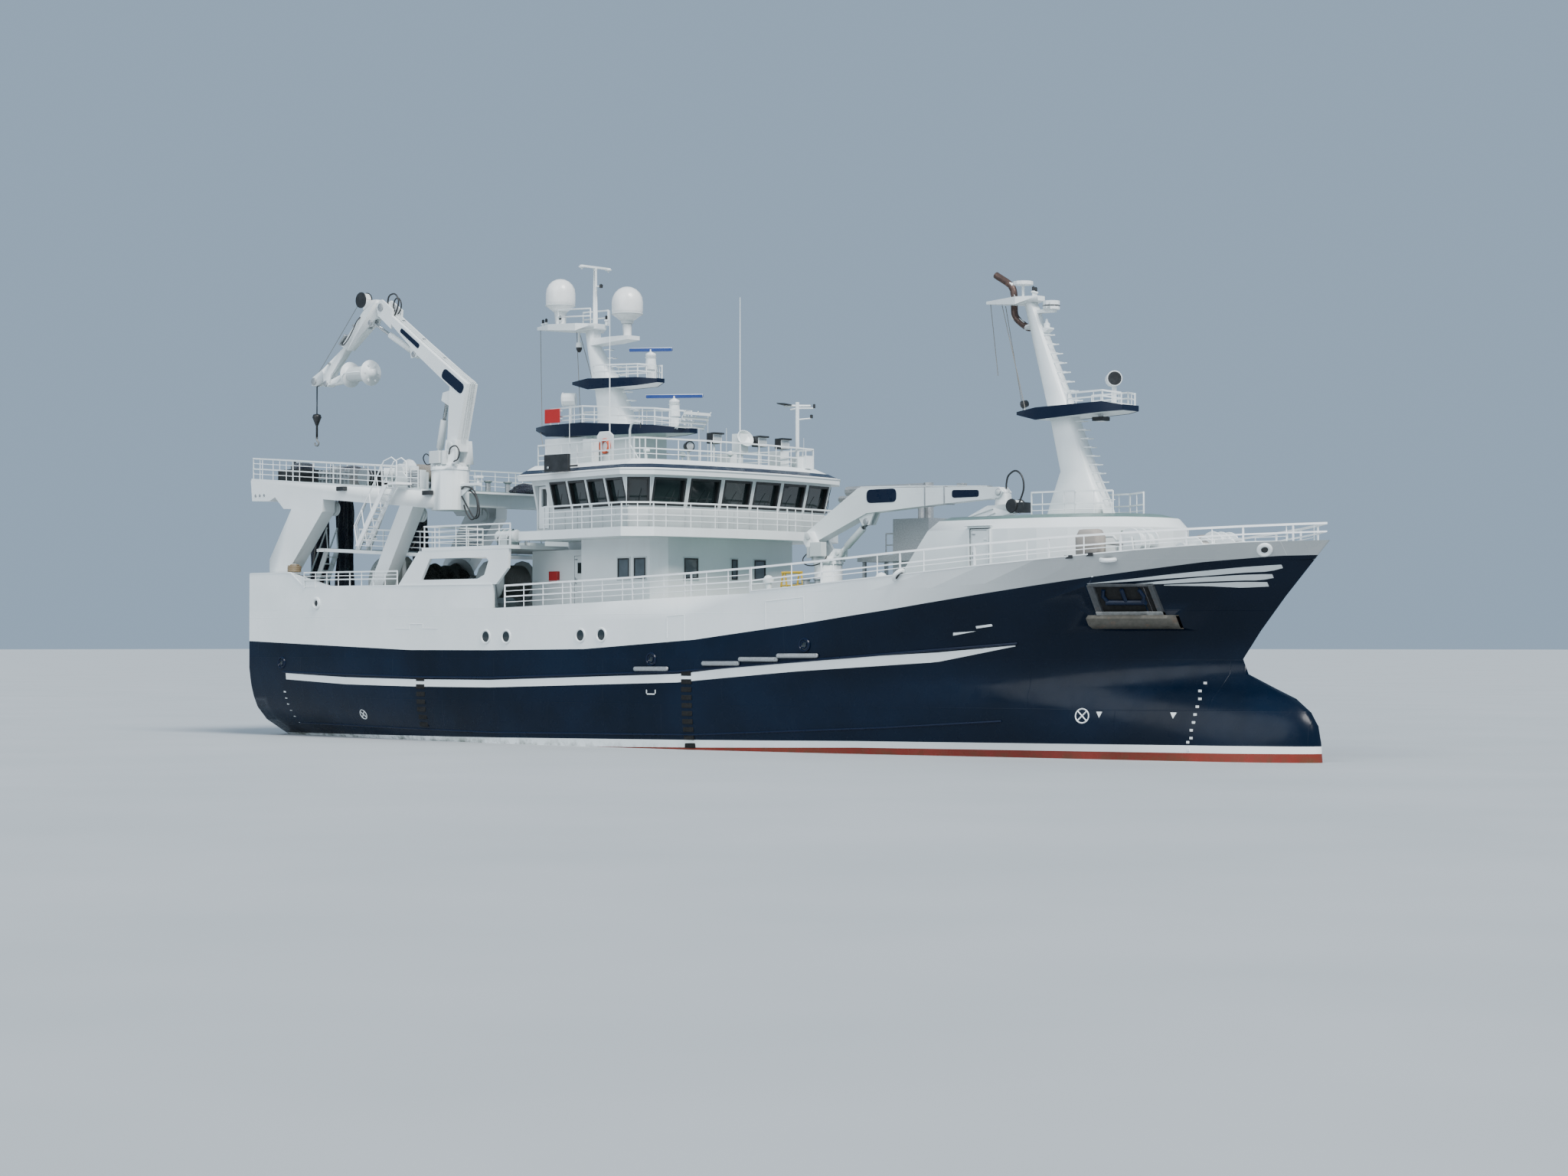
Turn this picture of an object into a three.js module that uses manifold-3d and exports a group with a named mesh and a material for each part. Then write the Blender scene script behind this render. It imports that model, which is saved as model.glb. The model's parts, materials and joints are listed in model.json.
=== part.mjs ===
// Fishing trawler afloat, 51 m long, built at a scale of 1:2.
// x runs forward, y to port and z up; the origin is amidships on the waterline.
// Every size below is in metres of the full-size ship and is scaled where a shape is made.
import * as THREE from 'three';
import { mergeVertices } from 'three/addons/utils/BufferGeometryUtils.js';
import Module from 'manifold-3d';

const wasm = await Module();
wasm.setup();

// Scale and fits
const metre = 500; // millimetres of the model for one full-size metre
const fit = 0.0008; // gap between pieces that rest on each other, 0.4 mm on the model

// Hull
const halfBeam = 5.7;
const stern = -25.5;
const plating = 0.12; // bulwarks and screens
// Height against length for the deck at side, the top of the hull plating and the rail above it
const deckLine = [[-25.5, 5.33], [-9, 5.33], [-1.6, 5.56], [4, 5.74], [12, 5.8], [17, 6.1], [21, 6.45], [25.6, 6.75]];
const sheerLine = [[4, 5.78], [6.9, 5.96], [11.9, 6.34], [16.8, 6.76], [20.7, 7.08], [23.3, 7.26], [25.6, 7.34]];
const railLine = [[-9, 6.2], [-1.6, 6.42], [3.3, 6.6], [7.6, 6.83], [12.2, 7.15], [17.5, 7.5], [22.2, 7.74], [25.6, 7.9]];

// Superstructure
const houseFront = -1.8;
const houseHalf = 4.0;
const houseAft = -9.7;
const houseAftHalf = 3.3;
const houseStep = -6.1; // where the deckhouse narrows behind the side doors
const bridgeDeck = { under: 7.98, top: 8.33, overhang: 0.42, aft: -8.35 };
const wheelhouse = {
  aft: -7.9, doorEnd: -7.05, sideEnd: -1.85, aftHalf: 4.85, cornerHalf: 5.68,
  frontX: -0.7, frontRadius: 23, frontHalf: 5.0, facets: 6,
};
const windowSill = 9.22;
const windowHead = 10.16;
const wallTop = 10.3;
const glassBand = [windowSill - 0.05, windowHead + 0.05];
const roof = { lip: 10.5, top: 10.95, deckAft: -8.4 };
const boatDeck = { aft: -13.7, under: 7.66, top: 7.8 };

// Gantry over the aft deck
const gantry = { outer: 5.2, inner: 4.55, slope: -0.0742, topAtStern: 11.0, aft: -25.7, front: -14.3 };
const midDeck = { aft: -21.9, front: -14.6, topAft: 8.0, topFront: 7.62, thick: 0.14 };

// Cranes: places in the plane of each crane as [x, z]
const aftCrane = {
  x: -13.45, y: -4.4, radius: 0.77, flange: 10.97, foot: [-12.95, 11.95], knuckle: [-17.55, 17.93],
  luffFoot: [-14.2, 11.5], luffEye: [-13.62, 13.98], jibFoot: [-15.55, 15.85], jibEye: [-18.36, 17.36],
  blockPin: [-21.3, 14.98], sheave: [-22.15, 15.12],
};
const foreCrane = {
  x: 1.5, y: 2.0, radius: 0.55, flange: 7.0, foot: [0.79, 8.1], knuckle: [10.15, 9.5],
  luffFoot: [2.15, 7.42], luffEye: [3.6, 8.6],
};

// Materials
const paint = (name, color, roughness = 0.45, metalness = 0) =>
  Object.assign(new THREE.MeshStandardMaterial({ color, roughness, metalness }), { name });
const white = paint('white paint', 0xdfe3e2);
const navy = paint('navy paint', 0x101c36);
const grey = paint('grey paint', 0x8b9092);
const steel = paint('bare steel', 0xa9adaf, 0.3, 0.9);
const galvanised = paint('galvanised steel', 0x9aa0a3, 0.5, 0.7);
const glass = paint('window glass', 0x1c2a2e, 0.1);
const netting = paint('netting', 0x14203a, 0.9);
const black = paint('black rubber', 0x151617, 0.7);
const bronze = paint('propeller bronze', 0xb08d4c, 0.35, 0.9);

const ship = new THREE.Group();

// Shape helpers
const lerp = (a, b, t) => a + (b - a) * t;

function along(table, x, column = 1) {
  if (x <= table[0][0]) return table[0][column];
  for (let i = 1; i < table.length; i++) {
    const [low, high] = [table[i - 1], table[i]];
    if (x <= high[0]) return lerp(low[column], high[column], (x - low[0]) / (high[0] - low[0]));
  }
  return table[table.length - 1][column];
}

function solidOf(geometry) {
  const shape = geometry.clone();
  shape.deleteAttribute('normal');
  shape.deleteAttribute('uv');
  const merged = mergeVertices(shape, 1e-3);
  return new wasm.Manifold(new wasm.Mesh({
    numProp: 3,
    vertProperties: Float32Array.from(merged.attributes.position.array),
    triVerts: Uint32Array.from(merged.index.array),
  }));
}

const join = (...solids) => solids.flat().reduce((all, next) => all.add(next));
const cut = (solid, ...tools) => tools.flat().reduce((all, next) => all.subtract(next), solid);
const port = (solid) => solid.mirror([0, 1, 0]);
const bothSides = (solid) => solid.add(port(solid));

function place(name, solid, material) {
  const { vertProperties, triVerts } = solid.getMesh();
  const geometry = new THREE.BufferGeometry();
  geometry.setAttribute('position', new THREE.BufferAttribute(Float32Array.from(vertProperties), 3));
  geometry.setIndex(new THREE.BufferAttribute(Uint32Array.from(triVerts), 1));
  geometry.computeVertexNormals();
  const mesh = new THREE.Mesh(geometry, material);
  mesh.name = name;
  ship.add(mesh);
}

function box(x, y, z) {
  const shape = new THREE.BoxGeometry((x[1] - x[0]) * metre, (y[1] - y[0]) * metre, (z[1] - z[0]) * metre);
  shape.translate((x[0] + x[1]) / 2 * metre, (y[0] + y[1]) / 2 * metre, (z[0] + z[1]) / 2 * metre);
  return solidOf(shape);
}

function outline(points) {
  return new THREE.Shape(points.map(([a, b]) => new THREE.Vector2(a * metre, b * metre)));
}

// A side outline of [x, z] points, as thick as y[0] to y[1]
function plate(points, y) {
  const shape = new THREE.ExtrudeGeometry(outline(points), { depth: (y[1] - y[0]) * metre, bevelEnabled: false });
  shape.rotateX(Math.PI / 2);
  shape.translate(0, y[1] * metre, 0);
  return solidOf(shape);
}

// A plan outline of [x, y] points, as high as z[0] to z[1]
function slab(points, z) {
  const shape = new THREE.ExtrudeGeometry(outline(points), { depth: (z[1] - z[0]) * metre, bevelEnabled: false });
  shape.translate(0, 0, z[0] * metre);
  return solidOf(shape);
}

const vector = ([x, y, z]) => new THREE.Vector3(x * metre, y * metre, z * metre);

// A round rod, or a cone if two radii are given, from one point to another
function rod(from, to, radius, sides = 8, endRadius = radius) {
  const [a, b] = [vector(from), vector(to)];
  const span = b.clone().sub(a);
  const shape = new THREE.CylinderGeometry(endRadius * metre, radius * metre, span.length(), sides);
  shape.applyQuaternion(new THREE.Quaternion().setFromUnitVectors(new THREE.Vector3(0, 1, 0), span.normalize()));
  shape.translate((a.x + b.x) / 2, (a.y + b.y) / 2, (a.z + b.z) / 2);
  return solidOf(shape);
}

// A turned shape from [radius, height] points, standing at a point with its axis along a direction
function turned(points, at, axis = [0, 0, 1], sides = 16) {
  const shape = new THREE.LatheGeometry(points.map(([r, h]) => new THREE.Vector2(r * metre, h * metre)), sides);
  const direction = new THREE.Vector3(...axis).normalize();
  shape.applyQuaternion(new THREE.Quaternion().setFromUnitVectors(new THREE.Vector3(0, 1, 0), direction));
  const centre = vector(at);
  shape.translate(centre.x, centre.y, centre.z);
  return solidOf(shape);
}

// A closed skin over rows of points; the ends are closed by joining opposite points of the row
function loft(rows) {
  const count = rows[0].length;
  const positions = rows.flat().flatMap(([x, y, z]) => [x * metre, y * metre, z * metre]);
  const faces = [];
  for (let row = 0; row < rows.length - 1; row++) {
    for (let i = 0; i < count; i++) {
      const next = (i + 1) % count;
      const [a, b] = [row * count + i, row * count + next];
      faces.push([a, b, b + count], [a, b + count, a + count]);
    }
  }
  const close = (first, turn) => {
    for (let i = 0; i < Math.floor(count / 2); i++) {
      const [a, b, c, d] = [i, i + 1, count - 2 - i, count - 1 - i].map((k) => first + k);
      const pair = b === c ? [[a, d, b]] : [[a, d, c], [a, c, b]];
      if (a !== d) faces.push(...pair.filter((f) => new Set(f).size === 3).map((f) => (turn ? f.reverse() : f)));
    }
  };
  close(0, false);
  close((rows.length - 1) * count, true);
  const shape = new THREE.BufferGeometry();
  shape.setAttribute('position', new THREE.Float32BufferAttribute(positions, 3));
  shape.setIndex(faces.flat());
  const solid = solidOf(shape);
  if (solid.volume() > 0) return solid;
  shape.setIndex(faces.flatMap(([a, b, c]) => [a, c, b]));
  return solidOf(shape);
}

// A flat bar of square section that follows a path, with mitred corners
function bar(path, width) {
  const half = width / 2;
  return loft(path.map((p, i) => {
    const [before, after] = [path[Math.max(i - 1, 0)], path[Math.min(i + 1, path.length - 1)]];
    const unit = ([ax, ay], [bx, by]) => {
      const length = Math.hypot(bx - ax, by - ay) || 1;
      return [(bx - ax) / length, (by - ay) / length];
    };
    const [u, v] = [i ? unit(before, p) : unit(p, after), i < path.length - 1 ? unit(p, after) : unit(before, p)];
    const [sx, sy] = [u[0] + v[0], u[1] + v[1]];
    const norm = Math.hypot(sx, sy);
    const reach = half / Math.max(0.4, norm / 2);
    const [nx, ny] = [-sy / norm * reach, sx / norm * reach];
    return [[p[0] - nx, p[1] - ny, p[2] - half], [p[0] + nx, p[1] + ny, p[2] - half],
      [p[0] + nx, p[1] + ny, p[2] + half], [p[0] - nx, p[1] - ny, p[2] + half]];
  }));
}

// A rail on posts over a path of [x, y, z] feet
function railing(path, { height = 0.95, bars = 2, pitch = 2.4, width = 0.05, sink = 0.03 } = {}) {
  const pieces = [];
  for (let level = 1; level <= bars; level++) {
    const h = height * level / bars;
    pieces.push(bar(path.map(([x, y, z]) => [x, y, z + h]), level === bars ? width * 1.2 : width));
  }
  for (let i = 1; i < path.length; i++) {
    const [a, b] = [path[i - 1], path[i]];
    const length = Math.hypot(b[0] - a[0], b[1] - a[1]);
    const posts = Math.max(1, Math.round(length / pitch));
    for (let post = i === 1 ? 0 : 1; post <= posts; post++) {
      const [x, y, z] = a.map((v, k) => lerp(v, b[k], post / posts));
      const half = width * 0.4;
      pieces.push(box([x - half, x + half], [y - half, y + half], [z - sink, z + height]));
    }
  }
  return join(pieces);
}

// A stair with two stringers, treads and hand rails, from [x, z] to [x, z]
function stair(from, to, y, steps) {
  const pieces = [];
  for (const side of [y[0], y[1] - 0.05]) {
    pieces.push(plate([[from[0], from[1]], [from[0] + 0.3, from[1]], [to[0] + 0.15, to[1]], [to[0] - 0.15, to[1]]],
      [side, side + 0.05]));
    const lift = (p, h) => [p[0], side + 0.025, p[1] + h];
    pieces.push(rod(lift(from, 0.95), lift(to, 0.95), 0.035, 4));
    for (const t of [0.03, 0.97]) {
      const p = [lerp(from[0], to[0], t) + 0.1, lerp(from[1], to[1], t)];
      pieces.push(rod(lift(p, 0), lift([p[0] - 0.1, p[1]], 0.95), 0.035, 4));
    }
  }
  for (let i = 1; i <= steps; i++) {
    const t = i / (steps + 1);
    const [x, z] = [lerp(from[0], to[0], t) + 0.12, lerp(from[1], to[1], t)];
    pieces.push(box([x - 0.13, x + 0.1], [y[0] + 0.02, y[1] - 0.02], [z - 0.04, z]));
  }
  return join(pieces);
}

// Hull form. Columns: height, stem x, x where the bow taper starts, power of the taper, half breadth,
// aft end x, x where the aft taper starts, half breadth at the aft end, half breadth of the bulb
const hullForm = [
  [-5.0, 20.4, -4, 1.30, 3.3, -19.4, -4, 0.22, 0],
  [-4.6, 22.2, -4, 1.35, 4.6, -19.4, -5, 0.24, 0.35],
  [-4.0, 23.4, -3, 1.40, 5.1, -19.5, -6, 0.26, 0.6],
  [-3.0, 24.6, -3, 1.45, 5.45, -19.6, -7, 0.30, 0.75],
  [-2.0, 25.1, -2, 1.50, 5.6, -20.0, -8, 0.40, 0.8],
  [-1.5, 25.2, -2, 1.55, 5.62, -21.9, -8, 0.80, 0.8],
  [-1.0, 25.2, -2, 1.58, 5.64, -23.8, -9, 1.60, 0.8],
  [-0.5, 25.15, -2, 1.60, 5.66, -25.4, -9, 2.40, 0.78],
  [0.0, 25.1, -2, 1.62, 5.67, stern, -9, 3.30, 0.75],
  [0.65, 25.06, -1, 1.70, 5.68, stern, -10, 4.45, 0.68],
  [1.2, 24.97, 0, 1.75, 5.69, stern, -12, 4.95, 0.58],
  [1.65, 24.70, 0, 1.80, 5.7, stern, -14, 5.15, 0.45],
  [2.1, 24.12, 1, 1.85, 5.7, stern, -16, 5.28, 0.28],
  [2.45, 23.28, 1, 1.90, 5.7, stern, -17, 5.34, 0.12],
  [2.9, 22.25, 2, 2.0, 5.7, stern, -18, 5.4, 0.04],
  [3.4, 22.03, 3, 2.1, 5.7, stern, -18, 5.4, 0],
  [3.75, 22.1, 3, 2.2, 5.7, stern, -18, 5.4, 0],
  [4.5, 22.85, 4, 2.35, 5.7, stern, -18, 5.4, 0],
  [5.5, 23.68, 5, 2.6, 5.7, stern, -18, 5.4, 0],
  [6.8, 24.95, 6, 2.9, 5.7, stern, -18, 5.4, 0],
  [7.4, 25.5, 7, 3.1, 5.7, stern, -18, 5.4, 0],
];
const formAt = (z, column) => along(hullForm, z, column);
const stations = [0, 0.02, 0.06, 0.12, 0.19, 0.26, 0.33, 0.4, 0.47, 0.54, 0.6, 0.66, 0.71, 0.76, 0.8, 0.84, 0.875,
  0.905, 0.93, 0.95, 0.967, 0.98, 0.99, 0.997, 1];

function halfBreadth(x, z) {
  const [stem, bowStart, power, half, aft, sternStart, aftHalf, bulb] =
    [1, 2, 3, 4, 5, 6, 7, 8].map((column) => formAt(z, column));
  if (x >= stem) return 0;
  if (x < sternStart) {
    const t = Math.min(1, (sternStart - x) / (sternStart - aft));
    return lerp(half, aftHalf, Math.pow(t, 1.35));
  }
  if (x < bowStart) return half;
  const t = (x - bowStart) / (stem - bowStart);
  const noseLength = 3;
  const back = stem - noseLength - x;
  const nose = back > 0 ? Math.max(0, 1 - back / 8) : Math.sqrt(1 - (back / noseLength) ** 2);
  return half * (1 - Math.pow(t, power)) + bulb * nose;
}

// One closed row round the hull: starboard from aft to the stem, then port back
function hullRow(heightAt, stemHeight) {
  const [aft, stem] = [formAt(stemHeight, 5), formAt(stemHeight, 1)];
  const side = stations.map((s) => {
    const x = lerp(aft, stem, s);
    const z = heightAt(x);
    return [x, s === 1 ? 0 : -halfBreadth(Math.min(x, formAt(z, 1) - 0.01), z), z];
  });
  const back = side.slice(0, -1).reverse().map(([x, y, z]) => [x, -y, z]);
  return [...side, ...back];
}

const propellerAt = [-20.95, 0, -3.2];
const rudderAt = -23.0;
const rudderTop = -1.32;
const topOfLevels = 3.4;
const hullLevels = hullForm.map(([z]) => z).filter((z) => z <= topOfLevels);
const deckStem = 6.7;
const upperRows = [0.3, 0.65, 1].map((share) =>
  hullRow((x) => lerp(topOfLevels, along(deckLine, x), share), lerp(topOfLevels, deckStem, share)));

const hullShell = loft([...hullLevels.map((z) => hullRow(() => z, z)), ...upperRows]);
const deckTool = hullShell.translate([0, 0, fit * metre]);
const onDeck = (solid) => solid.subtract(deckTool);
const deckChords = stations.map((s) => lerp(stern, formAt(deckStem, 1), s)).map((x) => [x, along(deckLine, x)]);
const deckAt = (x) => along(deckChords, x);

// A bar along the plating between two heights, standing out from the side
function strake(xs, [low, high], out) {
  return loft(xs.map((x) => {
    const [inLow, inHigh] = [halfBreadth(x, low), halfBreadth(x, high)];
    return [[x, -inLow + 0.15, low], [x, -inLow - out, low], [x, -inHigh - out, high], [x, -inHigh + 0.15, high]];
  }));
}

function makeHull() {
  const nozzle = turned([[1.42, -0.55], [1.68, -0.5], [1.62, 0.55], [1.48, 0.6], [1.46, 0], [1.42, -0.55]],
    [-21.0, 0, -3.2], [1, 0, 0], 24);
  const nozzleStrut = box([-21.4, -20.6], [-0.14, 0.14], [-1.7, -1.2]);
  const nozzleFoot = box([-21.4, -19.0], [-0.14, 0.14], [-4.98, -4.7]);
  const heel = box([-23.4, -21.2], [-0.14, 0.14], [-4.98, -4.78]);
  const shaftBoss = rod([propellerAt[0] + 0.42 + fit, 0, propellerAt[2]], [-19.2, 0, propellerAt[2]], 0.27, 12);
  const rudderTrunk = rod([rudderAt, 0, rudderTop], [rudderAt, 0, -1.0], 0.26, 12);
  const bilgeKeel = slab([[-5.5, -4.3], [3.5, -4.3], [2.7, -5.05], [-4.7, -5.05]], [-4.5, -4.4]);
  const anchorSill = strake([18.0, 18.9, 19.8, 20.6], [4.45, 4.85], 0.16);
  const anchorFrame = [18.2, 19.8].map((x) => strake([x, x + 0.16], [4.83, 5.9], 0.1));
  const fittings = bothSides(join(bilgeKeel, anchorSill, anchorFrame));
  return join(hullShell, nozzle, nozzleStrut, nozzleFoot, heel, shaftBoss, rudderTrunk, fittings);
}

// Plating that stands on the deck edge, from x to x
function bulwarkSide(from, to, topAt) {
  const inside = deckChords.map(([x]) => x).filter((x) => x > from + 0.05 && x < to - 0.05);
  return loft([from, ...inside, to].map((x) => {
    const [low, high] = [deckAt(x) + fit, topAt(x)];
    const [outLow, outHigh] = [halfBreadth(x, low), halfBreadth(x, high)];
    const slope = Math.abs(halfBreadth(x, low) - halfBreadth(x - 0.3, low)) / 0.3;
    const thick = plating * Math.hypot(1, Math.min(slope, 4));
    return [[x, -outLow, low], [x, -outHigh, high], [x, -outHigh + thick, high], [x, -outLow + thick, low]];
  }));
}

function makeBowBulwark() {
  const noseFrom = 24.2;
  const side = bulwarkSide(4.6, noseFrom, (x) => along(sheerLine, x));
  const [low, high] = [deckAt(noseFrom) + fit, along(sheerLine, noseFrom)];
  const [outLow, outHigh] = [halfBreadth(noseFrom, low), halfBreadth(noseFrom, high)];
  const tip = [formAt(6.71, 1) - 0.02, formAt(7.33, 1) - 0.02];
  const nose = loft([
    [[noseFrom - 0.01, -outLow, low], [noseFrom - 0.01, -outHigh, high], [noseFrom - 0.01, outHigh, high],
      [noseFrom - 0.01, outLow, low]],
    [[tip[0], -0.03, 6.71 + fit], [tip[1], -0.05, 7.33], [tip[1], 0.05, 7.33], [tip[0], 0.03, 6.71 + fit]]]);
  return join(bothSides(side), nose);
}

const bowBulwarkTool = makeBowBulwark().translate([0, 0, fit * metre]);

function makeAftBulwark() {
  const topAt = (x) => along([[-22.4, 6.93], [-21.5, 6.31], [-9, 6.25]], x);
  const side = bulwarkSide(stern, -9.4, topAt);
  const low = deckLine[0][1] + fit;
  const corner = box([stern, stern + plating], [-5.38, -2.2], [low, 6.93]);
  const sill = box([stern, stern + 0.4], [-2.3, 2.3], [low, 5.8]);
  const rail = railing([[-21.4, -5.64, 6.3], [-15.3, -5.64, 6.27]], { height: 0.62, bars: 2, pitch: 1.6 });
  return join(bothSides(join(side, corner, rail)), sill);
}

function makeDeckRail() {
  const feet = [-8.8, -5, -1.6, 1.5, 4.5, 8, 11.5, 14.5, 17.2, 19.6, 21.6, 23.2, 24.5].map((x) => {
    const base = x < 4.6 ? deckAt(x) + fit : along(sheerLine, x) + fit;
    const inset = x < 4.6 ? 0.12 : 0.07;
    return [x, -(halfBreadth(x, Math.min(base, 7.3)) - inset), base];
  });
  const levelAt = (share) => [...feet, [25.3, 0, 7.34]].map(([x, y, z]) => {
    const floor = x < 4.6 ? along(deckLine, x) : z;
    return [x, y, lerp(floor, along(railLine, x), share)];
  });
  const posts = feet.map(([x, y, z]) =>
    box([x - 0.025, x + 0.025], [y - 0.025, y + 0.025], [z, along(railLine, x)]));
  return cut(onDeck(bothSides(join(bar(levelAt(1), 0.07), bar(levelAt(0.5), 0.05), posts))), bowBulwarkTool);
}

// Plan of the wheelhouse, grown outwards by a distance; from starboard aft round the front to port aft
function wheelPlan(grow, aft = wheelhouse.aft) {
  const { doorEnd, sideEnd, aftHalf, cornerHalf, frontX, frontRadius, frontHalf, facets } = wheelhouse;
  const sideAt = (x) => along([[doorEnd, -aftHalf], [sideEnd, -cornerHalf]], x);
  const stepX = Math.max(doorEnd, aft + 0.02);
  const points = [[aft, sideAt(aft)], [stepX, sideAt(stepX)], [sideEnd, -cornerHalf]];
  for (let i = 0; i <= facets; i++) {
    const y = lerp(-frontHalf, frontHalf, i / facets);
    points.push([frontX - frontRadius + Math.sqrt(frontRadius ** 2 - y ** 2), y]);
  }
  points.push(...points.slice(0, 3).reverse().map(([x, y]) => [x, -y]));
  const normals = points.slice(1).map(([x, y], i) => {
    const [dx, dy] = [x - points[i][0], y - points[i][1]];
    return [dy / Math.hypot(dx, dy), -dx / Math.hypot(dx, dy)];
  });
  return points.map(([x, y], i) => {
    const [[ax, ay], [bx, by]] = [normals[Math.max(i - 1, 0)], normals[Math.min(i, normals.length - 1)]];
    const reach = grow * 2 / ((ax + bx) ** 2 + (ay + by) ** 2);
    const edge = i === 0 || i === points.length - 1;
    return edge ? [x, y + grow * Math.sign(y)] : [x + (ax + bx) * reach, y + (ay + by) * reach];
  });
}

const planRow = (grow, z, aft) => wheelPlan(grow, aft).map(([x, y]) => [x, y, z]);
const lean = 0.14; // how far the wall leans out at its top and in below the windows
const leanFrom = windowSill - 0.08;
const leanAt = (z) => (z < leanFrom ? -lean : lerp(-lean, lean, (z - leanFrom) / (wallTop - leanFrom)));

// A box that cuts one window between two corners of the plan
function windowTool([ax, ay], [bx, by], share, low = windowSill, high = windowHead) {
  const angle = Math.atan2(by - ay, bx - ax);
  const width = Math.hypot(bx - ax, by - ay) * share * metre;
  const shape = new THREE.BoxGeometry(width, 1.0 * metre, (high - low) * metre);
  shape.rotateZ(angle);
  shape.translate((ax + bx) / 2 * metre, (ay + by) / 2 * metre, (low + high) / 2 * metre);
  return solidOf(shape);
}

const sideDoor = { from: -7.8, to: -7.15, low: 8.42, high: 10.12 };
const glassAft = -6.9;

function makeWheelhouseWalls() {
  const floor = bridgeDeck.top + fit;
  const rowsFor = (inset, aft) => [floor - (inset ? 0.1 : 0), leanFrom, wallTop + (inset ? 0.1 : 0)].map((z) =>
    planRow(leanAt(z) - inset, z, aft));
  const outside = loft(rowsFor(0, wheelhouse.aft));
  const shell = cut(outside, loft(rowsFor(plating, wheelhouse.aft + plating)));
  const plan = wheelPlan(0);
  const tools = [];
  for (let i = 2; i < plan.length - 3; i++) tools.push(windowTool(plan[i], plan[i + 1], 0.82));
  const [from, to] = [wheelPlan(0, glassAft)[0], plan[2]];
  const sidePoint = (t) => [lerp(from[0], to[0], t), lerp(from[1], to[1], t)];
  for (let i = 0; i < 4; i++) {
    const [a, b] = [sidePoint(i / 4), sidePoint((i + 1) / 4)];
    tools.push(windowTool(a, b, 0.8), windowTool([a[0], -a[1]], [b[0], -b[1]], 0.8));
  }
  for (const y of [-3.2, 0, 3.2]) {
    tools.push(windowTool([wheelhouse.aft, y - 0.6], [wheelhouse.aft, y + 0.6], 1));
  }
  const outboard = -wheelhouse.aftHalf - 0.7;
  const doorway = box([sideDoor.from, sideDoor.to], [outboard, outboard + 1.2], [sideDoor.low, sideDoor.high]);
  const ledgeRow = (inset, z, aft) => planRow(-lean - inset, z, aft);
  const ledge = cut(loft([ledgeRow(0.05, glassBand[0] - 0.09, glassAft), ledgeRow(0.05, glassBand[0] - fit, glassAft)]),
    loft([ledgeRow(plating + 0.06, glassBand[0] - 0.2, -7.6), ledgeRow(plating + 0.06, glassBand[0] + 0.2, -7.6)]));
  const frame = box([sideDoor.from - 0.06, sideDoor.to + 0.06], [outboard, -wheelhouse.aftHalf + lean + plating],
    [floor, sideDoor.high + 0.08]).intersect(outside);
  return cut(join(cut(shell, tools), bothSides(frame), ledge), doorway, port(doorway));
}

// One band of glass just inside the wall, from the side door round the front to the other side door
function makeWheelhouseGlass() {
  const [low, high] = glassBand;
  const skin = plating + 0.006;
  const pane = 0.03;
  const rows = [[low, 0], [high, 0], [high, pane], [low, pane]].map(([z, depth]) =>
    wheelPlan(leanAt(z) - skin - depth, glassAft).map(([x, y]) => [x, y, z]));
  return loft(rows[0].map((_, i) => rows.map((row) => row[i])));
}

// A flat door leaf in a recess of the starboard side, hung on a rod at its fore edge
function hungDoor({ from, to, low, high }, y, thick, windowHeights) {
  const leaf = box([from + 0.02, to - 0.06], [y + 0.01, y + thick], [low + 0.02, high - 0.02]);
  const hinge = rod([to - 0.06, y, low + fit], [to - 0.06, y, high - fit], 0.04, 8);
  const window = windowHeights && box([from + 0.15, to - 0.18], [y - 1, y + 1], windowHeights);
  return join(windowHeights ? cut(leaf, window) : leaf, hinge);
}

// A floodlight on a post, facing forward
const floodlight = (x, y, z, post) => join(rod([x, y, z - 0.05], [x, y, z + post], 0.05, 5),
  box([x - 0.12, x + 0.2], [y - 0.24, y + 0.24], [z + post - 0.04, z + post + 0.34]));

function makeRoof() {
  const inset = -0.5;
  const brim = loft([planRow(0.48, wallTop + fit, wheelhouse.aft - 0.4), planRow(0.5, roof.lip, wheelhouse.aft - 0.45),
    planRow(inset, roof.top, roof.deckAft)]);
  const edge = wheelPlan(inset - 0.08, roof.deckAft + 0.1).map(([x, y]) => [x, y, roof.top]);
  const last = edge.length - 1;
  const rail = railing(edge.filter((_, i) => [0, 2, 3, 5, 7, 9, 10, last].includes(i)), { height: 0.8, bars: 2, pitch: 2.2 });
  const low = roof.top - 0.05;
  const instrumentMast = join(rod([-1.75, 3.75, low], [-1.75, 3.75, 13.6], 0.08, 6),
    rod([-2.1, 3.35, 13.45], [-1.4, 4.15, 13.45], 0.05, 4), box([-1.95, -1.55], [3.55, 3.95], [low, 11.4]));
  const domePost = join(rod([-2.2, 0.9, low], [-2.2, 0.9, 11.5], 0.12, 6), box([-2.45, -1.95], [0.7, 1.1], [11.45, 12.2]));
  const whips = [[-6.7, -1.9, 17.2], [-2.2, 0.9, 17.6]].map(([x, y, top]) => rod([x, y, low], [x, y, top], 0.04, 4, 0.015));
  const lights = [[-1.75, -1.05], [-1.75, 1.5], [-2.0, 3.1]].map(([x, y]) => floodlight(x, y, roof.top, 0.8));
  return join(brim, rail, instrumentMast, domePost, whips, lights);
}

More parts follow.
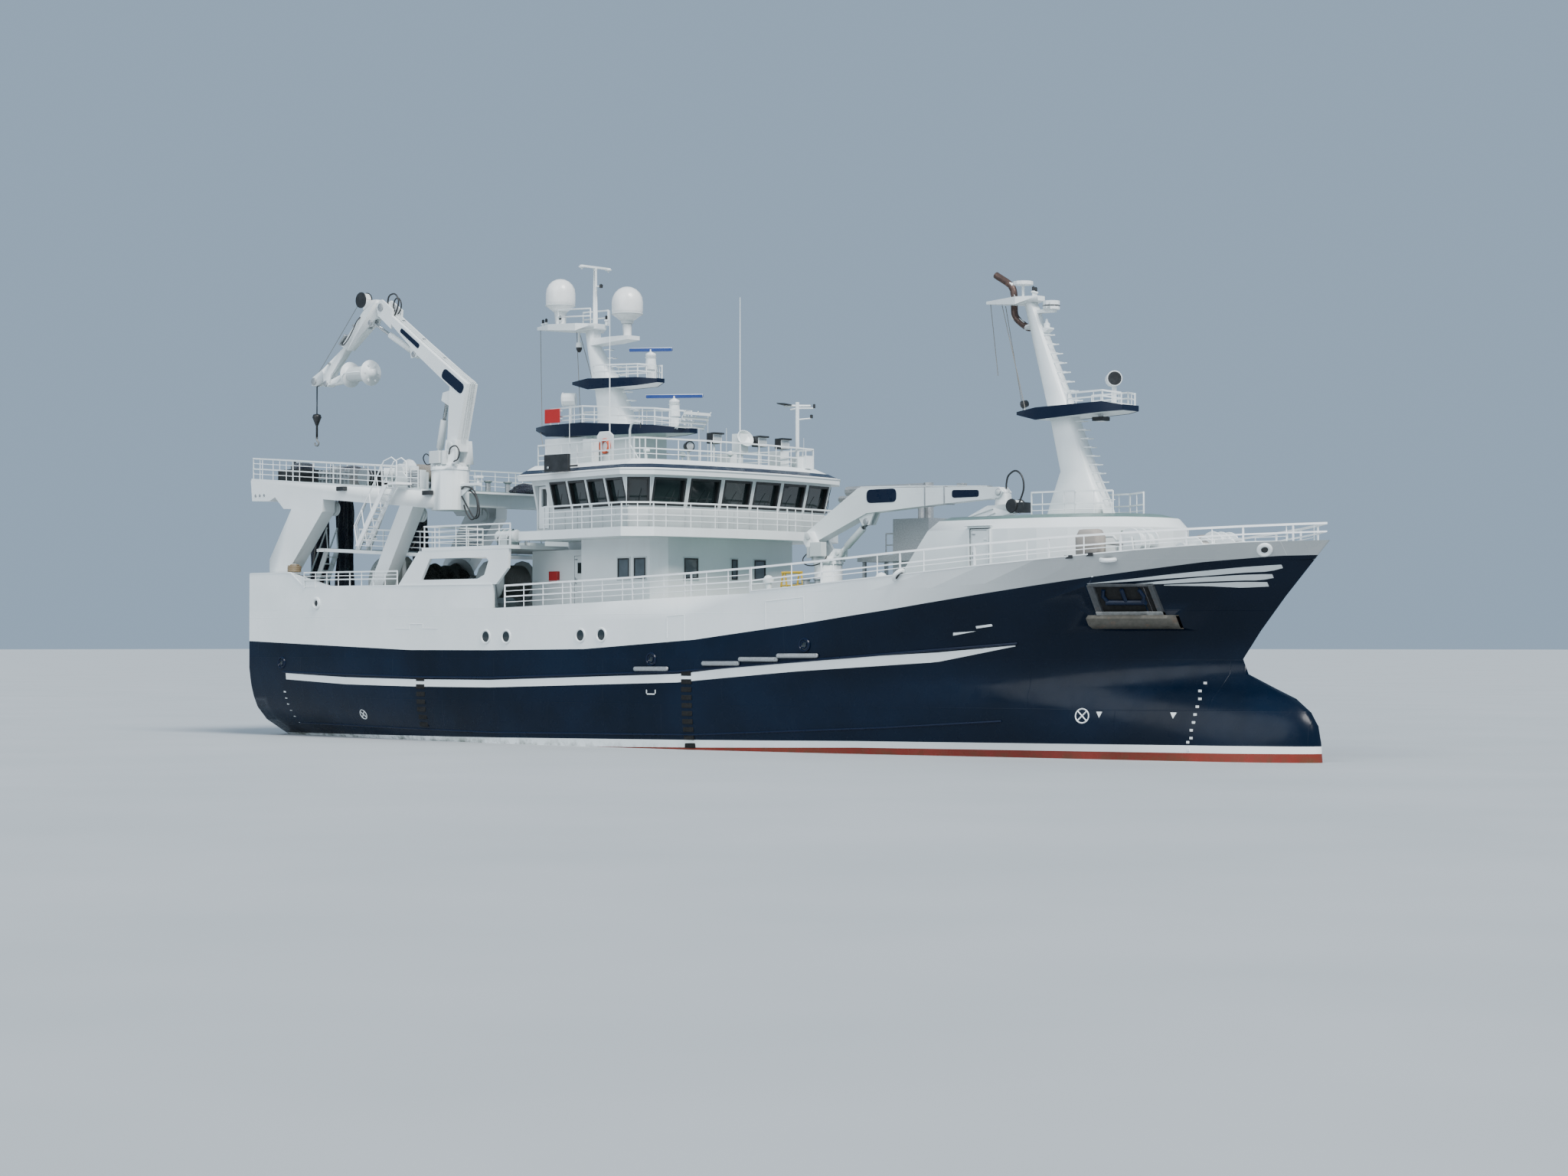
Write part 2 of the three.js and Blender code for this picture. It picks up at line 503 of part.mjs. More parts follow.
function makeConsole() {
  const floor = bridgeDeck.top + fit;
  const desk = slab([[-2.7, -3.6], [-1.9, -3.4], [-1.5, 0], [-1.9, 3.4], [-2.7, 3.6], [-2.4, 0]], [floor, 9.32]);
  const seats = [-1.7, 1.7].map((y) => join(box([-4.1, -3.5], [y - 0.3, y + 0.3], [8.85, 9.0]),
    box([-4.15, -4.0], [y - 0.3, y + 0.3], [8.85, 9.75]), rod([-3.8, y, floor], [-3.8, y, 8.9], 0.09, 6)));
  const plinth = box([-4.0, -2.3], [-1.9, 1.9], [floor, floor + 0.06]);
  return join(desk, seats, plinth);
}

function makeBridgeDeck() {
  const half = bridgeDeck.overhang;
  const floor = loft([planRow(half, bridgeDeck.under, bridgeDeck.aft), planRow(half, bridgeDeck.top, bridgeDeck.aft)]);
  const edge = wheelPlan(half - 0.06, bridgeDeck.aft).map(([x, y]) => [x, y, bridgeDeck.top]);
  const aftEnd = -6.9;
  const aftY = along([edge[1], edge[2]], aftEnd);
  const front = [2, 3, 5, 7, 9, 10].map((i) => edge[i]);
  const rail = railing([[aftEnd, aftY, bridgeDeck.top], ...front, [aftEnd, -aftY, bridgeDeck.top]],
    { height: 0.92, bars: 2, pitch: 2.4 });
  return join(floor, rail);
}

const doorRecess = 0.09;
const houseDoor = { from: -7.25, to: -6.55, low: 5.5, high: 7.4 };

function makeDeckhouse() {
  const [low, high] = [5.2, bridgeDeck.under - fit];
  const corner = 0.5;
  const main = slab([[houseStep, -houseHalf], [houseFront - corner, -houseHalf], [houseFront, -houseHalf + corner],
    [houseFront, houseHalf - corner], [houseFront - corner, houseHalf], [houseStep, houseHalf]], [low, high]);
  const back = box([houseAft, houseStep + 0.1], [-houseAftHalf, houseAftHalf], [low, 7.64]);
  const riser = box([houseAft + 0.1, houseStep + 0.1], [-2.6, 2.6], [7.6, bridgeDeck.under - fit]);
  const recess = box([houseDoor.from, houseDoor.to], [-houseAftHalf - 1, -houseAftHalf + doorRecess],
    [houseDoor.low, houseDoor.high]);
  const aftCut = box([houseAft - 1, bridgeDeck.aft], [-3, 3], [7.64, 9]);
  return cut(join(main, back, riser), recess, port(recess), aftCut, deckTool);
}

function makeBoatDeck() {
  const top = boatDeck.top;
  const front = bridgeDeck.aft - fit;
  const floor = box([boatDeck.aft, front], [-halfBeam, halfBeam], [boatDeck.under, top]);
  const slack = 0.002;
  const casingHole = box([casing.aft - slack, casing.front + slack], [-casing.half - slack, casing.half + slack],
    [7, 9]);
  const rail = railing([[front - 0.1, -5.62, top], [boatDeck.aft + 0.08, -5.62, top],
    [boatDeck.aft + 0.08, -2.5, top]], { height: 0.85, bars: 2, pitch: 2.6 });
  const raft = join(rod([-9.75, -5.0, top + 0.36], [-8.75, -5.0, top + 0.36], 0.27, 10),
    box([-9.6, -8.9], [-5.2, -4.8], [top - 0.02, top + 0.2]));
  return join(cut(floor, casingHole), bothSides(join(rail, raft)));
}

function makeSideScreen() {
  const profile = [[-15.2, 6.28], [-9.2, 6.27], [-8.5, 6.9], [-8.45, boatDeck.under - fit], [-13.9, boatDeck.under - fit]];
  const opening = [[-13.75, 6.5], [-10.3, 6.5], [-9.9, 6.65], [-9.65, 7.2], [-9.8, 7.35], [-13.2, 7.35]];
  const side = [-halfBeam + 0.01, -halfBeam + 0.01 + plating];
  return cut(plate(profile, side), plate(opening, [side[0] - 1, side[1] + 1]));
}

// Funnel casing behind the wheelhouse, and the mast on it
const casing = { aft: -11.2, front: -8.75, half: 1.25, top: 12.3 };
// Mast sections: height, aft x, fore x, half width
const mainMastRows = [[12.3, -9.1, -7.15, 0.45], [13.0, -9.05, -7.38, 0.42], [14.25, -9.26, -8.11, 0.4],
  [14.75, -9.47, -8.37, 0.37], [16.1, -9.8, -9.4, 0.32], [17.0, -9.95, -9.45, 0.3]];
const foreMastRows = [[8.4, 13.98, 16.5, 0.55], [8.9, 14.15, 16.34, 0.5], [10.0, 14.55, 15.8, 0.42],
  [11.85, 14.08, 15.05, 0.36], [16.1, 12.84, 13.24, 0.2]];

function mastSolid(rows, grow = 0) {
  return loft(rows.map(([z, aft, fore, half]) => {
    const [a, f, w] = [aft - grow, fore + grow, half + grow];
    const c = Math.min(w, f - a) * 0.35;
    return [[a, -w + c, z], [a + c, -w, z], [f - c, -w, z], [f, -w + c, z], [f, w - c, z], [f - c, w, z],
      [a + c, w, z], [a, w - c, z]];
  }));
}

// A pointed platform: sections along its length as x, half width, underside, top
function kite(sections) {
  return loft(sections.map(([x, half, low, high]) =>
    [[x, -half, low], [x, -half, high], [x, half, high], [x, half, low]]));
}

function makeFunnelCasing() {
  const trunk = box([casing.aft, casing.front], [-casing.half, casing.half], [boatDeck.under + 0.02, casing.top]);
  const neck = box([-8.9, -6.3], [-0.9, 0.9], [roof.top + fit, casing.top]);
  return join(trunk, neck);
}

function makeMainMast() {
  const body = mastSolid(mainMastRows.map((row, i) => (i ? row : [casing.top + fit, ...row.slice(1)])));
  const topArm = kite([[-12.95, 0.1, 17.0, 17.12], [-11.6, 0.75, 16.86, 17.1], [-9.9, 0.8, 16.72, 17.02],
    [-9.25, 0.35, 16.8, 17.0]]);
  const foreArm = kite([[-9.6, 0.3, 16.1, 16.38], [-8.3, 0.45, 16.15, 16.38], [-7.3, 0.35, 16.22, 16.38]]);
  const pole = rod([-9.55, 0, 16.9], [-9.55, 0, 19.35], 0.11, 8, 0.07);
  const spreader = box([-9.62, -9.48], [-0.8, 0.8], [19.3, 19.38]);
  const aftSeat = rod([-11.63, 0, 17.0], [-11.63, 0, 17.66], 0.2, 8, 0.26);
  const foreSeat = rod([-7.66, 0, 16.3], [-7.66, 0, 17.02], 0.16, 8, 0.2);
  const rail = railing([[-11.0, -0.7, 17.05], [-9.3, -0.5, 17.0]], { height: 0.6, bars: 2, pitch: 1.5 });
  return join(body, topArm, foreArm, pole, spreader, aftSeat, foreSeat, bothSides(rail));
}

function makeLowPlatform() {
  const floor = kite([[-13.0, 0.1, 12.8, 12.93], [-11.4, 1.0, 12.44, 12.9], [-8.6, 1.7, casing.top + fit, 12.84],
    [-5.2, 0.95, casing.top + fit, 12.62], [-3.9, 0.2, 12.28, 12.45]]);
  const rail = railing([[-11.2, -0.95, 12.86], [-8.6, -1.6, 12.83], [-5.2, -0.87, 12.6], [-4.2, -0.2, 12.48]],
    { height: 0.68, bars: 2, pitch: 2.5 });
  const seat = rod([-4.96, 0, 12.5], [-4.96, 0, 13.5], 0.2, 8, 0.18);
  const lamp = join(rod([-11.0, 0, 12.8], [-11.0, 0, 13.75], 0.08, 6),
    rod([-11.25, -0.2, 14.0], [-10.8, 0.1, 14.0], 0.27, 10));
  return cut(join(floor, bothSides(rail), seat, lamp), mastSolid(mainMastRows, fit));
}

function makeMidPlatform() {
  const floor = kite([[-10.8, 0.1, 14.6, 14.7], [-9.2, 0.75, 14.28, 14.72], [-6.5, 0.6, 14.3, 14.62],
    [-5.75, 0.2, 14.4, 14.55]]);
  const rail = railing([[-8.9, -0.7, 14.69], [-6.5, -0.55, 14.6], [-5.85, -0.18, 14.53]],
    { height: 0.55, bars: 2, pitch: 2.5 });
  const seat = rod([-6.3, 0, 14.5], [-6.3, 0, 15.45], 0.18, 8, 0.16);
  return cut(join(floor, bothSides(rail), seat), mastSolid(mainMastRows, fit));
}

function radome(x, low, radius, height) {
  const straight = height - radius;
  const profile = [[0, 0], [radius * 0.45, 0], [radius * 0.97, height * 0.18], [radius, height * 0.3], [radius, straight]];
  for (let i = 1; i <= 5; i++) {
    const a = i * Math.PI / 10;
    profile.push([radius * Math.cos(a), straight + radius * Math.sin(a)]);
  }
  profile[profile.length - 1][0] = 0;
  return turned(profile, [x, 0, low], [0, 0, 1], 14);
}

function radarScanner(x, z, length) {
  const turn = THREE.MathUtils.degToRad(35);
  const shape = new THREE.BoxGeometry(length * metre, 0.12 * metre, 0.14 * metre);
  shape.rotateZ(turn);
  shape.translate(x * metre, 0, (z + 0.3) * metre);
  const gear = turned([[0, fit], [0.2, fit], [0.22, 0.12], [0.08, 0.2], [0.08, 0.3], [0, 0.3]], [x, 0, z],
    [0, 0, 1], 10);
  return join(gear, solidOf(shape));
}

// Gantry: the top line falls towards the bow
const gantryTop = (x) => gantry.topAtStern + (x - gantry.aft) * gantry.slope;

function makeGantrySide() {
  const beam = [[gantry.aft, gantryTop(gantry.aft)], [-25.6, 10.1], [-24.4, 10.06], [-24.0, 10.22], [-23.4, 9.7],
    [-22.4, 9.66], [-20.72, 10.02], [-14.0, 9.45], [-13.6, 9.45], [-13.6, gantryTop(-13.6)]];
  const aftLeg = [[-24.35, 5.2], [-23.1, 5.2], [-23.1, 7.0],
    [-20.75, 9.5], [-20.7, 10.2], [-22.8, 10.2], [-22.8, 9.75], [-24.35, 7.55]];
  const foreLeg = [[-18.3, 5.2], [-17.45, 5.2], [-14.75, 9.7],
    [-15.5, 9.9]];
  const side = [-gantry.outer, -gantry.inner];
  return onDeck(join(plate(beam, side), plate(aftLeg, side), plate(foreLeg, side)));
}

function makeGantryStarboard() {
  const drum = rod([aftCrane.x, aftCrane.y, 9.35], [aftCrane.x, aftCrane.y, aftCrane.flange], aftCrane.radius, 20);
  return join(makeGantrySide(), drum);
}

function makeGantryDeck() {
  const [aft, front] = [gantry.aft + 0.05, gantry.front - 0.05];
  const top = (x) => gantryTop(x) + fit;
  const floor = plate([[aft, top(aft)], [front, top(front)], [front, top(front) + 0.08], [aft, top(aft) + 0.08]],
    [-gantry.outer, gantry.outer]);
  const girders = [-25.2, -21.6, -18.2, -15.2].map((x) =>
    box([x, x + 0.35], [-gantry.inner + fit, gantry.inner - fit], [gantryTop(x) - 0.6, gantryTop(x) + 0.04]));
  const foot = (x, y) => [x, y, top(x) + 0.06];
  const edge = gantry.outer - 0.06;
  const rail = railing([foot(-14.6, -edge), foot(aft + 0.07, -edge), foot(aft + 0.07, edge), foot(-14.6, edge)],
    { height: 0.9, bars: 2, pitch: 2.6 });
  const cheek = (y) => cut(plate([[-18.7, top(-18.7) + 0.05], [-17.1, top(-17.1) + 0.05], [-17.6, 11.35], [-18.2, 11.35]],
    [y - 0.05, y + 0.05]), rod([topDrum.x, y - 1, topDrum.z], [topDrum.x, y + 1, topDrum.z], 0.126, 20));
  const hatch = box([-19.2, -17.25], [-4.15, -3.45], [9.6, 11]);
  const onTop = (x, y, height) => box(x, y, [gantryTop(x[1]) + 0.02, gantryTop(x[1]) + height]);
  const gear = [onTop([-25.0, -23.7], [-4.2, -2.9], 0.6), onTop([-22.9, -20.9], [-3.6, -2.3], 0.72),
    onTop([-20.4, -19.5], [-3.4, -2.5], 0.66), onTop([-16.6, -15.9], [-4.5, -3.5], 0.75)];
  return join(cut(join(floor, girders), hatch), gear, rail, cheek(topDrum.y[0] - 0.14), cheek(topDrum.y[1] + 0.14));
}

const midDeckTop = (x) => along([[midDeck.aft, midDeck.topAft], [midDeck.front, midDeck.topFront]], x);

function makeMidDeck() {
  const { aft, front, topAft, topFront, thick } = midDeck;
  const half = gantry.inner - 0.05;
  const floor = plate([[aft, topAft - thick], [front, topFront - thick], [front, topFront], [aft, topAft]], [-half, half]);
  const lug = (x, z) => box([x - 0.25, x + 0.25], [-gantry.inner + fit, gantry.inner - fit], [z - thick, z - 0.02]);
  const rail = railing([[-19.2, -half + 0.05, 7.83], [midDeck.front + 0.1, -half + 0.05, topFront - 0.02]],
    { height: 0.9, bars: 2, pitch: 1.6 });
  return join(floor, lug(-21.7, 7.98), lug(-16.2, 7.7), bothSides(rail));
}

// A drum wound with net or wire: a shaft with a collar against each bearing, flanges, and the winding between them
function drum({ x, z, y, gap }, { barrel, flange, sides }) {
  const [shaft, collar, edge, width] = [0.12, 0.18, 0.07, y[1] - y[0]];
  const end = [[0, -gap - 0.12], [shaft, -gap - 0.12], [shaft, -gap + fit], [collar, -gap + fit], [collar, 0], [flange, 0],
    [flange, edge], [barrel, edge]];
  const far = [...end].reverse().map(([r, h]) => [r, width - h]);
  return turned([...end, ...far], [x, y[0], z], [0, 1, 0], sides);
}

const topDrum = { x: -17.9, z: 11.15, y: [-2.9, -1.1], gap: 0.09 };
const netDrum = { x: -20.4, z: 6.55, y: [-2.1, 2.1], gap: 0.05 };
const winch = { x: -11.6, z: 6.45, y: [2.1, 3.9], gap: 0.05 };

function bearing(x, z, y, low, width = 0.45, shaft = 0.12) {
  const block = plate([[x - width, low], [x + width, low], [x + width * 0.6, z + 0.22], [x - width * 0.6, z + 0.22]], y);
  return cut(block, rod([x, y[0] - 1, z], [x, y[1] + 1, z], shaft + 0.006, 20));
}

function makeNetDrumFrame() {
  const low = 5.2;
  const cheeks = [[-2.3, -2.15], [2.15, 2.3]].map((y) => bearing(netDrum.x, netDrum.z, y, low, 0.7));
  const tie = box([netDrum.x - 0.7, netDrum.x + 0.7], [-2.3, 2.3], [low, 5.4]);
  return onDeck(join(cheeks, tie));
}

function makeWinchFrame() {
  const low = 5.2;
  const cheeks = [[winch.y[0] - 0.18, winch.y[0] - 0.05], [winch.y[1] + 0.05, winch.y[1] + 0.18]].map((y) =>
    bearing(winch.x, winch.z, y, low, 0.6));
  const base = box([winch.x - 0.6, winch.x + 0.6], [-4.08, 4.08], [low, 5.42]);
  return onDeck(join(bothSides(join(cheeks)), base));
}

// The net that hangs from the gantry deck to the working deck
function makeSternNet() {
  const at = [-24.05, -2.72];
  const [low, high] = [deckLine[0][1] + fit, gantryTop(at[0]) - 0.03];
  const bundle = [[0, 0], [0.5, 0], [0.5, 0.9], [0.4, 2.2], [0.47, 3.4], [0.36, 4.6], [0.25, high - low], [0, high - low]];
  return turned(bundle, [...at, low], [0, 0, 1], 10);
}

// Stern of the hull: propeller and rudder
function makePropeller() {
  const centre = propellerAt;
  const hub = turned([[0, -0.55], [0.16, -0.5], [0.3, -0.2], [0.3, 0.3], [0.24, 0.42], [0, 0.42]], centre, [1, 0, 0], 16);
  const blade = loft([[0.2, 0.34, 50], [0.6, 0.5, 38], [1.0, 0.52, 28], [1.32, 0.22, 22]].map(([r, half, pitch]) => {
    const a = THREE.MathUtils.degToRad(pitch);
    const [cx, cy] = [Math.sin(a) * half, Math.cos(a) * half];
    const thick = 0.05 * (1.5 - r) + 0.02;
    return [[-cx, -cy, r], [thick, 0, r], [cx, cy, r], [-thick, 0, r]].map(([x, y, z]) =>
      [centre[0] + x, centre[1] + y, centre[2] + z]);
  }));
  const blades = [0, 90, 180, 270].map((turn) => {
    const c = vector(centre);
    return blade.translate([-c.x, -c.y, -c.z]).rotate([turn, 0, 0]).translate([c.x, c.y, c.z]);
  });
  return join(hub, blades);
}

function makeRudder() {
  const section = [[0.95, 0], [0.75, 0.16], [0.3, 0.2], [-1.15, 0.03], [-1.15, -0.03], [0.3, -0.2], [0.75, -0.16]];
  const blade = slab(section.map(([x, y]) => [x - 23.1, y]), [-4.72, -1.75]);
  const stock = rod([rudderAt, 0, -1.8], [rudderAt, 0, rudderTop - fit], 0.14, 12);
  const pintle = rod([rudderAt, 0, -4.78 + fit], [rudderAt, 0, -4.7], 0.1, 12);
  return join(blade, stock, pintle);
}

// Forecastle: casing with a rounded front, its door, the mast and the windlass
const foreCasing = { aft: 9.95, half: 3.35, sideEnd: 14.6, nose: 19.2, top: 8.4 };
const foreDoor = { from: 13.0, to: 13.8, low: 6.15, high: 7.88 };

function foreCasingPlan(inset, z) {
  const half = foreCasing.half - inset;
  const nose = foreCasing.nose - inset;
  const side = [[foreCasing.aft + inset * 0.4, half], [foreCasing.sideEnd, half]];
  for (let i = 1; i <= 6; i++) {
    const a = i * Math.PI / 12;
    side.push([foreCasing.sideEnd + (nose - foreCasing.sideEnd) * Math.sin(a), half * Math.cos(a) ** 0.9]);
  }
  const starboard = side.map(([x, y]) => [x, -y, z]);
  starboard[starboard.length - 1][1] = 0;
  return [...starboard, ...starboard.slice(0, -1).reverse().map(([x, y]) => [x, -y, z])];
}

function makeForeCasing() {
  const rows = [[0, 5.4], [0, 7.9], [0.3, 8.25], [0.9, foreCasing.top]];
  const body = loft(rows.map(([inset, z]) => foreCasingPlan(inset, z)));
  const slope = plate([[9, 6.6], [9.95, 6.6], [11.35, 8.3], [11.5, 9], [9, 9]], [-5, 5]);
  const recess = box([foreDoor.from, foreDoor.to], [-4, -foreCasing.half + doorRecess], [foreDoor.low, foreDoor.high]);
  const rail = railing([[17.3, -0.9, 8.36], [16.2, -1.6, 8.36], [14.3, -1.6, 8.36]], { height: 0.85, bars: 2, pitch: 2 });
  return cut(join(cut(body, slope, deckTool), bothSides(rail)), recess, mastSolid(foreMastRows, fit));
}

function makeForeMast() {
  const crosstree = kite([[11.05, 0.08, 16.2, 16.3], [12.7, 0.5, 16.05, 16.32], [13.5, 0.2, 16.15, 16.32]]);
  const head = join(rod([12.68, 0, 16.25], [12.68, 0, 16.8], 0.05, 6), rod([12.68, 0, 16.78], [12.68, 0, 16.9], 0.36, 12));
  const radarArm = join(box([13.1, 14.1], [-0.12, 0.12], [15.7, 15.82]), rod([13.95, 0, 15.8], [13.95, 0, 16.1], 0.3, 12));
  const exhaust = [[12.6, 15.28], [12.03, 15.71], [12.0, 16.43], [11.87, 16.86], [11.2, 17.27]];
  const [pipeY, pipeRadius] = [0.35, 0.11];
  const pipe = exhaust.slice(1).map(([x, z], i) =>
    rod([exhaust[i][0], pipeY, exhaust[i][1]], [x, pipeY, z], pipeRadius, 8));
  const elbows = exhaust.slice(1, -1).map(([x, z]) => rod([x, pipeY - 0.1, z], [x, pipeY + 0.1, z], pipeRadius, 8));
  const stub = rod([13.2, 0, 15.28], [12.55, pipeY, 15.28], pipeRadius, 8);
  const body = mastSolid(foreMastRows.map(([z, ...rest]) => [z + (z === foreCasing.top ? fit : 0), ...rest]));
  return join(body, crosstree, head, radarArm, pipe, elbows, stub);
}

function makeForePlatform() {
  const floor = kite([[12.5, 0.15, 12.12, 12.22], [13.8, 0.75, 11.85, 12.28], [16.75, 0.8, 11.98, 12.34],
    [17.4, 0.45, 12.02, 12.2]]);
  const rail = railing([[15.2, -0.72, 12.3], [16.75, -0.75, 12.32], [17.3, -0.4, 12.22]],
    { height: 0.4, bars: 2, pitch: 2 });
  const lamp = join(rod([16.7, 0, 12.2], [16.7, 0, 12.95], 0.08, 6),
    rod([16.5, 0.15, 13.15], [16.9, -0.25, 13.15], 0.25, 12));
  return cut(join(floor, bothSides(rail), lamp), mastSolid(foreMastRows, fit));
}

function makeWindlass() {
  const low = 6.2;
  const bed = box([20.2, 21.7], [-1.7, 1.7], [low, 6.62]);
  const cheeks = [-1.5, -0.55, 0.55, 1.5].map((y) => plate([[20.5, low], [21.4, low], [21.15, 7.25], [20.75, 7.25]],
    [y - 0.06, y + 0.06]));
  const shaft = rod([20.95, -2.1, 7.05], [20.95, 2.1, 7.05], 0.1, 8);
  const drums = [-1.02, 1.02].map((y) => rod([20.95, y - 0.3, 7.05], [20.95, y + 0.3, 7.05], 0.33, 14));
  const heads = [-2.1, 1.8].map((y) => rod([20.95, y, 7.05], [20.95, y + 0.3, 7.05], 0.25, 12));
  const motor = box([20.55, 21.35], [-0.4, 0.4], [low, 7.3]);
  return onDeck(join(bed, cheeks, shaft, drums, heads, motor));
}

// Fish separator on the well deck: tank, frame, stair and the pipes from the wheelhouse front
function makeSeparator() {
  const low = 5.5;
  const tank = box([3.6, 5.4], [3.4, 4.9], [low, 8.75]);
  const table = box([2.2, 8.6], [2.9, 4.6], [7.1, 7.35]);
  const legs = [[2.4, 3.1], [2.4, 4.4], [8.4, 3.1], [8.4, 4.4], [6.6, 3.1]].map(([x, y]) =>
    box([x - 0.06, x + 0.06], [y - 0.06, y + 0.06], [low, 7.2]));
  const pipes = [[9.98, 4.6, 0.2], [9.65, 4.15, 0.13]].map(([z, y, r]) => join(rod([0.2, y, z], [4.4, y, z], r, 10),
    rod([4.4, y, z + r], [4.4, y, 8.7], r, 10)));
  const rail = railing([[2.3, 4.5, 7.34], [8.5, 4.5, 7.34]], { height: 0.9, bars: 2, pitch: 1.6 });
  return onDeck(join(tank, table, legs, pipes, rail));
}

// Cranes. A pin is [x, z] in the plane of the crane; pins run across it, along y
const halfEye = 0.11;
const pinSides = 12;
const pin = ([x, z], y, half, radius) => rod([x, y - half, z], [x, y + half, z], radius, pinSides);
const pinBore = (at, y, half, radius) => pin(at, y, half, radius / Math.cos(Math.PI / pinSides) + 0.0012);

// A hydraulic cylinder lying between two pins. The rod's eye is left open: it follows its lug without a pin
function cylinder(foot, eye, y, { radius, barrelLength, rodLength, reach }) {
  const length = Math.hypot(eye[0] - foot[0], eye[1] - foot[1]);
  const at = (d) => [lerp(foot[0], eye[0], d / length), y, lerp(foot[1], eye[1], d / length)];
  const bore = rod(at(0.16), at(barrelLength + 0.1), radius * 0.52 + 0.0012, 12);
  const barrel = join(rod(at(0), at(0.46), halfEye * 0.9, 8), rod(at(0.42), at(barrelLength), radius, 12),
    pin(foot, y, halfEye, 0.13), pin(foot, y, reach, 0.07));
  const rodBody = join(rod(at(length - rodLength), at(length), radius * 0.52, 12),
    pin(eye, y, halfEye - 0.01, radius * 0.95));
  return { barrel: cut(barrel, bore), rodBody };
}

const cheekPair = (points, y, inner, thick = 0.1) =>
  [[y - inner - thick, y - inner], [y + inner, y + inner + thick]].map((side) => plate(points, side));

function disc([x, z], radius, count = 10) {
  return Array.from({ length: count }, (_, i) => {
    const a = i * 2 * Math.PI / count;
    return [x + radius * Math.cos(a), z + radius * Math.sin(a)];
  });
}

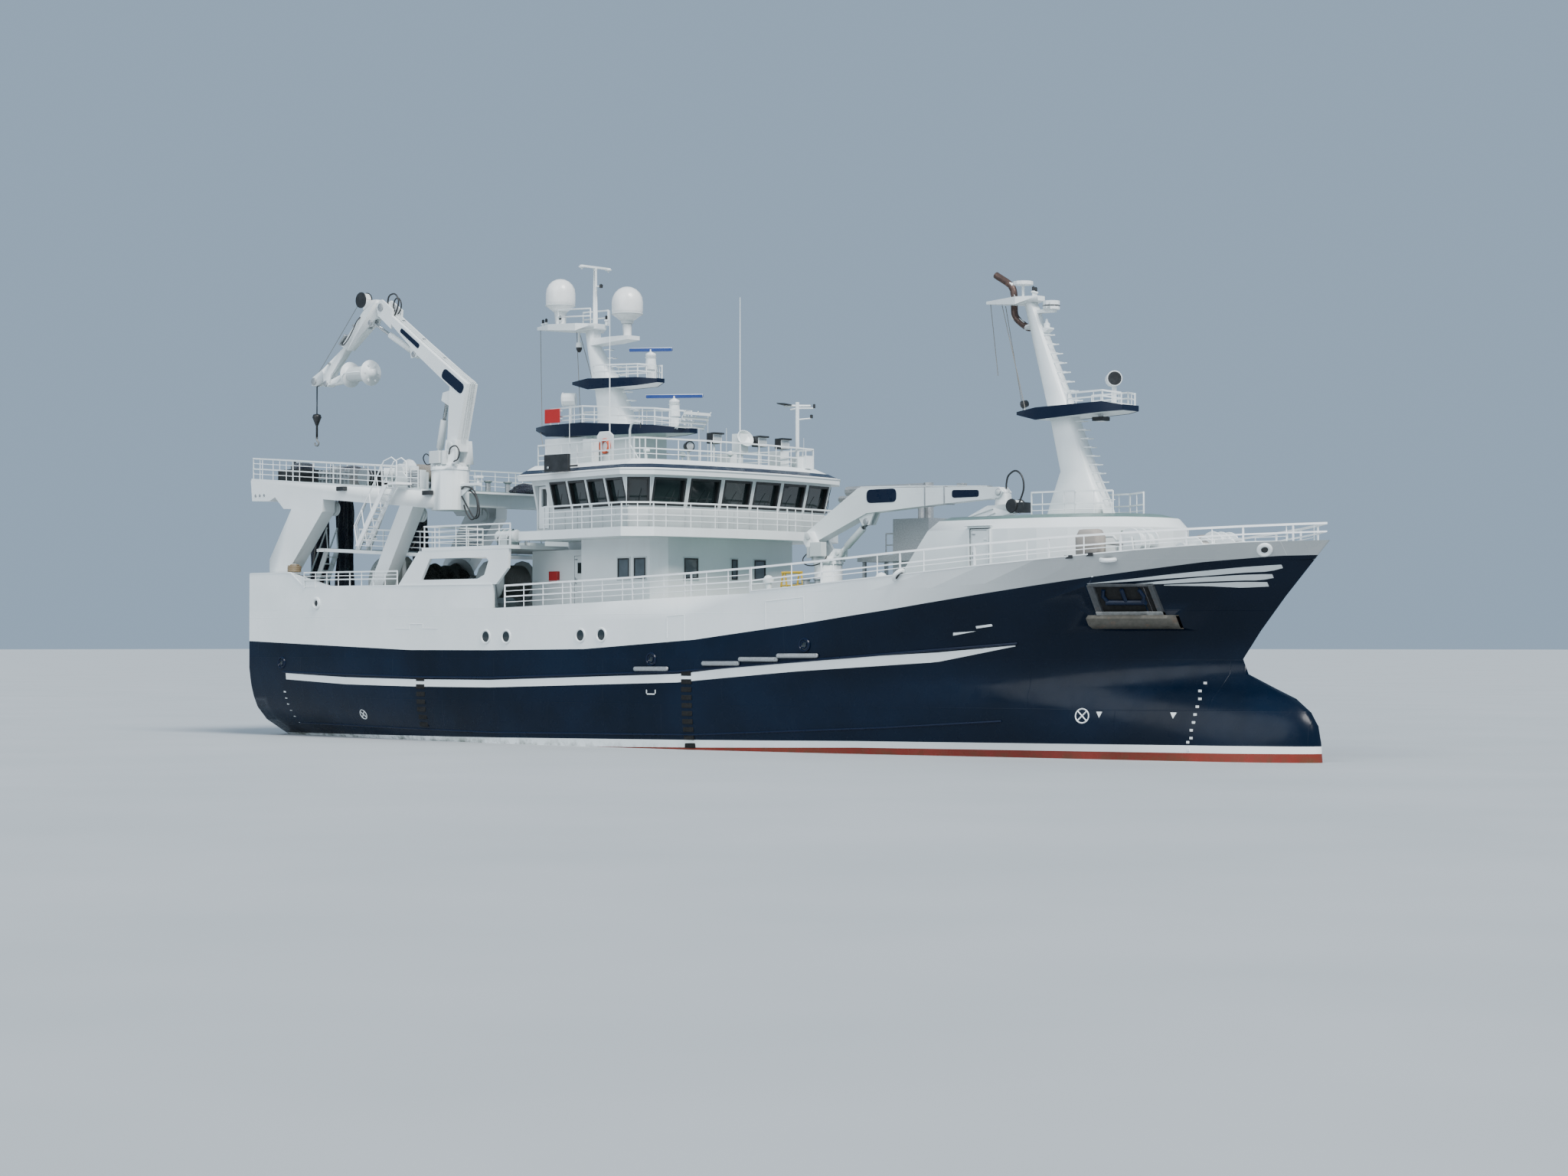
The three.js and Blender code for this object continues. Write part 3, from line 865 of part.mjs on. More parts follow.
function aftCraneParts() {
  const { x, y, flange, foot, knuckle, luffFoot, luffEye, jibFoot, jibEye, blockPin, sheave } = aftCrane;
  const eyeGap = halfEye + fit;
  const middle = [y - eyeGap, y + eyeGap];
  const ring = rod([x, y, flange + fit], [x, y, flange + 0.14], 0.8, 20);
  const head = box([x - 0.62, x + 0.62], [y - 0.52, y + 0.52], [flange + 0.1, flange + 0.3]);
  const footCheeks = cheekPair([[foot[0] - 0.4, 11.2], [foot[0] + 0.4, 11.2], [foot[0] + 0.3, 12.15],
    [foot[0] - 0.25, 12.2]], y, 0.3 + fit, 0.16);
  const luffCheeks = cheekPair([[luffFoot[0] - 0.2, 11.2], [luffFoot[0] + 0.3, 11.2], [luffFoot[0] + 0.17, 11.7],
    [luffFoot[0] - 0.17, 11.7]], y, eyeGap, 0.1);
  const column = cut(join(ring, head, footCheeks, luffCheeks), pinBore(foot, y, 1, 0.12),
    pinBore(luffFoot, y, 0.5, 0.07));

  const limb = plate([[-13.3, 11.72], [-12.7, 11.72], [-12.68, 12.2], [-12.12, 14.42], [-15.05, 16.33], [-17.35, 17.86],
    [-17.2, 17.45], [-15.11, 15.72], [-13.16, 14.36], [-13.3, 12.2]], [y - 0.3, y + 0.3]);
  const fork = cheekPair([[-16.9, 17.0], [-17.75, 17.62], [-17.85, 18.1], [-17.5, 18.25], [-16.8, 17.8]], y, 0.2, 0.1);
  const slot = box([-18.2, -17.2], [y - 0.2, y + 0.2], [17, 19]);
  const luffLug = cheekPair([[luffEye[0] - 0.18, luffEye[1] - 0.14], [-13.1, luffEye[1] - 0.5], [-13.0, luffEye[1] + 0.3],
    [luffEye[0] - 0.1, luffEye[1] + 0.17]], y, eyeGap, 0.08);
  const luffRoom = plate(disc(luffEye, 0.24), middle);
  const jibLug = cheekPair([[jibFoot[0] - 0.17, jibFoot[1] - 0.15], [jibFoot[0] + 0.17, jibFoot[1] - 0.12],
    [jibFoot[0] + 0.5, jibFoot[1] + 0.4], [jibFoot[0] - 0.3, jibFoot[1] + 0.55]], y, eyeGap, 0.08);
  const boom = cut(join(cut(limb, slot, luffRoom, plate(disc(jibFoot, 0.27), middle)), fork, luffLug, jibLug,
    pin(foot, y, 0.44, 0.12)), pinBore(knuckle, y, 1, 0.1), pinBore(jibFoot, y, 0.5, 0.07));

  const arm = join(plate([[-17.95, 18.3], [-18.4, 18.3], [-18.85, 17.85], [-20.25, 16.5], [-19.85, 16.3],
    [-17.95, 17.55]], [y - 0.2, y + 0.2]), plate([[-20.16, 16.45], [-21.9, 15.42], [-21.75, 15.05], [-21.25, 15.05],
    [-19.94, 16.35]], [y - 0.15, y + 0.15]));
  const lug = plate([[-18.2, 18.3], [-17.5, 18.12], [-17.38, 17.85], [-17.6, 17.72], [-18.2, 17.8]],
    [y - 0.2 + fit, y + 0.2 - fit]);
  const eyeCheeks = cheekPair([[jibEye[0] - 0.15, jibEye[1] - 0.16], [jibEye[0] + 0.16, jibEye[1] - 0.16],
    [jibEye[0] + 0.3, jibEye[1] + 0.3], [jibEye[0] - 0.2, jibEye[1] + 0.5]], y, eyeGap, 0.08);
  const eyeRoom = plate([...disc(jibEye, 0.36, 12)], middle);
  const winchDrum = join(rod([-19.01, y - 0.17, 18.36], [-19.01, y + 0.17, 18.36], 0.3, 14),
    box([-18.9, -18.3], [y - 0.14, y + 0.14], [17.95, 18.3]));
  const sheaveCheeks = cheekPair([[sheave[0] - 0.16, sheave[1] - 0.16], [sheave[0] + 0.1, sheave[1] - 0.2], [-21.4, 15.1],
    [-21.6, 15.6], [sheave[0] - 0.1, sheave[1] + 0.18]], y, 0.08, 0.08);
  const blockCheeks = cheekPair([[blockPin[0] - 0.14, blockPin[1] - 0.12], [blockPin[0] + 0.14, blockPin[1] - 0.12],
    [blockPin[0] + 0.35, 15.4], [blockPin[0] - 0.2, 15.4]], y, eyeGap, 0.08);
  const blockRoom = plate(disc(blockPin, 0.3, 12), middle);
  const sheaveRoom = plate(disc(sheave, 0.2, 12), [y - 0.08, y + 0.08]);
  const jib = cut(join(cut(arm, eyeRoom, blockRoom, sheaveRoom), lug, eyeCheeks, winchDrum, sheaveCheeks, blockCheeks,
    pin(knuckle, y, 0.29, 0.1)), pinBore(blockPin, y, 0.5, 0.06), pinBore(sheave, y, 0.5, 0.05));

  const roller = { x: [-19.95, -18.5], z: 15.28, radius: 0.52, core: 0.3, disc: 0.12 };
  const [rollerAft, rollerFore] = roller.x;
  const bracket = plate([[blockPin[0], blockPin[1] - 0.1], [rollerAft - 0.1, roller.z - 0.35],
    [rollerAft + 0.02, roller.z - 0.1], [rollerAft + 0.02, roller.z + 0.12], [rollerAft - 0.2, roller.z + 0.1],
    [blockPin[0], blockPin[1] + 0.1]], [y - halfEye, y + halfEye]);
  const turnedPart = (from, to, r) => rod([from, y, roller.z], [to, y, roller.z], r, 18);
  const block = join(bracket, pin(blockPin, y, halfEye, 0.13), pin(blockPin, y, 0.19, 0.06),
    turnedPart(rollerAft, rollerAft + roller.disc, roller.radius), turnedPart(rollerAft, rollerFore, roller.core),
    turnedPart(rollerFore - roller.disc, rollerFore, roller.radius), turnedPart(rollerFore, rollerFore + 0.2, 0.16));

  const hookX = sheave[0];
  const hook = join(pin(sheave, y, 0.08 - fit, 0.13), pin(sheave, y, 0.16, 0.05),
    rod([hookX, y, sheave[1]], [hookX, y, 13.6], 0.03, 6),
    turned([[0, 0], [0.06, 0.05], [0.2, 0.4], [0.16, 0.52], [0, 0.56]], [hookX, y, 13.2], [0, 0, 1], 10),
    rod([hookX, y, 12.75], [hookX, y, 13.3], 0.05, 6));

  const luff = cylinder(luffFoot, luffEye, y, { radius: 0.15, barrelLength: 1.6, rodLength: 1.75, reach: 0.2 });
  const fold = cylinder(jibFoot, jibEye, y, { radius: 0.13, barrelLength: 1.95, rodLength: 2.0, reach: 0.18 });
  return { column, boom, jib, block, hook, luff, fold };
}

function foreCraneParts() {
  const { x, y, flange, foot, knuckle, luffFoot, luffEye, radius } = foreCrane;
  const eyeGap = halfEye + fit;
  const middle = [y - eyeGap, y + eyeGap];
  const pedestal = rod([x, y, 5.2], [x, y, flange], radius, 14);
  const ring = rod([x, y, flange + fit], [x, y, flange + 0.12], radius + 0.04, 16);
  const head = box([x - 0.5, x + 0.5], [y - 0.42, y + 0.42], [flange + 0.1, flange + 0.3]);
  const footCheeks = cheekPair([[x - 0.45, 7.2], [x + 0.2, 7.2], [foot[0] + 0.25, 8.28], [foot[0] - 0.18, 8.28],
    [foot[0] - 0.25, 7.9]], y, 0.28 + fit, 0.12);
  const luffCheeks = cheekPair([[luffFoot[0] - 0.6, 7.2], [luffFoot[0] + 0.15, 7.2], [luffFoot[0] + 0.17, 7.58],
    [luffFoot[0] - 0.17, 7.6]], y, eyeGap, 0.1);
  const column = cut(join(ring, head, footCheeks, luffCheeks), pinBore(foot, y, 1, 0.1), pinBore(luffFoot, y, 0.5, 0.07));

  const limb = plate([[0.62, 7.95], [1.0, 7.85], [3.7, 8.92], [7.0, 9.13], [9.6, 9.28], [9.6, 9.72],
    [3.28, 9.9], [0.6, 8.27]], [y - 0.28, y + 0.28]);
  const fork = cheekPair([[9.3, 9.25], [10.15, 9.3], [10.35, 9.5], [10.15, 9.7], [9.3, 9.72]], y, 0.18, 0.1);
  const luffLug = cheekPair([[luffEye[0] - 0.18, luffEye[1] - 0.14], [luffEye[0] + 0.18, luffEye[1] - 0.12],
    [luffEye[0] + 0.5, 9.1], [luffEye[0] - 0.5, 8.95]], y, eyeGap, 0.08);
  const boom = cut(join(cut(limb, plate(disc(luffEye, 0.34, 12), middle)), fork, luffLug, pin(foot, y, 0.39, 0.1)),
    pinBore(knuckle, y, 0.5, 0.08));

  const lug = plate([[9.95, 9.45], [10.15, 9.3], [10.4, 9.45], [10.45, 9.0], [9.9, 8.85]], [y - 0.18 + fit, y + 0.18 - fit]);
  const pad = plate(disc(knuckle, 0.2), [y - 0.18 + fit, y + 0.18 - fit]);
  const arm = plate([[10.6, 9.05], [10.65, 8.7], [9.9, 8.55], [7.5, 7.75], [7.4, 8.1], [9.6, 9.02]], [y - 0.24, y + 0.24]);
  const drumWinch = rod([10.75, y - 0.26, 8.98], [10.75, y + 0.26, 8.98], 0.22, 12);
  const jib = join(lug, pad, arm, drumWinch, pin(knuckle, y, 0.27, 0.08));

  const luff = cylinder(luffFoot, luffEye, y, { radius: 0.14, barrelLength: 1.5, rodLength: 1.66, reach: 0.2 });
  return { pedestal, column, boom, jib, luff };
}

// The ship, piece by piece
const fore = foreCraneParts();
place('hull', join(makeHull(), fore.pedestal), navy);
place('bulwark_aft', makeAftBulwark(), white);
place('bulwark_bow', makeBowBulwark(), white);
place('deck_rail', makeDeckRail(), white);
place('deckhouse', makeDeckhouse(), white);
const recessedLeaf = doorRecess - 0.012;
const houseLeaf = hungDoor(houseDoor, -houseAftHalf, recessedLeaf);
place('deckhouse_door_starboard', houseLeaf, white);
place('deckhouse_door_port', port(houseLeaf), white);
place('bridge_deck', makeBridgeDeck(), white);
place('wheelhouse_walls', makeWheelhouseWalls(), white);
place('wheelhouse_glass', makeWheelhouseGlass(), glass);
const wheelhouseLeaf = hungDoor(sideDoor, -wheelhouse.aftHalf + lean, 0.1, [9.3, 10.0]);
place('wheelhouse_door_starboard', wheelhouseLeaf, white);
place('wheelhouse_door_port', port(wheelhouseLeaf), white);
place('wheelhouse_roof', makeRoof(), white);
place('helm_console', makeConsole(), grey);
place('boat_deck', makeBoatDeck(), white);
place('side_screen_starboard', makeSideScreen(), white);
place('side_screen_port', port(makeSideScreen()), white);
place('funnel_casing', makeFunnelCasing(), white);
place('main_mast', makeMainMast(), white);
place('mast_platform_low', makeLowPlatform(), navy);
place('mast_platform_mid', makeMidPlatform(), navy);
place('radome_aft', radome(-11.63, 17.66 + fit, 0.62, 1.38), white);
place('radome_fore', radome(-7.66, 17.02 + fit, 0.64, 1.38), white);
place('radar_low', radarScanner(-4.96, 13.5, 2.3), navy);
place('radar_high', radarScanner(-6.3, 15.45, 1.75), navy);
place('gantry_starboard', makeGantryStarboard(), white);
place('gantry_port', port(makeGantrySide()), white);
place('gantry_deck', makeGantryDeck(), white);
place('gantry_mid_deck', makeMidDeck(), white);
place('stair_low', stair([-23.6, along(deckLine, -22) + fit], [-22.1, 7.95], [-3.9, -3.3], 8), white);
place('stair_high', stair([-19.9, midDeckTop(-19.9) + fit], [-18.2, 10.5], [-4.1, -3.5], 7), white);
place('net_drum_top', drum(topDrum, { barrel: 0.3, flange: 0.55, sides: 14 }), grey);
place('stern_net', makeSternNet(), netting);
place('net_drum_frame', makeNetDrumFrame(), white);
place('net_drum', drum(netDrum, { barrel: 0.85, flange: 1.1, sides: 16 }), netting);
place('trawl_winch_frame', makeWinchFrame(), grey);
const trawlDrum = drum(winch, { barrel: 0.62, flange: 0.85, sides: 14 });
place('trawl_drum_port', trawlDrum, grey);
place('trawl_drum_starboard', port(trawlDrum), grey);

const aft = aftCraneParts();
place('aft_crane_column', aft.column, white);
place('aft_crane_boom', aft.boom, white);
place('aft_crane_jib', aft.jib, white);
place('aft_crane_net_block', aft.block, white);
place('aft_crane_hook', aft.hook, black);
place('aft_crane_luff_barrel', aft.luff.barrel, white);
place('aft_crane_luff_rod', aft.luff.rodBody, steel);
place('aft_crane_jib_barrel', aft.fold.barrel, white);
place('aft_crane_jib_rod', aft.fold.rodBody, steel);
place('fore_crane_column', fore.column, white);
place('fore_crane_boom', fore.boom, white);
place('fore_crane_jib', fore.jib, white);
place('fore_crane_luff_barrel', fore.luff.barrel, white);
place('fore_crane_luff_rod', fore.luff.rodBody, steel);
place('fore_casing', makeForeCasing(), white);
place('fore_casing_door', hungDoor(foreDoor, -foreCasing.half, recessedLeaf), white);
place('fore_mast', makeForeMast(), white);
place('fore_mast_platform', makeForePlatform(), navy);
place('windlass', makeWindlass(), white);
place('fish_separator', makeSeparator(), galvanised);
place('propeller', makePropeller(), bronze);
place('rudder', makeRudder(), navy);

export default ship;
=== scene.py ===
# Fishing trawler at 1:2. Places are in metres of the full-size ship, x forward, y to port and
# z up from the waterline; finishPiece halves them as it makes each mesh.
import json
import math

import bmesh
import bpy
from mathutils import Matrix, Vector, noise
from mathutils.bvhtree import BVHTree

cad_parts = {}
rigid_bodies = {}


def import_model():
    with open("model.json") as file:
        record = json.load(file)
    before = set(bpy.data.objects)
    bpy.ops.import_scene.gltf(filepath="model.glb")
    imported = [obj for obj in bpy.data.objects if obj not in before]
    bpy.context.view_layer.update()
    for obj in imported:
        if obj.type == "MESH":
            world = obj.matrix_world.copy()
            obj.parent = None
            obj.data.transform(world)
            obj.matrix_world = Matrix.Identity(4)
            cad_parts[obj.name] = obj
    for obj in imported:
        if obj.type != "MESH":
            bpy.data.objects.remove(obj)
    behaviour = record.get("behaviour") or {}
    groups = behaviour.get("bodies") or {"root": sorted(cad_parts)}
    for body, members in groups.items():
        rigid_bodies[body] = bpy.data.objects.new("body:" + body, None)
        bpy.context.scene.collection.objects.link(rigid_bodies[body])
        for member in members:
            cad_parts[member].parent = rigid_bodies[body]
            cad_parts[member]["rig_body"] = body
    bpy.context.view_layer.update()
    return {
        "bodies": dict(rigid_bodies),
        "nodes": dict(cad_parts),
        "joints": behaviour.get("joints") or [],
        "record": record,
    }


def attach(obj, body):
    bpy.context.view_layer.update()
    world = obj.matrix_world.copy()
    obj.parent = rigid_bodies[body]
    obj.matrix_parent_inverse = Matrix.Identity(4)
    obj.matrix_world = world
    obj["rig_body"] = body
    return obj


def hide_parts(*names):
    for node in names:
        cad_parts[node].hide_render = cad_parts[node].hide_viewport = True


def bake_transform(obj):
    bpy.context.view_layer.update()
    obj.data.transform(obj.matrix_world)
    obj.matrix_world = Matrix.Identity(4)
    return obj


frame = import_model()
cad = frame["nodes"]
modelScale = 0.5
print("frame loaded,", len(cad), "nodes")


# Numbers and tables

def lerp(a, b, t):
    return a + (b - a) * t


def along(table, x):
    if x <= table[0][0]:
        return table[0][1]
    for (x0, v0), (x1, v1) in zip(table, table[1:]):
        if x <= x1:
            return lerp(v0, v1, (x - x0) / (x1 - x0))
    return table[-1][1]


def steps(first, last, pitch):
    count = max(1, round(abs(last - first) / pitch))
    return [lerp(first, last, i / count) for i in range(count + 1)]


def smoothPath(points, count):
    # a Catmull-Rom curve through the points
    points = [Vector(p) for p in points]
    padded = [2 * points[0] - points[1], *points, 2 * points[-1] - points[-2]]
    path = []
    for i in range(count):
        t = i / (count - 1) * (len(points) - 1)
        k = min(int(t), len(points) - 2)
        a, b, c, d = padded[k:k + 4]
        u = t - k
        path.append(0.5 * (2 * b + (c - a) * u + (2 * a - 5 * b + 4 * c - d) * u ** 2
                           + (3 * b - a - 3 * c + d) * u ** 3))
    return path


# Shapes, each added to an open bmesh

def addLoft(shape, rows, capped=True, looped=False):
    made = [[shape.verts.new(p) for p in row] for row in rows]
    count = len(rows[0])
    pairs = list(zip(made, made[1:]))
    if looped:
        pairs.append((made[-1], made[0]))
    for first, second in pairs:
        for i in range(count):
            j = (i + 1) % count
            shape.faces.new((first[i], first[j], second[j], second[i]))
    if capped and not looped:
        shape.faces.new(made[0])
        shape.faces.new(list(reversed(made[-1])))


def addBox(shape, low, high):
    (x0, y0, z0), (x1, y1, z1) = low, high
    addLoft(shape, [[(x0, y0, z), (x1, y0, z), (x1, y1, z), (x0, y1, z)] for z in (z0, z1)])


def addPrism(shape, outline, axis, low, high):
    # outline is (x, z) along y, (x, y) along z or (y, z) along x
    place = {"y": lambda a, b, c: (a, c, b), "z": lambda a, b, c: (a, b, c), "x": lambda a, b,
             c: (c, a, b)}[axis]
    addLoft(shape, [[place(a, b, c) for a, b in outline] for c in (low, high)])


def sideVectors(direction):
    axis = Vector(direction).normalized()
    helper = Vector((0, 0, 1)) if abs(axis.z) < 0.9 else Vector((1, 0, 0))
    side = axis.cross(helper).normalized()
    return axis, side, axis.cross(side)


def anglesOf(count):
    return [i * math.tau / count for i in range(count)]


def addRod(shape, start, end, radius, sides=10, endRadius=None):
    start, end = Vector(start), Vector(end)
    _, side, up = sideVectors(end - start)
    rows = []
    for centre, r in ((start, radius), (end, radius if endRadius is None else endRadius)):
        rows.append([centre + r * (side * math.cos(a) + up * math.sin(a)) for a in anglesOf(sides)])
    addLoft(shape, rows)


def tubeRows(path, radius, sides):
    path = [Vector(p) for p in path]
    _, side, up = sideVectors(path[1] - path[0])
    rows = []
    for i, point in enumerate(path):
        ahead = (path[min(i + 1, len(path) - 1)] - path[max(i - 1, 0)]).normalized()
        side = (side - side.dot(ahead) * ahead).normalized()
        up = ahead.cross(side)
        rows.append([point + radius * (side * math.cos(a) + up * math.sin(a)) for a in anglesOf(sides)])
    return rows


def addTube(shape, path, radius, sides=8):
    addLoft(shape, tubeRows(path, radius, sides))


def addRing(shape, centre, direction, major, minor, around=20, sides=6):
    _, side, up = sideVectors(direction)
    axis = side.cross(up)
    rows = []
    for a in anglesOf(around):
        out = side * math.cos(a) + up * math.sin(a)
        rows.append([Vector(centre) + out * (major + minor * math.cos(b)) + axis * minor * math.sin(b)
                     for b in anglesOf(sides)])
    addLoft(shape, rows, looped=True)


def addTurned(shape, profile, at, direction=(0, 0, 1), sides=16):
    # profile is (radius, height) pairs; a radius of zero closes an end in a point
    axis, side, up = sideVectors(direction)
    at = Vector(at)
    rings = []
    for radius, height in profile:
        centre = at + axis * height
        angles = anglesOf(sides) if radius > 1e-6 else [0]
        rings.append([shape.verts.new(centre + radius * (side * math.cos(a) + up * math.sin(a)))
                      for a in angles])
    for first, second in zip(rings, rings[1:]):
        for i in range(sides):
            j = (i + 1) % sides
            corners = [first[i % len(first)], first[j % len(first)], second[j % len(second)],
                       second[i % len(second)]]
            shape.faces.new(list(dict.fromkeys(corners)))
    for ring in (rings[0], rings[-1]):
        if len(ring) > 1:
            shape.faces.new(ring)


def newShapes(count):
    return [bmesh.new() for _ in range(count)]


def mirrorAcross(shape):
    # adds the port half to a shape made on the starboard side
    copied = bmesh.ops.duplicate(shape, geom=shape.verts[:] + shape.edges[:] + shape.faces[:])
    for item in copied["geom"]:
        if isinstance(item, bmesh.types.BMVert):
            item.co.y *= -1


toScene = bpy.context.scene.collection.objects.link


def finishPiece(shape, name, look, body="ship", bevel=0.0, bothSides=False, smoothAngle=35,
                stands=()):
    # look is a name in looks
    if bothSides:
        mirrorAcross(shape)
    bmesh.ops.recalc_face_normals(shape, faces=shape.faces[:])
    for vertex in shape.verts:
        vertex.co *= modelScale
    mesh = bpy.data.meshes.new(name)
    shape.to_mesh(mesh)
    shape.free()
    return finishMesh(mesh, name, look, body, bevel, smoothAngle, stands)


def finishMesh(mesh, name, look, body="ship", bevel=0.0, smoothAngle=35, stands=()):
    mesh.materials.clear()
    mesh.materials.append(looks[look])
    mesh.polygons.foreach_set("use_smooth", [True] * len(mesh.polygons))
    mesh.set_sharp_from_angle(angle=math.radians(smoothAngle))
    piece = bpy.data.objects.new(name, mesh)
    toScene(piece)
    if bevel:
        edges = piece.modifiers.new("edges", "BEVEL")
        edges.width = bevel * modelScale
        edges.segments = 2
        edges.limit_method = "ANGLE"
        edges.angle_limit = math.radians(40)
    if body:
        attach(piece, body)
    if stands:
        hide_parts(*stands)
    return piece


def smoothCopy(node, look, smoothAngle=35):
    # the CAD shape with its doubles merged, so that round faces shade smoothly
    shape = bmesh.new()
    shape.from_mesh(cad[node].data)
    bmesh.ops.remove_doubles(shape, verts=shape.verts, dist=0.0002)
    name = node + "_shell"
    mesh = bpy.data.meshes.new(name)
    shape.to_mesh(mesh)
    shape.free()
    finishMesh(mesh, name, look, cad[node]["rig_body"], smoothAngle=smoothAngle, stands=(node,))


# Repeats along a path, made with Geometry Nodes

def makeAlongTree():
    tree = bpy.data.node_groups.new("placeAlong", "GeometryNodeTree")
    sockets = {}
    for label, kind in (("Path", "Geometry"), ("Unit", "Object"), ("Count", "Int"), ("Finish", "Material")):
        sockets[label] = tree.interface.new_socket(label, in_out="INPUT", socket_type="NodeSocket"
                                                   + kind).identifier
    tree.interface.new_socket("Result", in_out="OUTPUT", socket_type="NodeSocketGeometry")
    new, link = tree.nodes.new, tree.links.new
    given, result = new("NodeGroupInput"), new("NodeGroupOutput")
    toCurve, resample = new("GeometryNodeMeshToCurve"), new("GeometryNodeResampleCurve")
    info, spread = new("GeometryNodeObjectInfo"), new("GeometryNodeInstanceOnPoints")
    tangent, turn = new("GeometryNodeInputTangent"), new("FunctionNodeAlignRotationToVector")
    turn.axis = "X"
    realize, finish = new("GeometryNodeRealizeInstances"), new("GeometryNodeSetMaterial")
    link(given.outputs["Path"], toCurve.inputs["Mesh"])
    link(toCurve.outputs["Curve"], resample.inputs["Curve"])
    link(given.outputs["Count"], resample.inputs["Count"])
    link(resample.outputs["Curve"], spread.inputs["Points"])
    link(tangent.outputs["Tangent"], turn.inputs["Vector"])
    link(turn.outputs["Rotation"], spread.inputs["Rotation"])
    link(given.outputs["Unit"], info.inputs["Object"])
    link(info.outputs["Geometry"], spread.inputs["Instance"])
    link(spread.outputs["Instances"], realize.inputs["Geometry"])
    link(realize.outputs["Geometry"], finish.inputs["Geometry"])
    link(given.outputs["Finish"], finish.inputs["Material"])
    link(finish.outputs["Geometry"], result.inputs["Result"])
    return tree, sockets


alongTree, alongSockets = makeAlongTree()


def placeAlong(name, path, unit, count, look):
    # unit is a bmesh whose x axis follows the path
    unitMesh = bpy.data.meshes.new(name + "_unit")
    for vertex in unit.verts:
        vertex.co *= modelScale
    bmesh.ops.recalc_face_normals(unit, faces=unit.faces[:])
    unit.to_mesh(unitMesh)
    unit.free()
    unitObject = bpy.data.objects.new(name + "_unit", unitMesh)
    pathMesh = bpy.data.meshes.new(name + "_path")
    pathMesh.from_pydata([Vector(p) * modelScale for p in path],
                         [(i, i + 1) for i in range(len(path) - 1)], [])
    host = bpy.data.objects.new(name + "_host", pathMesh)
    toScene(host)
    spread = host.modifiers.new("spread", "NODES")
    spread.node_group = alongTree
    spread[alongSockets["Unit"]] = unitObject
    spread[alongSockets["Count"]] = count
    spread[alongSockets["Finish"]] = looks[look]
    evaluated = host.evaluated_get(bpy.context.evaluated_depsgraph_get())
    made = bpy.data.meshes.new_from_object(evaluated)
    host.modifiers.remove(spread)
    bpy.data.objects.remove(host)
    bpy.data.objects.remove(unitObject)
    made.name = name
    finishMesh(made, name, look)


# Places on the outside of the CAD shapes

def surfaceOf(*names):
    points, faces = [], []
    for name in names:
        mesh = cad[name].data
        base = len(points)
        points += [v.co.copy() for v in mesh.vertices]
        faces += [[base + i for i in polygon.vertices] for polygon in mesh.polygons]
    return BVHTree.FromPolygons(points, faces)


hullSurface = surfaceOf("hull", "bulwark_bow", "bulwark_aft")


def hullSide(x, z):
    # y of the starboard side there, in ship metres
    outside = -20
    found = hullSurface.ray_cast(Vector((x, outside, z)) * modelScale, Vector((0, 1, 0)))
    return found[0].y / modelScale if found[0] else 0.0


def hullPoint(x, z, out=0.0):
    return Vector((x, hullSide(x, z) - out, z))


def hullOut(x, z):
    # the direction square to the starboard side there
    gap = 0.25
    ahead = Vector((gap * 2, hullSide(x + gap, z) - hullSide(x - gap, z), 0))
    up = Vector((0, hullSide(x, z + gap) - hullSide(x, z - gap), gap * 2))
    out = ahead.cross(up).normalized()
    return out if out.y < 0 else -out


def inboard(x, y, z, gap=0.4):
    # y drawn in where the ship's side is nearer than that
    return math.copysign(min(abs(y), -hullSide(x, z) - gap), y)


def addHullStrip(shape, xs, lowAt, highAt, proud, sink=0.04, rows=3):
    # a plate on the ship's side between two heights, which are functions of x
    rings = []
    for x in xs:
        heights = [lerp(lowAt(x), highAt(x), i / (rows - 1)) for i in range(rows)]
        rings.append([hullPoint(x, z, proud) for z in heights] + [hullPoint(x, z, -sink)
                                                                  for z in reversed(heights)])
    addLoft(shape, rings)


def addHullRail(shape, xs, table, radius):
    addTube(shape, [hullPoint(x, along(table, x), radius * 0.2) for x in xs], radius)


def addHullMark(shape, outline, proud, sink, flatY=None):
    # a thin plate whose (x, z) outline lies on the ship's side, or on the plane y = flatY
    addLoft(shape, [[(x, (hullSide(x, z) if flatY is None else flatY) + off, z) for x, z in outline]
                    for off in (-proud, sink)])


def addHullBlock(shape, x, z, halfWide, low, high, proud, sink):
    outline = [(x - halfWide, z + low), (x + halfWide, z + low), (x + halfWide, z + high),
               (x - halfWide, z + high)]
    addHullMark(shape, outline, proud, sink, hullSide(x, z))


# Shader helpers

def newMaterial(name):
    material = bpy.data.materials.new(name)
    material.use_nodes = True
    tree = material.node_tree
    tree.nodes.clear()
    output = tree.nodes.new("ShaderNodeOutputMaterial")
    shader = tree.nodes.new("ShaderNodeBsdfPrincipled")
    tree.links.new(shader.outputs["BSDF"], output.inputs["Surface"])
    place = tree.nodes.new("ShaderNodeTexCoord").outputs["Object"]
    return material, tree, shader, place


def stretched(tree, place, scale, turn=(0, 0, 0)):
    mapping = tree.nodes.new("ShaderNodeMapping")
    mapping.inputs["Scale"].default_value = scale
    mapping.inputs["Rotation"].default_value = turn
    tree.links.new(place, mapping.inputs["Vector"])
    return mapping.outputs["Vector"]


def noiseOf(tree, place, scale, detail=3.0, rough=0.55):
    pattern = tree.nodes.new("ShaderNodeTexNoise")
    pattern.inputs["Scale"].default_value = scale
    pattern.inputs["Detail"].default_value = detail
    pattern.inputs["Roughness"].default_value = rough
    tree.links.new(place, pattern.inputs["Vector"])
    return pattern.outputs["Fac"]


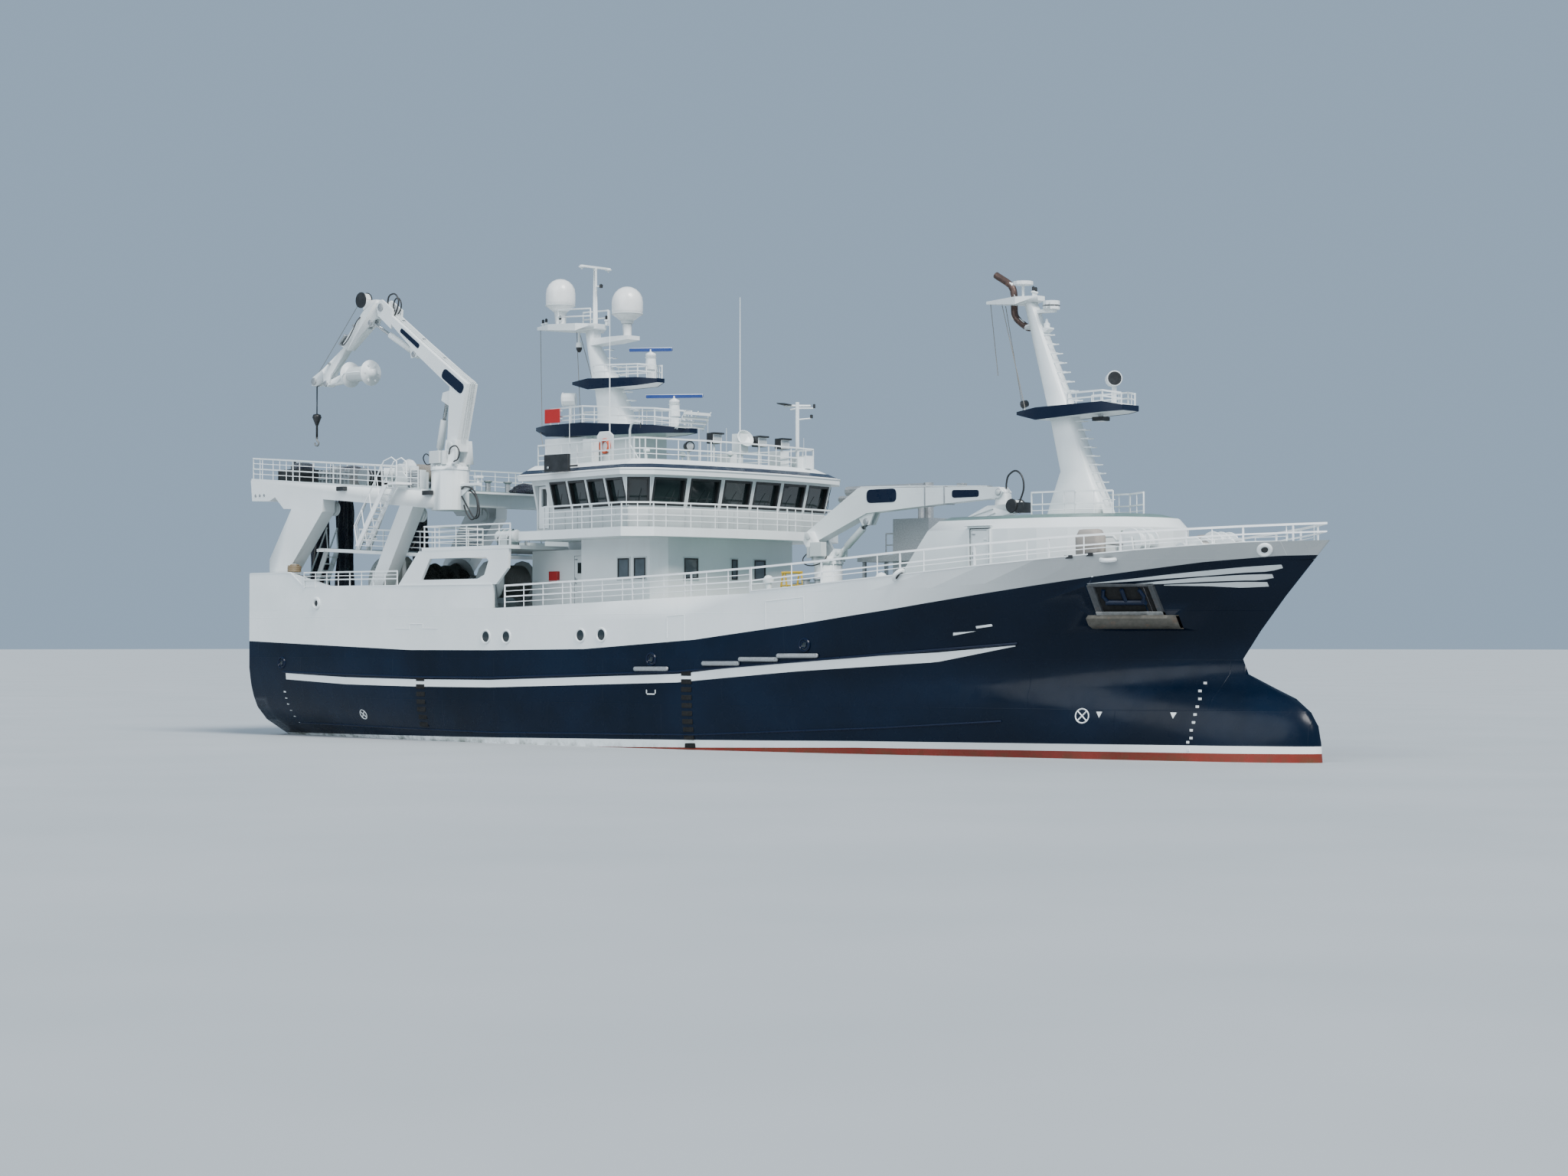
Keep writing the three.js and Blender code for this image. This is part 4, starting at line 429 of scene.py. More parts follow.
def setOrLink(tree, socket, value):
    if isinstance(value, (int, float)):
        socket.default_value = value
    else:
        tree.links.new(value, socket)


def calc(tree, kind, a, b):
    step = tree.nodes.new("ShaderNodeMath")
    step.operation = kind
    setOrLink(tree, step.inputs[0], a)
    setOrLink(tree, step.inputs[1], b)
    return step.outputs[0]


def band(tree, value, low, high, first=0.0, last=1.0):
    fit = tree.nodes.new("ShaderNodeMapRange")
    fit.clamp = True
    tree.links.new(value, fit.inputs["Value"])
    for label, number in (("From Min", low), ("From Max", high), ("To Min", first), ("To Max", last)):
        fit.inputs[label].default_value = number
    return fit.outputs["Result"]


def blendColour(tree, share, first, second):
    mix = tree.nodes.new("ShaderNodeMix")
    mix.data_type = "RGBA"
    setOrLink(tree, mix.inputs[0], share)
    for socket, colour in ((mix.inputs[6], first), (mix.inputs[7], second)):
        if isinstance(colour, tuple):
            socket.default_value = (*colour, 1)
        else:
            tree.links.new(colour, socket)
    return mix.outputs[2]


def addBump(tree, shader, height, strength, distance=0.01):
    bump = tree.nodes.new("ShaderNodeBump")
    bump.inputs["Strength"].default_value = strength
    bump.inputs["Distance"].default_value = distance
    tree.links.new(height, bump.inputs["Height"])
    before = shader.inputs["Normal"]
    if before.is_linked:
        tree.links.new(before.links[0].from_socket, bump.inputs["Normal"])
    tree.links.new(bump.outputs["Normal"], before)


def seamsOf(tree, place, width, height, thick):
    # weld lines of plates on faces that look to the side
    bricks = tree.nodes.new("ShaderNodeTexBrick")
    bricks.offset = 0.5
    for label, number in (("Scale", 1.0), ("Mortar Size", thick), ("Mortar Smooth", 0.6),
                          ("Brick Width", width),
                          ("Row Height", height)):
        bricks.inputs[label].default_value = number
    tree.links.new(stretched(tree, place, (1, 1, 1), (math.pi / 2, 0, 0)), bricks.inputs["Vector"])
    return bricks.outputs["Fac"]


def scaled(colour, amount):
    return tuple(min(1.0, c * amount) for c in colour)


def normalTilt(tree, kind):
    # the upward part of a face's normal
    facing = tree.nodes.new("ShaderNodeNewGeometry")
    split = tree.nodes.new("ShaderNodeSeparateXYZ")
    tree.links.new(facing.outputs[kind], split.inputs["Vector"])
    return split.outputs["Z"]


def upward(tree, threshold=0.93):
    # one where a face looks up
    return calc(tree, "GREATER_THAN", normalTilt(tree, "True Normal"), threshold)


def setColour(tree, shader, colour):
    tree.links.new(colour, shader.inputs["Base Color"])


def setRoughness(tree, shader, place, scale, low, high):
    # roughness that drifts between two values
    drift = band(tree, noiseOf(tree, place, scale, 3), 0.3, 0.7, low, high)
    tree.links.new(drift, shader.inputs["Roughness"])


def weatherRuns(tree, place, amount):
    fine = noiseOf(tree, stretched(tree, place, (6, 6, 0.45)), 1.3, 4)
    wide = noiseOf(tree, place, 0.5, 2)
    return calc(tree, "MULTIPLY", band(tree, fine, 0.55, 0.8), band(tree, wide, 0.42, 0.68, 0, amount))


def deckCoating(tree, place, colour, brightest):
    worn = band(tree, noiseOf(tree, place, 3, 5, 0.7), 0.3, 0.75)
    return blendColour(tree, worn, scaled(colour, 0.8), scaled(colour, brightest))


def paintFinish(name, colour, roughness=0.36, runs=0.15, runColour=(0.42, 0.36, 0.28), seams=None, deck=None,
                coat=0.0, gloss=0.5):
    # paint with runs and specks of dirt; deck is the coating's colour on faces that look up
    material, tree, shader, place = newMaterial(name)
    tone = band(tree, noiseOf(tree, place, 0.8, 4), 0.35, 0.65)
    base = blendColour(tree, tone, scaled(colour, 0.94), scaled(colour, 1.03))
    base = blendColour(tree, weatherRuns(tree, place, runs), base, runColour)
    speck = band(tree, noiseOf(tree, place, 11, 5, 0.7), 0.66, 0.76, 0, min(1.0, runs * 2))
    base = blendColour(tree, speck, base, scaled(runColour, 0.9))
    if deck:
        base = blendColour(tree, upward(tree), base, deckCoating(tree, place, deck, 1.25))
    setColour(tree, shader, base)
    setRoughness(tree, shader, place, 4, roughness - 0.06, roughness + 0.1)
    shader.inputs["Coat Weight"].default_value = coat
    shader.inputs["Specular IOR Level"].default_value = gloss
    addBump(tree, shader, noiseOf(tree, place, 70, 3), 0.08, 0.002)
    addBump(tree, shader, noiseOf(tree, place, 1.6, 2), 0.1, 0.02)
    if seams:
        addBump(tree, shader, seamsOf(tree, place, *seams), 0.25, 0.006)
    return material


def metalFinish(name, colour, roughness=0.4, metallic=0.85, rust=0.15, grain=40):
    material, tree, shader, place = newMaterial(name)
    spangle = noiseOf(tree, place, grain, 4)
    base = blendColour(tree, band(tree, spangle, 0.35, 0.65), scaled(colour, 0.8), scaled(colour, 1.1))
    patches = band(tree, noiseOf(tree, place, 5, 5, 0.7), 0.58, 0.72, 0, rust)
    base = blendColour(tree, patches, base, (0.23, 0.12, 0.07))
    setColour(tree, shader, base)
    shader.inputs["Metallic"].default_value = metallic
    setRoughness(tree, shader, place, 12, roughness - 0.1, roughness + 0.15)
    addBump(tree, shader, spangle, 0.12, 0.002)
    return material


def curveOf(tree, value, low, high, points, reach):
    # value runs from low to high; the points give heights, returned as shares of reach
    fit = band(tree, value, low, high)
    curve = tree.nodes.new("ShaderNodeFloatCurve")
    line = curve.mapping.curves[0]
    places = [((x - low) / (high - low), z / reach) for x, z in points]
    line.points[0].location = places[0]
    line.points[1].location = places[-1]
    for x, z in places[1:-1]:
        line.points.new(x, z)
    for point in line.points:
        point.handle_type = "VECTOR"
    curve.mapping.use_clip = False
    curve.mapping.update()
    tree.links.new(fit, curve.inputs["Value"])
    return calc(tree, "MULTIPLY", curve.outputs["Value"], reach)


# Materials. Object coordinates are the model's metres, half of the ship's

hullColours = {
    "navy": (0.0014, 0.0062, 0.0165), "white": (0.76, 0.80, 0.80), "antifouling": (0.20, 0.035, 0.025),
    # the near-black last on the next line is painted shade for faces under the bow flare
    "deck": (0.10, 0.17, 0.15), "weed": (0.045, 0.065, 0.03), "paintedFlareShade": (0.0, 0.004, 0.012),
    # the next colour is the bow streaks' white darkened to grey, as painted shade under the flare
    "streakWhiteShaded": (0.52, 0.56, 0.57),
}
hullLines = {
    "navyTop": [(-25.5, 4.04), (-14.4, 3.67), (-9.54, 3.67), (-4.16, 3.72), (1.75, 4.07), (6.8, 4.6),
                (10.96, 5.12),
                (14.67, 5.64), (17.98, 6.1), (21.95, 6.63), (24.0, 6.82), (25.5, 6.86)],
    "navyFoot": [(-25.5, 0.06), (-9.9, 0.22), (8.6, 0.46), (20.5, 0.53), (25.5, 0.54)],
    "bandFoot": [(-25.5, 0.0), (-4.0, 0.0), (2.0, 0.1), (8.6, 0.23), (25.5, 0.3)],
}


def hullFinish():
    # navy above the boot top, white above that, red below, a green deck and weed near the waterline; faces
    # that look down under the bow flare are darkened as painted shade
    material, tree, shader, place = newMaterial("hull paint")
    split = tree.nodes.new("ShaderNodeSeparateXYZ")
    tree.links.new(place, split.inputs["Vector"])
    x, z = split.outputs["X"], split.outputs["Z"]
    above = {}
    for label, points in hullLines.items():
        table = [(a * modelScale, b * modelScale) for a, b in points]
        above[label] = calc(tree, "GREATER_THAN", z, curveOf(tree, x, -12.75, 12.75, table, 4.0))
    tone = band(tree, noiseOf(tree, place, 0.5, 4), 0.35, 0.65)
    coats = {}
    for label, darkest, palest in (("navy", 0.8, 1.5), ("white", 0.95, 1.03), ("antifouling", 0.8, 1.2)):
        colour = hullColours[label]
        coats[label] = blendColour(tree, tone, scaled(colour, darkest), scaled(colour, palest))
    navy = blendColour(tree, weatherRuns(tree, place, 0.05), coats["navy"], (0.015, 0.028, 0.04))
    white = blendColour(tree, weatherRuns(tree, place, 0.10), coats["white"], (0.46, 0.42, 0.34))
    nearWater = band(tree, z, 0.16, 0.0)
    growth = calc(tree, "MULTIPLY", band(tree, noiseOf(tree, place, 3.5, 5, 0.7), 0.44, 0.62), nearWater)
    aft = band(tree, x, 3.0, -6.0, 0.1, 0.85)
    white = blendColour(tree, calc(tree, "MULTIPLY", growth, aft), white, hullColours["weed"])
    red = blendColour(tree, calc(tree, "MULTIPLY", growth, 0.5), coats["antifouling"], hullColours["weed"])
    base = blendColour(tree, above["bandFoot"], red, white)
    base = blendColour(tree, above["navyFoot"], base, navy)
    base = blendColour(tree, above["navyTop"], base, white)
    deckLevel = 2.55
    onDeck = calc(tree, "MULTIPLY", upward(tree, 0.9), calc(tree, "GREATER_THAN", z, deckLevel))
    base = blendColour(tree, onDeck, base, deckCoating(tree, place, hullColours["deck"], 1.3))
    # painted shade: downward-facing faces at the bow flare are blended towards near-black
    overhang = band(tree, normalTilt(tree, "Normal"), -0.04, -0.38)
    paintedFlareShade = calc(tree, "MULTIPLY", overhang, band(tree, x, 3.0, 8.5, 0, 0.5))
    setColour(tree, shader, blendColour(tree, paintedFlareShade, base, hullColours["paintedFlareShade"]))
    setRoughness(tree, shader, place, 3, 0.20, 0.34)
    shader.inputs["Specular IOR Level"].default_value = 0.15
    addBump(tree, shader, noiseOf(tree, place, 60, 3), 0.05, 0.002)
    addBump(tree, shader, noiseOf(tree, stretched(tree, place, (1.6, 1, 0.9)), 1.4, 2), 0.16, 0.03)
    addBump(tree, shader, seamsOf(tree, place, 3.1, 0.84, 0.009), 0.3, 0.006)
    return material


def glassFinish(name, colour, roughness=0.04, transmission=0.55):
    material, tree, shader, place = newMaterial(name)
    film = band(tree, noiseOf(tree, place, 3, 4), 0.3, 0.7)
    setColour(tree, shader, blendColour(tree, film, scaled(colour, 0.8), scaled(colour, 1.25)))
    setRoughness(tree, shader, place, 9, roughness, roughness + 0.05)
    shader.inputs["Transmission Weight"].default_value = transmission
    shader.inputs["Specular IOR Level"].default_value = 0.8
    return material


def netFinish(name, colour, second):
    material, tree, shader, place = newMaterial(name)
    strands = tree.nodes.new("ShaderNodeTexVoronoi")
    strands.feature = "DISTANCE_TO_EDGE"
    strands.inputs["Scale"].default_value = 26
    tree.links.new(stretched(tree, place, (1, 1, 0.6), (0.3, 0.2, 0.5)), strands.inputs["Vector"])
    cords = band(tree, strands.outputs["Distance"], 0.0, 0.12, 1, 0)
    mixed = blendColour(tree, band(tree, noiseOf(tree, place, 4, 4), 0.45, 0.6), colour, second)
    # the spaces between the cords are darkened to a third: painted shade inside the netting
    base = blendColour(tree, cords, scaled(colour, 0.35), mixed)
    setColour(tree, shader, base)
    shader.inputs["Roughness"].default_value = 0.9
    shader.inputs["Sheen Weight"].default_value = 0.3
    addBump(tree, shader, cords, 0.8, 0.01)
    addBump(tree, shader, noiseOf(tree, place, 9, 4), 0.6, 0.03)
    return material


def ropeFinish(name, colour, pitch=60):
    material, tree, shader, place = newMaterial(name)
    lay = tree.nodes.new("ShaderNodeTexWave")
    lay.bands_direction = "DIAGONAL"
    lay.inputs["Scale"].default_value = pitch
    lay.inputs["Distortion"].default_value = 1.5
    tree.links.new(place, lay.inputs["Vector"])
    fibre = noiseOf(tree, place, 45, 4)
    # the grooves of the lay are darkened to half the colour: painted shade between the strands
    base = blendColour(tree, lay.outputs["Fac"], scaled(colour, 0.5), blendColour(tree, fibre, colour,
                                                                                  scaled(colour, 1.3)))
    setColour(tree, shader, base)
    shader.inputs["Roughness"].default_value = 0.85
    addBump(tree, shader, lay.outputs["Fac"], 0.6, 0.004)
    return material


def rubberFinish(name, colour=(0.012, 0.013, 0.014), roughness=0.5):
    material, tree, shader, place = newMaterial(name)
    dust = band(tree, noiseOf(tree, place, 6, 4), 0.4, 0.75)
    setColour(tree, shader, blendColour(tree, dust, colour, scaled(colour, 2.6)))
    setRoughness(tree, shader, place, 20, roughness - 0.1, roughness + 0.1)
    addBump(tree, shader, noiseOf(tree, place, 80, 3), 0.15, 0.002)
    return material


shipWhite = (0.78, 0.82, 0.82)
deckGreen = (0.12, 0.19, 0.17)
looks = {
    "hull": hullFinish(),
    "white": paintFinish("white paint", shipWhite, 0.34, 0.12, seams=(1.6, 1.2, 0.006)),
    "whiteDeck": paintFinish("white paint with deck coating", shipWhite, 0.36, 0.12, deck=deckGreen),
    # the bow streaks' white darkened to grey: painted shade under the flare
    "streakWhiteShaded": paintFinish("streak white with painted shade", hullColours["streakWhiteShaded"], 0.36, 0.1),
    # rails get a brighter copy of the white paint: a painted highlight, as if they catch more light
    "railWhiteHighlit": paintFinish("rail white with painted highlight", (0.93, 0.95, 0.95), 0.3, 0.06),
    "navy": paintFinish("navy paint", (0.003, 0.009, 0.027), 0.3, 0.08, (0.02, 0.035, 0.05), gloss=0.22),
    "grey": paintFinish("grey paint", (0.32, 0.34, 0.35), 0.45, 0.3, (0.25, 0.16, 0.1)),
    "dome": paintFinish("dome gelcoat", (0.80, 0.81, 0.80), 0.26, 0.05, coat=0.3),
    "black": rubberFinish("black paint", (0.010, 0.011, 0.012), 0.42),
    # near-black for recesses in the hull side: painted shade standing in for the dark inside them
    "recessShade": rubberFinish("unlit recess", (0.0012, 0.0014, 0.0016), 0.9),
    "rubber": rubberFinish("black rubber"),
    "steel": metalFinish("polished rod steel", (0.62, 0.63, 0.64), 0.2, 1.0, 0.02),
    "wire": metalFinish("steel wire", (0.26, 0.26, 0.25), 0.45, 0.6, 0.3, 90),
    "galvanised": metalFinish("galvanised steel", (0.42, 0.44, 0.45), 0.42, 0.75, 0.12),
    "wornSteel": metalFinish("worn anchor steel", (0.085, 0.08, 0.066), 0.6, 0.3, 0.4, 14),
    "frameSteel": metalFinish("anchor pocket frame", (0.05, 0.055, 0.06), 0.5, 0.2, 0.3, 14),
    "dullGrey": metalFinish("weathered light steel", (0.20, 0.205, 0.20), 0.55, 0.3, 0.2, 20),
    "exhaust": metalFinish("burnt exhaust steel", (0.10, 0.065, 0.055), 0.5, 0.7, 0.6, 10),
    "bronze": metalFinish("propeller bronze", (0.50, 0.34, 0.14), 0.3, 1.0, 0.1, 8),
    "glass": glassFinish("window glass", (0.016, 0.026, 0.028), 0.04, 0.25),
    "houseGlass": glassFinish("curtained window glass", (0.085, 0.105, 0.115), 0.06, 0.1),
    "lens": glassFinish("lamp lens", (0.55, 0.6, 0.62), 0.08, 0.3),
    "net": netFinish("navy netting", (0.012, 0.02, 0.05), (0.02, 0.05, 0.06)),
    "greyNet": netFinish("grey netting", (0.15, 0.15, 0.14), (0.26, 0.25, 0.22)),
    "rope": ropeFinish("tan rope", (0.33, 0.25, 0.15)),
    "greyRope": ropeFinish("grey rope", (0.30, 0.28, 0.25), 80),
    "red": paintFinish("red paint", (0.45, 0.012, 0.012), 0.4, 0.1, (0.2, 0.05, 0.03)),
    "orange": paintFinish("lifebuoy orange", (0.65, 0.09, 0.03), 0.45, 0.1, (0.4, 0.2, 0.12)),
    "panel": paintFinish("light grey panels", (0.60, 0.64, 0.64), 0.42, 0.1),
    "radarBlue": paintFinish("radar blue", (0.012, 0.045, 0.20), 0.3, 0.05, (0.05, 0.08, 0.2)),
    "canvas": paintFinish("brown canvas", (0.34, 0.31, 0.28), 0.85, 0.3, (0.16, 0.13, 0.1)),
    "green": paintFinish("green machine paint", (0.01, 0.10, 0.05), 0.4, 0.1, (0.05, 0.05, 0.03)),
    "yellow": paintFinish("yellow paint", (0.60, 0.38, 0.02), 0.4, 0.2, (0.25, 0.12, 0.03)),
    "tarp": paintFinish("white tarpaulin", (0.62, 0.62, 0.60), 0.6, 0.4, (0.3, 0.28, 0.24)),
}
print("materials made")


# The CAD nodes: smooth copies where faces are round, better materials on the rest

smoothNodes = [
    ("hull", "hull_paint", 32, "hull"), ("hull", "navy_paint", 40, "rudder"), ("bronze", "bronze", 40,
                                                                               "propeller"),
    ("dome", "white_paint", 50, "radome_aft radome_fore"), ("whiteDeck", "white_paint", 20, "fore_casing"),
    ("black", "black_steel", 50, "aft_crane_hook"), ("panel", "grey_paint", 40,
                                                     "trawl_drum_port trawl_drum_starboard"),
    ("steel", "rod_steel", 40, "aft_crane_luff_rod aft_crane_jib_rod fore_crane_luff_rod"),
    ("white", "white_paint", 35,
     "gantry_starboard aft_crane_column aft_crane_net_block fore_crane_column aft_crane_jib "
                                 "fore_crane_jib"),
    ("white", "white_paint", 40,
     "aft_crane_luff_barrel aft_crane_jib_barrel fore_crane_luff_barrel windlass"),
    ("white", "white_paint", 30, "main_mast fore_mast"), ("white", "grey_paint", 40, "net_drum_top"),
    ("white", "navy_paint", 40, "radar_low radar_high"),
]
plainNodes = {
    "white": "bulwark_aft deckhouse deckhouse_door_starboard deckhouse_door_port wheelhouse_door_starboard "
             "wheelhouse_door_port side_screen_starboard side_screen_port funnel_casing mast_platform_low "
             "mast_platform_mid gantry_port stair_low stair_high net_drum_frame aft_crane_boom "
             "fore_crane_boom fore_casing_door fore_mast_platform",
    "whiteDeck": "bridge_deck wheelhouse_roof boat_deck gantry_deck gantry_mid_deck",
    "hull": "bulwark_bow", "railWhiteHighlit": "deck_rail", "panel": "wheelhouse_walls trawl_winch_frame",
    "glass": "wheelhouse_glass", "grey": "helm_console", "galvanised": "fish_separator",
}
for look, slot, angle, nodes in smoothNodes:
    for node in nodes.split():
        smoothCopy(node, look, angle)
for look, nodes in plainNodes.items():
    for node in nodes.split():
        cad[node].data.materials.clear()
        cad[node].data.materials.append(looks[look])
print("CAD nodes dressed")


# Hull: stripe, rails, streaks at the bow, ports and marks

hullTrim = {
    "stripeTop": [(-22.8, 2.67), (-18.6, 2.53), (-14, 2.48), (-9.54, 2.49), (0.9, 2.80), (6.65, 3.31),
                  (9.6, 3.46),
                  (12.35, 3.61), (13.65, 3.72), (15.2, 3.86)],
    "stripeFoot": [(-22.8, 2.41), (-18.6, 2.24), (-14, 2.19), (-9.54, 2.20), (0.9, 2.49), (6.6, 2.93),
                   (9.6, 3.11),
                   (12.3, 3.28), (13.63, 3.53), (15.2, 3.83)],
    "upperRail": [(-23.0, 2.72), (-14, 2.57), (-9.54, 2.58), (0.9, 2.89), (9.3, 3.47), (15.3, 3.93)],
    "lowRail": [(-23.0, 0.55), (-9.5, 0.42), (1.6, 0.56), (9.8, 0.95), (14.5, 1.25)],
    "streaks": [
        ([(18.24, 5.94), (19.62, 6.08), (20.76, 6.22), (21.85, 6.34), (22.89, 6.45), (23.64, 6.51),
          (23.95, 6.53)],
         [(18.24, 5.92), (19.59, 6.0), (20.72, 6.09), (21.79, 6.17), (22.83, 6.27), (23.58, 6.31),
          (23.95, 6.42)]),
        ([(19.5, 5.90), (20.69, 6.03), (21.77, 6.13), (22.81, 6.2), (23.3, 6.22), (23.6, 6.22)],
         [(19.5, 5.88), (20.65, 5.92), (21.72, 5.98), (22.74, 6.02), (23.23, 6.02), (23.6, 6.1)]),
        ([(20.53, 5.88), (21.7, 5.93), (22.72, 5.97), (23.38, 5.96)],
         [(20.53, 5.86), (21.67, 5.84), (22.66, 5.78), (23.38, 5.82)])],
    "guards": [(-1.28, 0.38, 2.98, 2.99), (2.29, 4.0, 3.2, 3.21), (4.12, 5.84, 3.36, 3.36),
               (5.95, 7.62, 3.49, 3.5)],
    "whitePorts": [(-9.78, 4.2), (-8.58, 4.2), (-4.34, 4.24), (-3.18, 4.26)],
    "navyPorts": [(-23.07, 3.11), (-0.49, 3.34), (7.1, 3.88)],
    "fairleads": [(11.48, 6.3, 0.22), (19.15, 6.72, 0.24), (23.7, 7.02, 0.19), (-20.57, 5.62, 0.2)],
    "scuppers": [(17.9, 6.83), (18.6, 6.9)],
    "stepColumns": [(1.35, 0.16, 2.82, 10), (-13.76, 0.66, 2.5, 7)],
    "thrusters": [(17.44, 1.47, 0.24), (-17.81, 1.0, 0.21)],
    "bowMarks": [(21.17, 2.56), (21.32, 2.04), (21.32, 1.52), (21.26, 1.0), (21.15, 0.6)],
    "markPitch": 0.26,
    "sternMarks": (-23.05, 0.55, 1.85),
    "bulbMarks": [(18.05, 1.52), (20.6, 1.52)],
    "wedges": [[(13.15, 4.2), (14.0, 4.35), (13.18, 4.3)], [(14.05, 4.44), (14.63, 4.52), (14.62, 4.59),
                                                            (14.05, 4.52)]],
    "bracket": [((-0.75, 2.02), (-0.25, 2.06)), ((-0.75, 2.02), (-0.71, 2.2)),
                ((-0.29, 2.02), (-0.25, 2.2))],
}


def makeHullTrim():
    trim = hullTrim
    proud = 0.012
    shape = bmesh.new()
    addHullStrip(shape, steps(-22.8, 15.2, 0.35), lambda x: along(trim["stripeFoot"], x),
                 lambda x: along(trim["stripeTop"], x), proud)
    finishPiece(shape, "hull_stripes", "white", bothSides=True)
    shape = bmesh.new()
    for top, foot in trim["streaks"]:
        xs = steps(top[0][0], top[-1][0], 0.25)
        addHullStrip(shape, xs, lambda x: along(foot, x), lambda x: along(top, x), proud)
    finishPiece(shape, "bow_streaks", "streakWhiteShaded", bothSides=True)

    shape = bmesh.new()
    addHullRail(shape, steps(-23.0, 15.3, 0.35), trim["upperRail"], 0.045)
    addHullRail(shape, steps(-23.0, 14.5, 0.35), trim["lowRail"], 0.035)
    finishPiece(shape, "rub_rails", "navy", bothSides=True)

    shape = bmesh.new()
    for first, last, low, high in trim["guards"]:
        path = [(x, hullSide(x, low) - 0.06, lerp(low, high, (x - first) / (last - first)))
                for x in steps(first, last, 0.3)]
        addTube(shape, path, 0.085, 10)
        for end in (path[0], path[-1]):
            addTurned(shape, [(0.085, -0.01), (0.07, 0.04), (0, 0.06)], end, (0, -1, 0), 10)
    finishPiece(shape, "side_guards", "galvanised", bothSides=True)

    whiteRims, navyRims, panes = newShapes(3)
    for x, z in trim["whitePorts"]:
        addRing(whiteRims, hullPoint(x, z, 0.01), (0, -1, 0), 0.25, 0.045, 24, 6)
        addTurned(panes, [(0.23, 0.03), (0.22, -0.012), (0, -0.02)], hullPoint(x, z), (0, 1, 0), 24)
    for x, z in trim["navyPorts"]:
        addRing(navyRims, hullPoint(x, z, 0.01), (0, -1, 0), 0.22, 0.05, 20, 6)
        addRing(navyRims, hullPoint(x, z, 0.02), (0, -1, 0), 0.12, 0.03, 16, 6)
        addTurned(panes, [(0.20, 0.03), (0.19, -0.012), (0, -0.02)], hullPoint(x, z), (0, 1, 0), 20)
    finishPiece(whiteRims, "port_rims", "white", bothSides=True)
    finishPiece(navyRims, "navy_port_rims", "navy", bothSides=True)
    finishPiece(panes, "port_panes", "glass", bothSides=True)

    rings, holes = newShapes(2)
    for x, z, radius in trim["fairleads"]:
        out = hullOut(x, z)
        at = hullPoint(x, z)
        addRing(rings, at + out * 0.01, out, radius, 0.075, 22, 8)
        # each fairlead opening is filled with a black disc: painted shade of the hole
        addTurned(holes, [(radius * 0.9, -0.03), (radius * 0.88, 0.02), (0, 0.008)], at, out, 20)
    finishPiece(rings, "fairlead_rings", "white", bothSides=True)
    # the scuppers are black blocks: painted shade of the openings
    for x, z in trim["scuppers"]:
        addHullBlock(holes, x, z, 0.16, -0.06, 0.06, 0.015, 0.03)
    finishPiece(holes, "fairlead_holes", "black", bothSides=True)

    # the boarding step recesses are near-black blocks: painted shade
    wells = bmesh.new()
    for x, low, high, count in trim["stepColumns"]:
        for z in steps(low, high, (high - low) / (count - 1)):
            addHullBlock(wells, x, z, 0.26, -0.09, 0.09, 0.03, 0.04)
    finishPiece(wells, "boarding_steps", "recessShade", bevel=0.02, bothSides=True)

    marks = bmesh.new()
    for x, z, radius in trim["thrusters"]:
        out = hullOut(x, z)
        at = hullPoint(x, z) + out * 0.006
        addRing(marks, at, out, radius, 0.022, 28, 4)
        across, rise = sideVectors(out)[1:]
        for turn in (math.pi / 4, -math.pi / 4):
            arm = (across * math.cos(turn) + rise * math.sin(turn)) * radius
            addRod(marks, at - arm, at + arm, 0.022, 4)
    for x, z in trim["bowMarks"]:
        for level in (z, z - trim["markPitch"]):
            addHullBlock(marks, x, level, 0.05, 0, 0.08, 0.02, 0.03)
    x, low, high = trim["sternMarks"]
    for z in steps(low, high, trim["markPitch"]):
        addHullBlock(marks, x, z, 0.07, 0, 0.09, 0.012, 0.03)
    for x, z in trim["bulbMarks"]:
        top = z + 0.1
        outline = [(x - 0.1, hullSide(x - 0.1, z), top), (x + 0.1, hullSide(x + 0.1, z), top),
                   (x, hullSide(x, z - 0.1), z - 0.1)]
        addLoft(marks, [[(a, y + off, b) for a, y, b in outline] for off in (-0.014, 0.04)])
    for wedge in trim["wedges"]:
        addHullMark(marks, wedge, 0.015, 0.05)
    y = hullSide(-0.5, 2.1)
    for (x0, z0), (x1, z1) in trim["bracket"]:
        addBox(marks, (x0, y - 0.012, z0), (x1, y + 0.03, z1))
    finishPiece(marks, "hull_marks", "white", bothSides=True)


makeHullTrim()
print("hull trim made")


# Anchors in their pockets at the bow

anchorSpec = {"pocket": (18.45, 20.1, 5.0, 5.82), "sill": (18.0, 20.6, 4.42, 4.88), "frame": 0.14}


